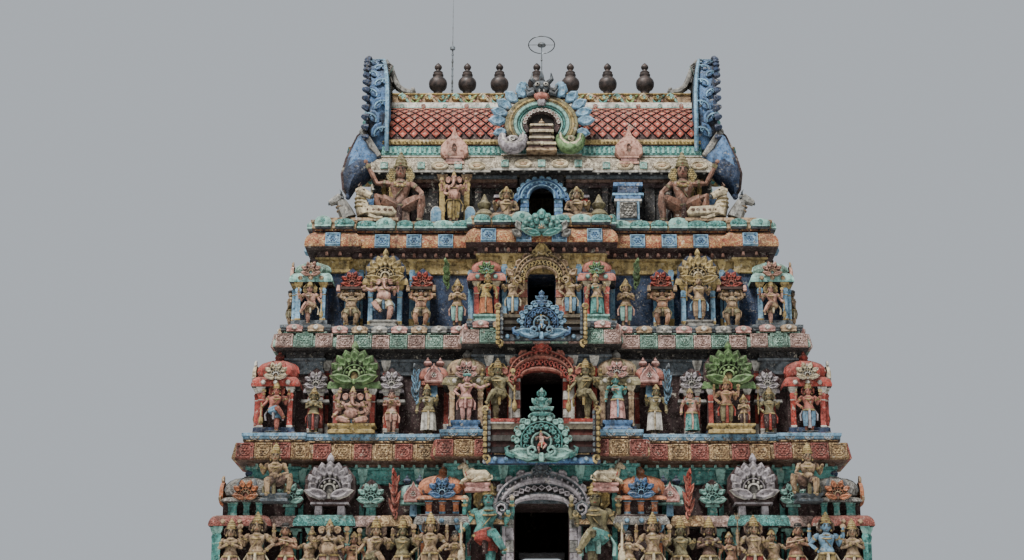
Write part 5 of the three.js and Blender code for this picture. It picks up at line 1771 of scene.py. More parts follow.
def side_figures(s, parts):
    """The figures of a short side: one on the middle pedestal and one under each small gable."""
    foot = s["floor"]
    height = {"storey_1": 2.1, "storey_2": 1.6, "storey_3": 1.5}[s["name"]]
    statue(parts, 1, "god", 0, -1.05, foot, height * 1.05, "tan", "red", "cream", halo="gold")
    niche = (s["half_depth"] + 0.15 * s["big_width"]) / 2
    for side in SIDES:
        kind = "goddess" if side < 0 else "praying"
        statue(parts, side, kind, niche, -0.85, foot, height * 0.95, "olive", "rose", "tan", halo="olive")
        statue(parts, side, "dancer", niche * 0.55, -0.85, foot, height * 0.82, "skin", "cream", "gold")
        statue(parts, side, "pointer", s["half_depth"] + 0.35, -1.3, foot, height, "tan", "olive", "cream")


def door_dress_1(s, parts):
    door_frame(s, parts, "grey", "lilac", "slate")
    arch = torana((0.95, 0.22), (1.72, 1.3), "slate", "lilac", "soot", "diamonds", 10)
    parts.append(arch.at(0, -s["porch_out"] - 0.16, 12.5))
    low_eaves(parts)
    heart = heart_shrine("mint", "pink", "navy")
    for side in SIDES:
        place(parts, side_crest(1.85, "red", "salmon"), side, 5.42, -0.5, 12.2)
        place(parts, heart, side, 4.75, -0.42, 12.2)


def door_dress_2(s, parts):
    door_frame(s, parts, "red", "white", "red")
    arch = torana((0.72, 0.2), (1.26, 1.02), "red", "salmon", "maroon", "beads", 8)
    parts.append(arch.at(0, -s["porch_out"] - 0.18, 17.62))
    bar = crossbar("grey")
    heart = heart_shrine("salmon", "pink", "pink")
    for side in SIDES:
        place(parts, side_crest(1.5, "slate", "sky"), side, 4.78, -0.45, 16.75)
        place(parts, heart, side, 4.12, -0.32, 16.95)
        for at in s["small"]:
            place(parts, bar, side, at, -0.1, 16.72)


def door_dress_3(s, parts):
    door_frame(s, parts, "tan", "salmon", "gold")
    arch = torana((0.55, 0.36), (1.05, 1.0), "gold", "tan", "brown", "beads", 8)
    parts += [
        arch.at(0, -s["porch_out"] - 0.18, 21.8),
        lobed_crest(1.95, 1.15, "teal", "mint", "slate").at(0, -s["porch_out"] - 0.62, 23.72),
    ]
    bar = crossbar("tan")
    for side in SIDES:
        place(parts, side_crest(1.15, "green", "green"), side, 3.72, -0.45, 21.55)
        for at in s["small"]:
            place(parts, bar, side, at, -0.1, 21.2)




# Granite gateway storey

BASE_PLAN = make_plan(
    12.1, 7.7, [(2.499, 4.6, 0.3), (7.6, 9.6, 0.3), (11.2, 99, 0.3)], [(0, 1.6, 0.3), (6.8, 99, 0.3)], 0.3,
)
PASSAGE_HALF = 2.5
GATE_HALF = 2.1
JAMB_END = 2.49
GATE_TOP = 6.8
GATE_PLANE = -8.05
WALL_FOOT, WALL_HEAD = 1.9, 6.9
# The right-hand half of the plan: everything beside the passage
FLANK = [(x, y) for x, y in BASE_PLAN if x > 2.4 and not (x < 2.55 and abs(y) < 7.9)]


def both_flanks(parts):
    """Keeps the right-hand flank out of the passage and adds its mirror image."""
    shape = joined(parts)
    shape.points[:, 0] = np.maximum(shape.points[:, 0], PASSAGE_HALF)
    return joined([shape, shape.scaled(-1, 1, 1)])


def beside_passage(x):
    return x > PASSAGE_HALF + 0.1


def plinth_mouldings():
    """Foot block, lotus slope, rounded torus, recess with carved blocks and the upper lotus ledge."""
    profile = [
        (-0.5, 0.0), (0.55, 0.0), (0.55, 0.42), (0.52, 0.46), (0.4, 0.62), (0.35, 0.64), (0.35, 0.7),
        (0.4, 0.74), (0.43, 0.82),
        (0.43, 0.9), (0.4, 0.98), (0.33, 1.03), (0.22, 1.06), (0.2, 1.1), (0.2, 1.3), (0.31, 1.32),
        (0.33, 1.36),
        (0.43, 1.48), (0.45, 1.5), (0.45, 1.66), (0.42, 1.7), (0.3, 1.72), (0.28, 1.82), (0.15, 1.89),
    ]
    sole = box(PASSAGE_HALF, 11.9, -7.5, 7.5, 0.002, 0.05, "granite")
    parts = [course(FLANK, profile, "granite"), sole]
    petal = leaf(0.18, 0.27, 0.05, "granite", "carved_granite").turned(-0.6, "x")
    block = joined(
        [
            box(-0.13, 0.13, -0.1, 0.0, 0.0, 0.2, "granite", 0.02),
            bead(0.07, "carved_granite").at(0, -0.1, 0.1),
        ]
    )
    for out, z, spacing, piece in (
        (0.46, 0.45, 0.32, petal), (0.36, 1.34, 0.32, petal), (0.22, 1.09, 0.62, block),
    ):
        parts += along_course(FLANK, out, spacing, z, [piece], 0.06, beside_passage)
    add_piece("plinth_mouldings", both_flanks(parts), ["plinth_left", "plinth_right"])


def stone_courses(corners, low, high, rows):
    """Bevelled blocks in bonded courses on every face of a plan."""
    chance = random.Random(4)
    height = (high - low) / rows
    parts = []
    for i, (x0, y0) in enumerate(corners):
        x1, y1 = corners[(i + 1) % len(corners)]
        length, angle = math.hypot(x1 - x0, y1 - y0), math.atan2(y1 - y0, x1 - x0)
        count = max(1, round(length / 1.15))
        for row in range(rows):
            odd = row % 2
            joints = [0.0] + [(k + 0.5 * odd) / count for k in range(1 - odd, count)] + [1.0]
            for a, b in zip(joints, joints[1:]):
                w = ((b - a) * length - 0.014) / 2
                outline = [(-w, 0.007), (w, 0.007), (w, height - 0.007), (-w, height - 0.007)]
                proud = chance.uniform(0.02, 0.045)
                block = relief(outline, [(1.0, 0.0), (0.97, proud)], "granite", (0, height / 2)).turned(angle)
                middle = (a + b) / 2
                parts.append(block.at(x0 + (x1 - x0) * middle, y0 + (y1 - y0) * middle, low + height * row))
    return parts


def niche(width, height):
    """A framed wall niche with its ledge, small pillars, eave and horseshoe gable."""
    half = width / 2
    pillar = pilaster(0.56 * height, 0.14, 0.12, "granite", "granite", "granite")
    parts = [
        box(-half - 0.1, half + 0.1, -0.26, 0.0, 0.0, 0.12, "granite", 0.02),
        box(-half - 0.04, half + 0.04, -0.2, 0.0, 0.12, 0.2, "carved_granite", 0.02),
        # A soot panel at the back of the niche: painted shade of its recess
        box(-half + 0.1, half - 0.1, -0.04, 0.0, 0.2, 0.2 + 0.54 * height, "soot"),
        eave_slab(-half - 0.02, half + 0.02, -0.16, 0.0, 0.2 + 0.56 * height, 0.22, 0.12, "granite"),
        box(
            -half + 0.06, half - 0.06, -0.12, 0.0, 0.42 + 0.56 * height, 0.54 + 0.56 * height,
            "carved_granite", 0.02,
        ),
        lathe(
            [(0.3, 0.0), (0.34, 0.06), (0.24, 0.12), (0.3, 0.2), (0.2, 0.24)], "granite", 12,
        ).scaled(1, 0.4, 1).at(0, -0.05, 0.2),
    ]
    for side in SIDES:
        parts.append(pillar.at(side * (half - 0.06), -0.02, 0.2))
    # The soot middle of the granite gable is painted shade of its hollow
    gable = small_gable("granite", "carved_granite", "soot")
    parts.append(gable.scaled(0.42 * width).at(0, -0.12, 0.2 + 0.74 * height))
    return joined(parts)


def wall_dress():
    """The granite wall: bonded blocks, tall pilasters, niches in the wide bays and a lotus band on top."""
    parts = stone_courses(FLANK, WALL_FOOT, WALL_HEAD, 9)
    band = [
        (0.05, 6.9), (0.05, 6.96), (0.15, 7.12), (0.17, 7.15), (0.17, 7.26), (0.13, 7.28), (0.13, 7.4),
        (0.15, 7.42), (0.15, 7.49),
    ]
    parts.append(course(FLANK, band, "granite", cap=False))
    tall = pilaster(WALL_HEAD - WALL_FOOT, 0.4, 0.2, "granite", "granite", "granite")
    petal = leaf(0.2, 0.27, 0.05, "granite", "carved_granite").turned(-0.5, "x")
    parts += along_course(FLANK, 0.1, 0.32, 6.98, [petal], 0.05, beside_passage)
    for i, (x0, y0) in enumerate(FLANK):
        x1, y1 = FLANK[(i + 1) % len(FLANK)]
        length, angle = math.hypot(x1 - x0, y1 - y0), math.atan2(y1 - y0, x1 - x0)
        if length < 1.0:
            continue
        inside = length > 12
        count = 7 if inside else 2 * max(1, round(length / 2.6))
        margin = 1.4 if inside else 0.28
        for at in np.linspace(margin, length - margin, count):
            piece = tall.turned(angle)
            parts.append(piece.at(x0 + (x1 - x0) * at / length, y0 + (y1 - y0) * at / length, WALL_FOOT))
        if length > 1.8 and not inside:
            wide = 1.0 if length < 2.5 else 1.4
            piece = niche(wide, 3.1 if wide > 1 else 2.7).turned(angle)
            parts.append(piece.at((x0 + x1) / 2, (y0 + y1) / 2, WALL_FOOT + 0.35))
    shape = joined(parts)
    add_piece("base_wall_masonry", joined([shape, shape.scaled(-1, 1, 1)]))


def base_crown():
    """The beam's row of lotus buds, the heavy eave with small gables, and the ledge of carved blocks."""
    profile = [
        (0.15, 8.0), (0.15, 8.24), (0.64, 8.3), (0.65, 8.36), (0.63, 8.5), (0.57, 8.62), (0.45, 8.74),
        (0.28, 8.84),
        (0.16, 8.9), (0.16, 8.94), (0.4, 8.96), (0.4, 9.08), (0.35, 9.1), (0.35, 9.38), (0.4, 9.4),
        (0.4, 9.49),
    ]
    parts = [course(BASE_PLAN, profile, ["granite"] * 4 + ["carved_granite"] * 4 + ["granite"] * 7)]
    bud = ball(0, 0, 0, 0.1, 0.1, 0.13, "granite", 7, 4)
    # The soot middle of each granite gable is painted shade of its hollow
    gable = small_gable("granite", "carved_granite", "soot").scaled(0.3)
    rosette = joined(
        [
            box(-0.2, 0.2, -0.05, 0, -0.12, 0.12, "carved_granite", 0.02),
            flower(0.1, "granite", "grey", 6).at(0, -0.06, 0),
        ]
    )
    knob = joined(
        [
            box(-0.14, 0.14, -0.06, 0, -0.12, 0.12, "granite", 0.03),
            ball(0, -0.08, 0, 0.09, 0.08, 0.09, "granite"),
        ]
    )
    parts += along_course(BASE_PLAN, 0.1, 0.36, 7.76, [bud], 0.1)
    parts += along_course(BASE_PLAN, 0.53, 1.5, 8.46, [gable], 0.2)
    parts += along_course(BASE_PLAN, 0.35, 0.72, 9.24, [rosette, knob], 0.12)
    add_piece("base_cornice_carving", joined(parts), ["base_cornice"])


def gate_dress():
    """Bands, rosettes and scrolls on the jambs and lintel of a gate frame."""
    plane = GATE_PLANE
    parts = []
    for side in SIDES:
        for at, wide, out in ((2.14, 0.05, 0.05), (2.3, 0.06, 0.03), (2.46, 0.035, 0.05)):
            place(
                parts,
                box(at - wide / 2, at + wide / 2, plane - out, plane, 0.9, GATE_TOP + 0.15, "granite", 0.01),
                side,
            )
        place(parts, box(GATE_HALF, JAMB_END, plane - 0.08, plane, 0.0, 0.7, "carved_granite", 0.02), side)
        place(parts, box(GATE_HALF, JAMB_END, plane - 0.1, plane, 0.7, 0.82, "granite", 0.02), side)
        for k in range(15):
            place(parts, flower(0.07, "granite", "grey", 6), side, 2.225, plane - 0.02, 1.15 + 0.385 * k)
            place(parts, bead(0.03, "granite"), side, 2.385, plane - 0.01, 1.0 + 0.385 * k)
    for z, high, out in ((6.84, 0.06, 0.05), (7.02, 0.05, 0.03), (7.36, 0.08, 0.06)):
        parts.append(box(-JAMB_END, JAMB_END, plane - out, plane, z, z + high, "granite", 0.01))
    for k in range(13):
        x = -2.2 + 4.4 * k / 12
        if k != 6:
            parts.append(flower(0.1, "granite", "grey", 8).at(x, plane - 0.02, 7.2))
    parts += [
        panel(0.5, 0.5, "carved_granite", "granite").at(0, plane - 0.03, 7.2),
        flower(0.17, "granite", "grey", 10).at(0, plane - 0.09, 7.2),
    ]
    return shaded_and_sooted(joined(parts), 0.2)


def add_base():
    plinth_mouldings()
    wall_dress()
    base_crown()
    gate = gate_dress()
    add_piece("gate_front_carving", gate)
    add_piece("gate_back_carving", gate.turned(math.pi))


# Neck storey and roof

NECK_FLOOR, NECK_TOP = (corner[2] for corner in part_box("neck_front_wall"))
NECK_HALF_WIDTH = 6.3
NECK_HALF_DEPTH = 3.45
ROOF_EAVE, VAULT_FOOT = (corner[2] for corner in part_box("roof_eave"))
ROOF_EAVE_TOP = 27.56
VAULT_HALF_DEPTH = 3.45
VAULT_RISE = 2.35
VAULT_HALF_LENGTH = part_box("vault_roof")[1][0]
RIDGE_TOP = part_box("roof_ridge")[1][2]
GABLE_CENTRE = 29.3
GABLE_TOP = 33.15
GABLE_HALF_WIDTH = 3.95
DORMER_FRONT = -4.28
DORMER_CENTRE = 28.85


def both_faces(parts):
    """Repeats what faces -Y on the back."""
    return joined([*parts, *[shape.turned(math.pi) for shape in parts]])


def add_roof_eave():
    corners = make_plan(VAULT_HALF_LENGTH, VAULT_HALF_DEPTH, [(0, 1.5, 0.25)], [(0, 1.2, 0.1)], 0.0)
    rolled = [
        (0.02, -0.02), (0.5, -0.01), (0.575, 0.02), (0.595, 0.1), (0.585, 0.3), (0.52, 0.45), (0.4, 0.62),
    ]
    fillets = [
        (0.24, 0.0), (0.1, 0.035), (0.1, 0.07), (0.16, 0.08), (0.16, 0.12), (0.1, 0.13), (0.1, 0.17),
        (0.13, 0.18),
    ]
    foot = [
        (0.13, -0.32), (0.07, -0.3), (0.07, -0.24), (0.15, -0.22), (0.17, -0.12), (0.12, -0.02), (0.03, 0.02),
    ]
    stages = ((ROOF_EAVE, rolled), (ROOF_EAVE_TOP, fillets), (VAULT_FOOT, foot))
    profile = [(out, low + z) for low, steps in stages for out, z in steps]
    # The two soot bands under the rolled eave are painted shade
    paints = bands("soot*2 white carved_cream*5 cream*2 white*2 mint*2 carved_teal navy*2 gold*4")
    tilt = -math.radians(12)
    oval = joined([
        relief(arc(0.36, 0.2, 0, 340, 16), [(1.0, -0.05), (0.97, 0.05), (0.8, 0.08), (0.6, 0.03)], "cream"),
        relief(arc(0.2, 0.1, 0, 324, 10), [(1.0, 0.0), (0.7, 0.06)], "tan"),
    ]).turned(tilt, "x")
    tile = panel(0.3, 0.3, "mint", "white").turned(tilt, "x")
    rib = box(-0.05, 0.05, -0.03, 0.03, -0.12, 0.12, "mint", 0.01)
    parts = [course(corners, profile, paints, cap=False)]
    for out, spacing, z, pieces, margin in (
        (0.57, 0.72, ROOF_EAVE + 0.3, [tile, oval], 0.2),
        (0.17, 0.16, VAULT_FOOT - 0.13, [bead(0.055, "gold")], 0.02),
        (0.13, 0.2, ROOF_EAVE_TOP + 0.36, [rib], 0.05), (0.5, 0.45, ROOF_EAVE, [bead(0.07, "grey")], 0.1),
    ):
        parts += along_course(corners, out, spacing, z, pieces, margin)
    add_piece("roof_eave_mouldings", joined(parts))


def vault_point(angle, out=0.0):
    """A point of the vault's front curve, by its angle from the foot."""
    return (-(VAULT_HALF_DEPTH + out) * math.cos(angle), VAULT_FOOT + (VAULT_RISE + out) * math.sin(angle))


def lattice_tile(x, angle, width, half_height):
    """A raised diamond tile on a dark joint, with a pink middle as a painted highlight."""
    levels = ((0.84, 0.0), (0.76, 0.05), (0.5, 0.06), (0.4, 0.035), (0.14, 0.05))
    corners = ((0.5, 0), (0, 1), (-0.5, 0), (0, -1))
    rings = [
        [(x + dx * width * size, *vault_point(angle + da * half_height * size, out)) for dx, da in corners]
        for size, out in levels
    ]
    skin = loft(rings, ["soot", "red", "orange", "salmon"], start=False, end=False)
    # The pink cap at the tile's middle is a painted highlight
    return Shape(skin.points, [*skin.faces, (16, 17, 18, 19)], [*skin.paints, PAINT_INDEX["pink"]])


def add_lattice():
    """Raised diamond tiles over the curved front and back of the vault."""
    width, rows, reach = 0.46, 11, math.radians(66)
    tiles = []
    for row in range(1, rows):
        for column in range(int(2 * VAULT_HALF_LENGTH / width)):
            x = -VAULT_HALF_LENGTH + width * (column + (0.5 if row % 2 else 1.0))
            if abs(x) <= VAULT_HALF_LENGTH - 0.2:
                tiles.append(lattice_tile(x, reach * row / rows + 0.02, width, reach / rows))
    add_piece("lattice_tiles", both_faces(tiles))


def scroll_wave(length, height, pitch):
    """A running band of curled leaves along X, centred."""
    parts = []
    for k in range(int(length / pitch)):
        x = -length / 2 + pitch * (k + 0.5)
        flip = 1 if k % 2 else -1
        curl = [
            (x + pitch * (0.5 - 0.11 * j), -0.03, height * flip * (0.36 * math.cos(0.62 * j) - 0.02 * j))
            for j in range(9)
        ]
        paint = ("mint", "lime", "cream", "teal")[k % 4]
        parts.append(tube(curl, [0.03, 0.05, 0.065, 0.07, 0.07, 0.065, 0.055, 0.04, 0.02], paint))
        for lean, size, colour in ((0.9, 0.3, "gold"), (-0.9, 0.26, "gold"), (0.0, 0.24, "mint")):
            parts.append(leaf(size, 0.16, 0.08, colour).turned(lean * flip, "y").at(x, -0.02, -0.14 * height))
        parts.append(ball(x + 0.3 * pitch, -0.05, -0.2 * height * flip, 0.06, 0.04, 0.06, "pink", 6, 3))
    return joined(parts)


def add_ridge():
    half = VAULT_HALF_LENGTH - 0.01
    profile = [
        (-1.17, 30.49), (-1.2, 30.6), (-1.17, 30.78), (-1.12, 30.98), (-1.05, 31.03), (-0.7, 31.1),
        (-0.66, 31.11),
        (-0.66, RIDGE_TOP - 0.08), (-0.74, RIDGE_TOP - 0.06), (-0.74, RIDGE_TOP - 0.01),
        (-0.5, RIDGE_TOP + 0.015),
        (0.0, RIDGE_TOP + 0.02),
    ]
    paints = [PAINT_INDEX[name] for name in bands("teal mint white*2 tan*3 gold*2 grey*2")]
    count = len(profile)
    faces = [(i, count + i, count + i + 1, i + 1) for i in range(count - 1)]
    strip = Shape([(x, y, z) for x in (-half, half) for y, z in profile], faces, paints)
    parts = [strip, scroll_wave(2 * half - 0.3, 0.46, 0.58).at(0, -0.68, 31.34)]
    for k, x in enumerate(np.linspace(0.45 - half, half - 0.45, 14)):
        parts.append(flower(0.1, "salmon" if k % 2 else "mint", "white", 5).at(x, -1.19, 30.82))
    add_piece("ridge_mouldings", both_faces(parts))


# One cross-section of the end gable's broad edge, as (x, reach) pairs from outside to inside
GABLE_SECTION = [
    (7.05, -0.9), (7.05, -0.5), (7.28, -0.42), (7.3, -0.2), (7.25, -0.08), (7.1, -0.02), (6.75, -0.02),
    (6.47, -0.08),
    (6.46, 0.0), (6.41, 0.04), (6.33, 0.02), (6.3, -0.05), (6.3, -0.9),
]


def leaned(shape):
    """Leans the crest outwards with height and narrows its edge."""
    twin = shape.copy()
    x, z = twin.points[:, 0], twin.points[:, 2]
    rise = np.clip((z - 29.6) / (GABLE_TOP - 29.6), 0, 1) ** 2
    share = np.clip(x - 6.3, -0.5, 1)
    twin.points[:, 0] = x + rise * (0.5 * (1 - share) + 0.16 * share)
    return twin


def edge_frame(angle, out=0.0):
    """Where the broad edge's middle lies, moved outwards, and its slope, by the angle from its front foot."""
    half, rise = GABLE_HALF_WIDTH - 0.12, GABLE_TOP - GABLE_CENTRE - 0.14
    y, z = -half * math.cos(angle), rise * math.sin(angle)
    share = 1 + out / math.hypot(y, z)
    return y * share, GABLE_CENTRE + z * share, math.atan2(z * (GABLE_HALF_WIDTH / rise) ** 2, -y)


def gable_skin():
    """The broad edge of the gable, as an open strip of cross-sections."""
    angles = np.radians(np.linspace(201, -21, 57))
    rings = [[(x, *edge_frame(angle, out)[:2]) for angle in angles] for x, out in GABLE_SECTION]
    skin = loft(rings, bands("sky*4 navy blue*3 navy*2 blue sky"), start=False, end=False)
    keep = np.abs(skin.faces[:, 0] - skin.faces[:, 1]) == 1
    return Shape(skin.points, skin.faces[keep], skin.paints[keep])


def gable_swirls():
    """The carved swirls and the knobs of the gable's front half."""
    parts = []
    for index, angle in enumerate(np.radians(np.linspace(-10, 88, 12))):
        y, z, slope = edge_frame(angle)
        flip = 1 if index % 2 else -1
        curve = [
            (flip * (0.3 - 0.34 * math.cos(a)), -0.1, 0.3 * math.sin(a) - 0.1)
            for a in np.linspace(-0.3, 2.4, 7)
        ]
        swirl = joined([
            leaf(0.72, 0.44, 0.1, "blue").turned(flip * 0.55, "y").at(-0.12 * flip, -0.02, -0.2),
            # The sky curl and spiral on each blue leaf are painted highlights along the carving's ridges
            tube(curve, [0.03, 0.045, 0.05, 0.05, 0.05, 0.045, 0.03], "sky"),
            spiral(0.1, 0.04, "sky", 1.1, flip).at(0.22 * flip, -0.1, 0.12),
        ])
        parts.append(swirl.turned(-slope, "x").at(6.86, y, z))
    horn = [(0, -0.1, 0), (0.1, -0.14, 0.02), (0.2, -0.12, 0.06), (0.22, -0.06, 0.12)]
    for index, angle in enumerate(np.radians(np.linspace(-14, 90, 17))):
        y, z, slope = edge_frame(angle)
        knob = tube(horn, [0.16, 0.15, 0.1, 0.03], "brown" if index > 13 else "navy", 8)
        parts.append(knob.turned(-slope, "x").at(7.18, y, z))
    return parts


def gable_crest():
    """The right-hand gable crest: a horseshoe with a broad carved edge, knobs, a lion head and scrolls."""
    middles = [edge_frame(a) for a in np.radians(np.linspace(201, -21, 30))]
    plate = slab([(0.8 * y, 0.8 * (z - GABLE_CENTRE)) for y, z, _ in middles], 0.0, -0.62, "teal", 0.02)
    rosette = shaded_and_sooted(nasi(11, "teal", "gold", "maroon"), 0.3).scaled(2.3)
    foot = [
        (6.37, -3.62, 29.75), (6.38, -3.66, 29.25), (6.5, -3.66, 28.85), (6.74, -3.64, 28.66),
        (6.98, -3.6, 28.72),
        (7.08, -3.56, 28.95),
    ]
    front = gable_swirls() + [
        tube(foot, [0.1, 0.13, 0.17, 0.2, 0.2, 0.14], "blue", 10),
        ball(6.86, -3.5, 29.0, 0.32, 0.3, 0.4, "navy", 10, 6), boat_scroll(),
    ]
    tip = [(6.25, -0.2, 32.65), (6.2, -0.22, 32.95), (6.31, -0.24, 33.15), (6.39, -0.24, 33.07)]
    parts = [
        gable_skin(), plate.turned(math.pi / 2).at(6.42, 0, GABLE_CENTRE),
        rosette.turned(math.pi / 2).at(6.9, 0, GABLE_CENTRE - 0.1), *front,
        *[s.scaled(1, -1, 1) for s in front],
        tube(tip, [0.13, 0.11, 0.07, 0.02], "salmon", 8), ridge_lion(),
    ]
    edge = [(6.38, *edge_frame(angle, 0.08)[:2]) for angle in np.radians(np.linspace(-22, 202, 41))]
    return joined([shaded_and_sooted(leaned(joined(parts)), 0.5, 8), leaned(tube(edge, 0.09, "sky", 8))])


def boat_scroll():
    """The big curled scroll at a front foot of the right-hand gable."""
    outline = [
        (6.62, 27.68), (6.72, 27.2), (7.23, 26.6), (7.67, 26.34), (7.92, 25.92), (8.1, 26.25), (8.17, 26.9),
        (8.0, 27.55), (7.75, 28.14), (7.57, 28.56), (7.4, 28.7), (7.2, 28.34), (7.0, 28.0),
    ]
    front, half, shade_line = -4.03, 0.64, 27.3
    cx, cz = np.mean(outline, axis=0)
    swell = ((0.3, 1.0), (0.62, 0.96), (0.84, 0.78), (0.96, 0.45), (1.0, 0.0), (0.96, -0.45), (0.84, -0.78),
             (0.62, -0.96), (0.3, -1.0))
    rings = [
        [(cx + (x - cx) * s, front + half * (1 + d), cz + (z - cz) * s) for x, z in outline] for s, d in swell
    ]
    body = loft(rings, "blue")
    middles = np.array([body.points[face[face >= 0]].mean(axis=0) for face in body.faces])
    # Faces below this height are painted navy: painted shade, darker towards the bottom
    body.paints[middles[:, 2] < shade_line] = PAINT_INDEX["navy"]
    strip = [(x + 0.015, front + 0.5, z) for x, z in outline[4:11]]
    inner = [
        (7.36, front + 0.3, 28.66), (7.17, front + 0.24, 28.32), (6.97, front + 0.22, 27.98),
        (6.68, front + 0.24, 27.6),
    ]
    return joined([
        body, tube(strip, [0.06, 0.09, 0.1, 0.1, 0.09, 0.08, 0.09], "maroon"),
        tube(inner, [0.13, 0.16, 0.17, 0.12], "grey", 10),
        ball(7.38, front + 0.44, 28.72, 0.17, 0.2, 0.18, "grey", 10, 6),
        ball(7.93, front + 0.5, 25.95, 0.13, 0.16, 0.16, "navy"),
    ])


def ridge_lion():
    """The horned head on the inner side of a gable's top, with its tail along the ridge."""
    trunk = [
        (6.5, -0.1, 33.0), (6.3, -0.12, 33.12), (6.12, -0.14, 32.9), (6.08, -0.18, 32.45),
        (5.95, -0.22, 32.05),
        (5.72, -0.26, 31.86), (5.42, -0.3, 31.78), (5.3, -0.3, 31.86), (5.3, -0.3, 32.0),
    ]
    parts = [
        lion_head(0.62, "grey", "soot", "cream").turned(-math.pi / 2).at(6.35, 0, 32.35),
        ball(6.6, 0, 32.4, 0.5, 0.5, 0.6, "grey", 12, 7),
        tube(trunk, [0.26, 0.3, 0.27, 0.24, 0.2, 0.17, 0.14, 0.12, 0.08], "grey", 12),
    ]
    for index in range(5):
        a = 0.5 * index
        feather = leaf(0.5, 0.34, 0.2, "mint", "grey").turned(0.5 - a, "y")
        parts.append(feather.at(6.42 + 0.1 * math.cos(a), -0.5, 32.0 + 0.22 * index))
    return joined(parts)


def dormer_arch(front, centre):
    """The dormer's dark body with its ribbed bands, and a ringed arch of flowers round the opening."""
    outlines = [(x, z * 0.86 + centre) for x, z in horseshoe(1.48, -0.75, 20, -30)]
    opening = [(x * 0.56, z * 0.5 + centre) for x, z in horseshoe(1.0, -0.9, 14, -20)]
    parts = [
        # The opening is filled with a soot slab: painted shade of the dark space behind it
        slab(outlines, -2.4, front + 0.22, "navy", 0.03), slab(opening, front + 0.5, front + 0.2, "soot"),
    ]
    sweep = np.linspace(-0.62, math.pi + 0.62, 23)
    for radius, rise, paint, thick, out in (
        (1.42, 1.1928, "olive", 0.11, 0.1), (1.3, 1.092, "gold", 0.07, 0.04),
        (1.2, 1.008, "olive", 0.07, 0.06),
        (1.08, 0.9072, "mint", 0.1, 0.06), (0.96, 0.8064, "teal", 0.07, 0.1),
        (0.84, 0.7056, "mint", 0.05, 0.12),
        (0.68, 0.6, "maroon", 0.14, 0.16),
    ):
        parts.append(tube(hoop(radius, rise, sweep, (0, front + out, centre)), thick, paint, 8))
    blossom = flower(0.085, "white", "pink", 5)
    return parts + fan(0.7, 0.61, half_turn(13), (0, front + 0.02, centre), lambda a: blossom)


def dormer_side(front, centre, side, paint, rim):
    """One side's feathers, big curl with its ball and spiral, and upper plate."""
    parts = [
        leaf(0.62, 0.42, 0.14, "lilac", "sky").turned(side * 1.75, "y").at(
            side * 1.4, front + 0.16, centre - 0.3,
        )
    ]
    for index, a in enumerate(np.radians((4, 17, 31, 46, 62))):
        feather = leaf(0.8 - 0.02 * index, 0.5, 0.16, "lilac", "sky").turned(side * (math.pi / 2 - a), "y")
        parts.append(feather.at(side * 1.42 * math.cos(a), front + 0.16, centre + 0.05 + 1.22 * math.sin(a)))
    curl = on_side(side, [
        (1.18 - 0.43 * math.cos(a), front - 0.02 - 0.12 * math.sin(a), 28.2 - 0.47 * math.sin(a))
        for a in np.linspace(-0.2, 3.5, 14)
    ])
    plate = [
        (0.2, 0), (0.26, 0.3), (0.24, 0.55), (0.12, 0.72), (-0.08, 0.74), (-0.22, 0.6), (-0.26, 0.3),
        (-0.2, 0),
    ]
    crest = relief(plate, [(1.0, -0.1), (1.0, 0.06), (0.86, 0.12), (0.5, 0.1)], "sky", (0, 0.36))
    ridge = [plus(p, (0, -0.18, 0.1)) for p in curl[::2]]
    wing = on_side(side, [(0.3, front, 30.2), (0.56, front, 30.12), (0.66, front, 30.34)])
    return parts + [
        tube(curl, [0.12 + 0.15 * math.sin(a) for a in np.linspace(0.35, 3.0, 14)], paint, 14),
        ball(side * 1.18, front + 0.02, 28.04, 0.38, 0.2, 0.3, paint, 12, 8),
        crest.at(side * 0.78, front + 0.16, 30.0),
        tube(ridge, [0.04, 0.06, 0.07, 0.07, 0.07, 0.05, 0.03], rim, 6),
        tube(wing, [0.14, 0.11, 0.03], "slate", 8),
        spiral(0.15, 0.06, rim, 1.2, side).at(side * 1.18, front - 0.22, 28.1),
    ]


def dormer_piece():
    """The horseshoe dormer: feathers, bands, a ringed arch, scrolls, a stepped shrine and a lion head."""
    front, centre = DORMER_FRONT, DORMER_CENTRE
    parts = dormer_arch(front, centre)
    parts += dormer_side(
        front, centre, -1, "lilac", "white",
    ) + dormer_side(front, centre, 1, "green", "cream")
    low = 27.6
    for high, half, paint in (
        (27.72, 0.62, "tan"), (27.86, 0.54, "salmon"), (27.98, 0.6, "cream"), (28.14, 0.46, "pink"),
        (28.24, 0.52, "cream"), (28.42, 0.4, "tan"), (28.54, 0.5, "cream"), (28.7, 0.42, "salmon"),
        (28.78, 0.48, "cream"),
    ):
        parts.append(box(-half, half, front - 0.2 + (0.54 - half) * 0.4, front + 0.5, low, high, paint, 0.02))
        low = high
    parts += [
        bead(0.1, "cream").at(0, front - 0.22, 27.9), stupi(0.34, "tan").at(0, front + 0.1, 28.76),
        lion_head(0.78, "slate", "soot", "white").at(0, front + 0.2, 30.45),
        ball(0, front - 0.02, 30.02, 0.36, 0.2, 0.2, "salmon", 10, 6),
        ball(0, front + 0.02, 29.8, 0.24, 0.18, 0.22, "lilac", 9),
    ]
    return shaded_and_sooted(joined(parts), 0.5, 8)


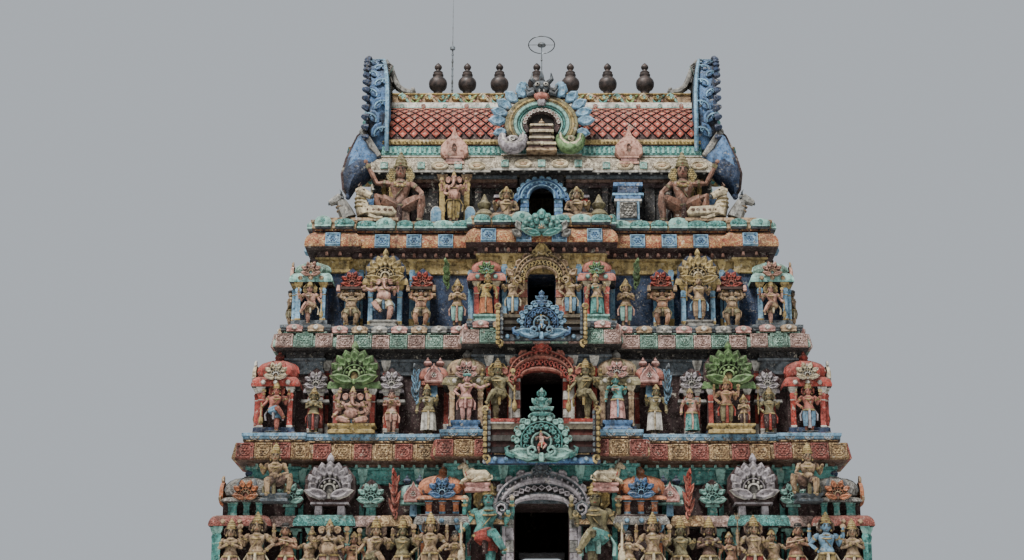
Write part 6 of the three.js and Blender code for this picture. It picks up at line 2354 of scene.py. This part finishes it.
def heart_gable():
    """A plain heart-shaped mini gable on the roof's foot."""
    outline = both_halves([
        (0.12, 0.0), (0.42, -0.02), (0.58, 0.2), (0.55, 0.5), (0.36, 0.74), (0.14, 0.95), (0.06, 1.15),
        (0.0, 1.42),
    ])
    levels = [(1.0, -0.5), (1.0, 0.06), (0.94, 0.12), (0.82, 0.13), (0.5, 0.15), (0.28, 0.16)]
    opening = [(x, z + 0.4) for x, z in arc(0.1, 0.17, 0, 330, 12)]
    steps = [(1.0, 0.12), (0.95, 0.2), (0.7, 0.2), (0.6, 0.1)]
    parts = [
        relief(outline, levels, "rose", (0.0, 0.42)),
        relief(opening, steps, bands("brown*2 maroon"), (0.0, 0.4)),
    ]
    for z0, z1, half, paint in (
        (-0.32, -0.2, 0.42, "rose"), (-0.2, -0.06, 0.34, "pink"), (-0.06, 0.02, 0.4, "rose"),
    ):
        parts.append(box(-half, half, -0.2, 0.3, z0, z1, paint, 0.02))
    return shaded_and_sooted(joined(parts), 0.3)


def add_kalashas():
    tall = 1.7
    profile = [
        (0.0, 0.0), (0.24, 0.0), (0.24, 0.08), (0.2, 0.12), (0.19, 0.3), (0.21, 0.36), (0.24, 0.4),
        (0.33, 0.46),
        (0.385, 0.56), (0.4, 0.68), (0.4, 0.76), (0.37, 0.86), (0.3, 0.95), (0.22, 1.01), (0.22, 1.05),
        (0.24, 1.08),
        (0.24, 1.14), (0.2, 1.17), (0.2, 1.2), (0.215, 1.23), (0.19, 1.27), (0.11, 1.3), (0.1, 1.36),
        (0.15, 1.42),
        (0.168, 1.49), (0.15, 1.55), (0.09, 1.62), (0.03, 1.68), (0.0, tall),
    ]
    for index in range(1, 8):
        low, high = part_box(f"kalasha_{index}")
        size = (high[2] - low[2]) / tall
        pot = lathe([(max(r, 0.002), z * size) for r, z in profile], "grey", 24)
        pot = pot.at((low[0] + high[0]) / 2, 0, low[2])
        add_piece(f"finial_{index}", pot, [f"kalasha_{index}"], BRONZE)


def add_lamp_and_mast():
    low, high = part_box("ring_lamp")
    y, hoop_z, radius, tilt = -0.48, 33.95, 0.57, math.radians(18)
    ring = [
        (
            radius * math.cos(a), y - radius * math.sin(a) * math.cos(tilt),
            hoop_z + radius * math.sin(a) * math.sin(tilt),
        )
        for a in np.linspace(0, 2 * math.pi, 41)
    ]
    collar = lathe([(0.03, 0.0), (0.042, 0.01), (0.042, 0.05), (0.03, 0.06)], "grey", 10)
    cap = [(0.0, 0.0), (0.17, -0.01), (0.19, 0.03), (0.16, 0.1), (0.07, 0.16), (0.03, 0.18)]
    lamp = [
        tube(ring, 0.024, "grey", 8), tube([(0, y, low[2]), (0, y, hoop_z)], [0.028, 0.024], "grey", 10),
        tube([(-radius, y, hoop_z), (radius, y, hoop_z)], 0.015, "grey", 8),
        lathe(cap, "grey", 20).at(0, y, hoop_z - 0.05), collar.at(0, y, 32.3), collar.at(0, y, 33.2),
        lathe([(0.0, 0.0), (0.085, 0.0), (0.085, 0.03), (0.04, 0.05)], "grey", 14).at(0, y, low[2]),
    ]
    add_piece("street_lamp", joined(lamp), ["ring_lamp"], STEEL)
    low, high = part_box("lightning_mast")
    x = (low[0] + high[0]) / 2
    collar = lathe([(0.04, 0.0), (0.052, 0.01), (0.052, 0.05), (0.04, 0.06)], "grey", 10)
    mast = [
        tube([(x, 0, low[2]), (x, 0, 33.95)], [0.043, 0.034], "grey", 10),
        tube([(x, 0, 33.9), (x, 0, high[2] - 0.01)], [0.02, 0.012], "grey", 8),
        lathe([(0.04, 0), (0.11, 0.03), (0.115, 0.14), (0.06, 0.2), (0.02, 0.22)], "grey").at(x, 0, 33.9),
        lathe([(0.0, 0.0), (0.105, 0.0), (0.105, 0.04), (0.05, 0.06)], "grey").at(x, 0, low[2]),
        *[collar.at(x, 0, 32.0 + 0.33 * k) for k in range(6)],
    ]
    add_piece("mast", joined(mast), ["lightning_mast"], STEEL)


def pot(paint):
    """A stacked vase of the neck storey."""
    profile = [
        (0.26, 0.0), (0.26, 0.08), (0.16, 0.14), (0.28, 0.3), (0.31, 0.44), (0.2, 0.58), (0.12, 0.64),
        (0.2, 0.72),
        (0.22, 0.82), (0.12, 0.92), (0.08, 1.04), (0.02, 1.16),
    ]
    return lathe(profile, paint, 14)


def neck_arch():
    """The flat blue arch over the small neck door, on striped jambs."""
    floor, y = NECK_FLOOR, -NECK_HALF_DEPTH - 0.36
    spring = floor + 1.38
    petal, stud = leaf(0.2, 0.26, 0.1, "blue", "sky"), ball(0, 0, 0, 0.05, 0.05, 0.05, "sky", 6, 3)
    parts = [
        arch_band((0.5, 0.5), (0.98, 0.82), ("blue", "sky", "blue"), 0.16, -0.05, 20).at(0, y, spring),
        *fan(0.92, 0.78, half_turn(11), (0, y - 0.04, spring), petal.aimed),
        *fan(0.74, 0.66, half_turn(11), (0, y - 0.16, spring), lambda a: stud),
        *pair(spiral(0.16, 0.07, "blue", 1.2, 1), 0.98, y - 0.16, spring - 0.02),
        box(-0.52, 0.52, y + 0.02, y + 0.06, floor + 1.95, floor + 2.3, "soot"),
    ]
    for k in range(7):
        z0 = floor + 0.05 + 0.19 * k
        parts += pair(box(0.52, 0.86, y - 0.1, y + 0.1, z0, z0 + 0.18, "blue" if k % 2 else "sky", 0.015))
    return parts


def neck_dress():
    """The front of the neck storey, with an elephant-headed god on the left and a carved pillar opposite."""
    floor, top, wall = NECK_FLOOR, NECK_TOP, -NECK_HALF_DEPTH
    height, figure_y = top - floor, wall - 0.85
    # Soot pilasters with maroon trims: painted shade of the deep neck wall under the roof eave
    dark = pilaster(height - 0.02, 0.26, 0.12, "soot", "maroon", "soot")
    gilt = pilaster(height - 0.02, 0.3, 0.16, "gold", "tan", "brown")
    seated = dressed("seated", 2.1, "tan", "brown", halo="olive")
    shelf = [
        box(-0.4, 0.4, -0.1, 0.0, 1.35, 1.5, "red", 0.02),
        box(-0.46, 0.46, -0.16, 0.0, 1.5, 1.62, "lilac", 0.02),
    ]
    parts = neck_arch()
    for at in (1.75, 2.6, 4.35, 5.2):
        parts += pair(dark, at, wall - 0.02, floor)
    for z0, z1, out, paint in (
        (-0.5, -0.3, 0.16, "maroon"), (-0.3, -0.16, 0.22, "brown"), (-0.16, -0.01, 0.3, "slate"),
    ):
        parts += pair(box(0.99, NECK_HALF_WIDTH, wall - out, wall + 0.02, top + z0, top + z1, paint, 0.02))
    parts += [
        *pair(gilt, 6.1, wall - 0.1, floor),
        *pair(pot("olive").scaled(1.3, 1.3, 1.25), 2.32, wall - 0.72, floor),
        *pair(pedestal(1.05, 0.7, 0.22, "tan"), 1.42, figure_y, floor),
        *pair(seated, 1.42, figure_y, floor + 0.22),
        *pair(joined(shelf), 1.5, wall - 0.05, floor),
    ]
    left, right = -3.56, 3.5
    god = dressed("elephant", 2.0, "rose", "gold", "gold").scaled(0.82, 0.9, 1)
    parts += [
        pedestal(1.1, 0.7, 0.16, "mint").at(left, figure_y, floor), god.at(left, figure_y, floor + 0.14),
    ]
    shield = slab(
        both_halves([(0.22, 0.0), (0.22, 0.62), (0.12, 0.8), (0, 0.84)]), 0.05, -0.08, "sky", 0.1, "white",
    )
    parts += [shield.at(left + dx, figure_y + 0.2, floor + 0.12) for dx in (-0.72, 0.66)]
    parts += [gilt.scaled(0.8, 1, 1).at(left + dx, wall - 0.2, floor) for dx in (-0.5, 0.5)]
    low = 0.0
    for high, wide, paint in (
        (0.22, 0.62, "blue"), (0.3, 0.56, "white"), (1.1, 0.46, "sky"), (1.2, 0.56, "white"),
        (1.35, 0.52, "blue"),
        (1.45, 0.64, "sky"), (1.75, 0.42, "navy"), (1.9, 0.6, "blue"),
    ):
        parts.append(
            box(right - wide, right + wide, figure_y - 0.1, wall, floor + low, floor + high, paint, 0.015)
        )
        low = high
    return parts + [panel(0.7, 0.7, "carved_grey", "white").at(right, figure_y - 0.12, floor + 0.7)]


def neck_side_dress():
    """The short ends of the neck storey, in the local frame of a face."""
    pillar = pilaster(NECK_TOP - NECK_FLOOR - 0.02, 0.3, 0.16, "gold", "tan", "brown")
    return [
        *pair(pillar, 1.5, -0.13, NECK_FLOOR), *pair(pillar, 3.0, -0.13, NECK_FLOOR),
        *pair(pot("gold"), 2.2, -0.75, NECK_FLOOR), pedestal(1.2, 0.7, 0.3, "tan").at(0, -1.0, NECK_FLOOR),
        dressed("god", 1.6, "tan", "sky").at(0, -1.0, NECK_FLOOR + 0.3),
    ]


def giant_figure():
    """A giant on his seat, with flowers beside his head and beads on his chest."""
    figure = dressed(
        "giant", 3.4, "umber", "umber", "maroon", gold="olive", hair="olive",
    ).scaled(1 / 1.08, 1, 1)
    parts = [figure, box(-0.42, 0.42, -0.3, 0.28, 0.0, 0.75, "brown", 0.05)]
    for x, z, size in ((0.34, 2.34, 0.17), (0.4, 2.16, 0.19), (0.36, 2.0, 0.15)):
        parts += [flower(size, "olive", "gold", 6).at(side * x, -0.06, z) for side in SIDES]
    for x, z in ((0.1, 1.66), (0.2, 1.75)):
        parts += [bead(0.07, "gold", 6).at(side * x, -0.36, z) for side in SIDES]
    return joined(parts)


def bull_horns(horn, ear, horn_paint, ear_paint):
    """A bull's two horns and ears, from the points of those on +Y."""
    parts = []
    for side in SIDES:
        parts += [
            tube([(x, side * y, z) for x, y, z in horn], [0.045, 0.04, 0.01], horn_paint, 6),
            tube([(x, side * y, z) for x, y, z in ear], [0.07, 0.02], ear_paint, 6),
        ]
    return parts


def bull_pair():
    """A cream bull that lies along the ledge and looks back inwards, and a grey one that looks out."""
    cream_body = [(5.85, 0, 0.34), (6.0, 0, 0.4), (6.45, 0, 0.42), (6.9, 0, 0.44), (7.15, 0, 0.42)]
    cream_head = [(7.42, -0.02, 1.24), (7.27, -0.05, 1.27), (7.0, -0.1, 1.14), (6.82, -0.14, 1.04)]
    grey_head = [(7.96, 0, 0.96), (8.12, 0, 0.99), (8.36, 0, 0.86), (8.5, 0, 0.78)]
    parts = [
        box(5.72, 8.58, -0.235, 0.235, 0.0, 0.125, "tan", 0.01),
        tube(cream_body, [0.12, 0.25, 0.26, 0.28, 0.2], "cream", 12),
        tube([(7.08, 0, 0.3), (7.2, 0, 0.7), (7.28, 0, 1.12)], [0.33, 0.29, 0.19], "cream", 12),
        tube(cream_head, [0.16, 0.23, 0.17, 0.13], "cream", 12),
        ball(6.78, -0.14, 1.03, 0.07, 0.12, 0.1, "slate"),
        tube([(6.9, -0.2, 0.25), (6.6, -0.22, 0.14), (6.35, -0.2, 0.14)], [0.1, 0.07, 0.06], "cream"),
        *[ball(7.12, side * 0.18 - 0.06, 1.3, 0.045, 0.03, 0.04, "soot", 6, 3) for side in SIDES],
        *[
            ball(x, -0.22, 0.45 + 0.05 * (x % 0.3), 0.1, 0.05, 0.08, "brown", 7, 4)
            for x in (6.05, 6.25, 6.5, 6.72, 6.95)
        ],
        *bull_horns(
            [(7.28, 0.1, 1.36), (7.33, 0.17, 1.5), (7.25, 0.14, 1.64)],
            [(7.36, 0.12, 1.28), (7.46, 0.2, 1.22)],
            "brown", "tan",
        ),
        tube([(7.72, 0, 0.15), (7.88, 0, 0.5), (8.04, 0, 0.88)], [0.33, 0.3, 0.2], "grey", 12),
        tube(grey_head, [0.15, 0.22, 0.16, 0.12], "grey", 12), ball(8.52, 0, 0.77, 0.05, 0.08, 0.07, "slate"),
        *bull_horns(
            [(8.05, 0.1, 1.08), (8.02, 0.17, 1.22), (8.1, 0.14, 1.34)], [(8.02, 0.12, 1.0), (7.9, 0.2, 0.98)],
            "slate", "slate",
        ),
    ]
    for z in (0.6, 0.78, 0.95):
        reach = 0.36 - 0.12 * z
        parts.append(tube(level_loop(7.13 + 0.12 * z, z, reach, reach, 0.03, 13), 0.03, "gold", 5))
    for z in (0.45, 0.62):
        parts.append(tube(level_loop(7.88 + 0.25 * z, z, 0.2, 0.22, 0.0, 13), 0.03, "tan", 5))
    return shaded_and_sooted(joined(parts), 0.3)


def add_neck_figures():
    """The giants and bulls at the four corners, drawn for the front and turned for the back."""
    giant = giant_figure().at(5.72, -NECK_HALF_DEPTH - 0.9, NECK_FLOOR)
    bulls = bull_pair().at(0, -NECK_HALF_DEPTH - 1.55, NECK_FLOOR)
    for face, turn, names in (("front", 0.0, ("left", "right")), ("back", math.pi, ("right", "left"))):
        for name, left in zip(names, (True, False)):
            corner = f"{face}_{name}"
            figure, both = (giant.mirrored(), bulls.mirrored()) if left else (giant, bulls)
            add_piece(f"{corner}_giant_figure", figure.turned(turn), [f"{corner}_giant"])
            add_piece(f"{corner}_bull_figures", both.turned(turn), [f"{corner}_bulls"])


def add_roof():
    add_roof_eave()
    add_lattice()
    add_ridge()
    crest = gable_crest()
    add_piece("right_gable", crest, ["right_gable_crest"])
    add_piece("left_gable", crest.mirrored(), ["left_gable_crest"])
    dormer = dormer_piece()
    add_piece("front_horseshoe", dormer, ["front_dormer"])
    add_piece("back_horseshoe", dormer.turned(math.pi), ["back_dormer"])
    hearts = [heart_gable().at(side * 3.58, -VAULT_HALF_DEPTH - 0.42, 27.5) for side in SIDES]
    add_piece("heart_gables", both_faces(hearts))
    add_kalashas()
    add_lamp_and_mast()
    add_piece("neck_dress", both_faces(neck_dress()))
    end = joined(neck_side_dress()).at(0, -NECK_HALF_WIDTH, 0)
    add_piece("neck_end_dress", joined([end.turned(math.pi / 2), end.turned(-math.pi / 2)]))
    add_neck_figures()


# The shrines that hang before the doors of the upper two storeys

DOOR_SHRINES = [
    dict(
        storey=1, main="teal", rim="mint", width=2.0, foot=14.0, neck=15.87, top=17.02, guard_at=2.02,
        guard_foot=14.06, guard_top=16.08, eave="blue", bands="slate red white red cream",
        dancer=("pink", "red"),
    ),
    dict(
        storey=2, main="blue", rim="sky", width=1.66, foot=18.9, neck=20.39, top=21.0, guard_at=1.6,
        guard_foot=18.7, guard_top=20.3, eave="slate", bands="slate tan cream tan cream",
        dancer=("sky", "blue"),
    ),
]


def shrine_disc(r, main, rim):
    """A ringed disc of radius r with two rings of leaves and curls, in a wall plane y = 0."""
    levels = [(1.0, 0.0), (1.0, 0.14), (0.95, 0.2), (0.86, 0.2), (0.8, 0.14)]
    edge_leaf = leaf(0.22 * r, 0.3 * r, 0.1, main, rim)
    inner_leaf = leaf(0.22 * r, 0.22 * r, 0.12, rim, main)
    outer = np.radians(np.linspace(-32, 212, 15))
    crown = [a for a in np.radians(np.linspace(8, 172, 9)) if abs(a - math.pi / 2) > 0.3]
    sweep = np.linspace(-0.7, math.pi + 0.7, 19)
    return [
        relief(horseshoe(r, -0.75, 20), levels, main),
        *fan(0.78 * r, 0.78 * r, outer, (0, -0.16, 0), leaf(0.26 * r, 0.3 * r, 0.1, main, rim).aimed),
        *fan(
            0.6 * r, 0.6 * r, outer[1::2], (0, -0.22, 0),
            lambda a: spiral(0.12 * r, 0.05 * r, main, 1.2, 1 if math.cos(a) > 0.01 else -1).aimed(a),
        ),
        *fan(0.48 * r, 0.48 * r, outer[::2], (0, -0.18, 0), inner_leaf.aimed),
        *fan(0.95 * r, 0.95 * r, crown, (0, -0.08, 0), edge_leaf.aimed),
        tube(hoop(0.76 * r, 0.76 * r, sweep, (0, -0.2, 0)), 0.045 * r, main, 6),
        tube(hoop(0.36 * r, 0.36 * r, sweep, (0, -0.2, 0)), 0.05 * r, rim, 6),
        ball(0, -0.26, -0.58 * r, 0.13 * r, 0.1, 0.2 * r, rim),
    ]


def door_shrine(spec):
    """A ringed disc on boat-shaped scrolls, with a small dancer in it and a crowned finial on it."""
    r = spec["width"] / 2
    main, rim = spec["main"], spec["rim"]
    centre = spec["foot"] + 0.78 * r
    parts = [shape.at(0, 0, centre) for shape in shrine_disc(r, main, rim)]
    for side in SIDES:
        boat = leaf(1.22 * r, 0.5 * r, 0.22, main, rim).turned(side * 1.4, "y")
        tip = on_side(side, [
            (1.0 * r, -0.2, centre - 0.5 * r), (1.24 * r, -0.2, centre - 0.42 * r),
            (1.3 * r, -0.16, centre - 0.22 * r), (1.18 * r, -0.16, centre - 0.14 * r),
        ])
        parts += [
            boat.at(side * 0.05 * r, -0.14, centre - 0.56 * r),
            tube(tip, [0.14 * r, 0.12 * r, 0.08 * r, 0.03 * r], main, 8),
            spiral(0.2 * r, 0.08 * r, rim, 1.2, side).at(side * 0.34 * r, -0.3, centre - 0.34 * r),
        ]
    dancer = dressed("dancer", 0.78 * r, *spec["dancer"]).scaled(1, 0.6, 1)
    low = spec["neck"] - 0.12
    rise = spec["top"] - low
    seat = [(0.42 * r, 0.0), (0.46 * r, 0.08 * rise), (0.2 * r, 0.2 * rise), (0.12 * r, 0.3 * rise)]
    deity = dressed("seated", rise * 0.98, main, rim, rim, gold=rim, hair=main, halo=main).scaled(1, 0.8, 1)
    parts += [
        dancer.at(0, -0.22, centre - 0.44 * r), lathe(seat, main).scaled(1, 0.6, 1).at(0, -0.06, low),
        deity.at(0, -0.1, low + 0.14 * rise),
    ]
    petal = leaf(0.34 * rise, 0.18 * rise, 0.1, main, rim)
    for side in SIDES:
        for share, lean in ((0.12, 1.0), (0.3, 0.7)):
            parts.append(petal.turned(side * lean, "y").at(side * 0.1 * r, -0.04, low + share * rise))
    return parts


def shrine_setting(spec):
    """The little eave and striped bands behind a door shrine, and the guards at their ends."""
    low, high, half = spec["foot"], STOREYS[spec["storey"]]["floor"] + 0.14, spec["guard_at"]
    parts = [eave_slab(-half, half, 0.1, 0.15, low, 0.4, 0.14, spec["eave"], "navy")]
    for index in range(int(2 * half / 0.42)):
        parts.append(bead(0.1, "sky", 7).at(0.3 - half + 0.42 * index, -0.05, low + 0.16))
    foot = low + 0.4
    step = (high - foot) / 5
    for index, paint in enumerate(spec["bands"].split()):
        z0, out = foot + step * index, 0.02 if index % 2 else 0.08
        parts.append(box(-half, half, -out, 0.15, z0, z0 + step - 0.01, paint, 0.015))
    return parts + pair(guard(spec["guard_top"] - spec["guard_foot"]), half, 0.12, spec["guard_foot"])


def guard(height):
    """An upright crescent guard, seen edge-on from the front: a dark body with a golden scaly edge."""
    outline = [(0.3 * math.sin(math.pi * t) ** 0.7 + 0.05, height * t) for t in np.linspace(0.0, 1.0, 11)]
    back = [(0.0, height * t) for t in np.linspace(0.98, 0.02, 5)]
    parts = [
        slab(outline + back, 0.13, -0.13, "slate", 0.06, "brown").turned(-math.pi / 2),
        spiral(0.14, 0.06, "gold", 1.1, 1).at(0.04, -0.2, height - 0.06),
        spiral(0.16, 0.07, "gold", 1.1, -1).at(0.02, -0.18, 0.12),
    ]
    for x, z in outline[1:10]:
        parts += [
            ball(0.06, -x, z, 0.09, 0.08, 0.12, "gold", 7, 4),
            ball(-0.08, -x + 0.03, z + 0.02, 0.08, 0.07, 0.11, "slate", 7, 4),
        ]
    return shaded_and_sooted(joined(parts), 0.2)


def add_door_shrines():
    for spec in DOOR_SHRINES:
        name, below = STOREYS[spec["storey"]]["name"], STOREYS[spec["storey"] - 1]
        plane = -(below["half_depth"] + below["porch_out"] + 0.69)
        parts = [shape.at(0, 0.08, 0) for shape in door_shrine(spec)] + shrine_setting(spec)
        piece = shaded_and_sooted(joined(parts), 0.3).at(0, plane, 0)
        for face, turn in (("front", 0.0), ("back", math.pi)):
            add_piece(f"{name}_{face}_door_gable", piece.turned(turn), [f"{name}_{face}_shrine"])


add_base()
add_storeys()
add_door_shrines()
add_roof()


# CAD nodes that stay in view get a finish

NODE_PAINTS = [
    ("plinth", "granite"), ("base_", "granite"), ("gateway", "granite"), ("storey_1", "maroon"),
    # The neck is painted soot: painted shade of the recess under the roof eave
    ("storey_2", "maroon"), ("storey_3", "navy"), ("neck", "soot"), ("vault", "maroon"),
    ("roof_eave", "cream"), ("roof_ridge", "carved_ochre"),
]


def finish_cad_nodes():
    for name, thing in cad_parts.items():
        for start, paint in NODE_PAINTS:
            if name.startswith(start):
                thing.data.materials.clear()
                thing.data.materials.append(MATERIALS[paint])
                break


finish_cad_nodes()


# Stage, light and camera

def add_stage():
    mesh = bpy.data.meshes.new("floor")
    reach = 400
    mesh.from_pydata(
        [(-reach, -reach, 0), (reach, -reach, 0), (reach, reach, 0), (-reach, reach, 0)], [], [(0, 1, 2, 3)]
    )
    floor = bpy.data.objects.new("floor", mesh)
    bpy.context.collection.objects.link(floor)
    material = bpy.data.materials.new("pale_floor")
    material.use_nodes = True
    shader = material.node_tree.nodes["Principled BSDF"]
    shader.inputs["Base Color"].default_value = (0.62, 0.62, 0.61, 1)
    shader.inputs["Roughness"].default_value = 0.9
    mesh.materials.append(material)


def add_light():
    world = bpy.data.worlds.new("soft_sky")
    world.use_nodes = True
    background = world.node_tree.nodes["Background"]
    background.inputs[0].default_value = (0.80, 0.86, 0.93, 1)
    background.inputs[1].default_value = 0.6
    bpy.context.scene.world = world
    for name, place, aim, size, watts in (
        ("key", (-26, -52, 104), (0, 0, 20), 24, 190000),
        ("fill", (60, -60, 30), (0, 0, 18), 50, 9000),
    ):
        lamp = bpy.data.lights.new(name, "AREA")
        lamp.size = size
        lamp.energy = watts
        light = bpy.data.objects.new(name, lamp)
        light.location = place
        light.rotation_euler = (Vector(aim) - Vector(place)).to_track_quat("-Z", "Y").to_euler()
        bpy.context.collection.objects.link(light)


def add_camera():
    camera = bpy.data.cameras.new("camera")
    camera.sensor_width = SENSOR
    camera.lens = FOCAL_PIXELS / IMAGE_WIDTH * SENSOR
    camera.shift_x = -AXIS_OFFSET_PIXELS / IMAGE_WIDTH
    camera.clip_end = 1000
    eye = bpy.data.objects.new("camera", camera)
    eye.location = (0, -EYE_DISTANCE, EYE_HEIGHT)
    eye.rotation_euler = (math.pi / 2 + TILT_UP, 0, 0)
    bpy.context.collection.objects.link(eye)
    bpy.context.scene.camera = eye


add_stage()
add_light()
add_camera()
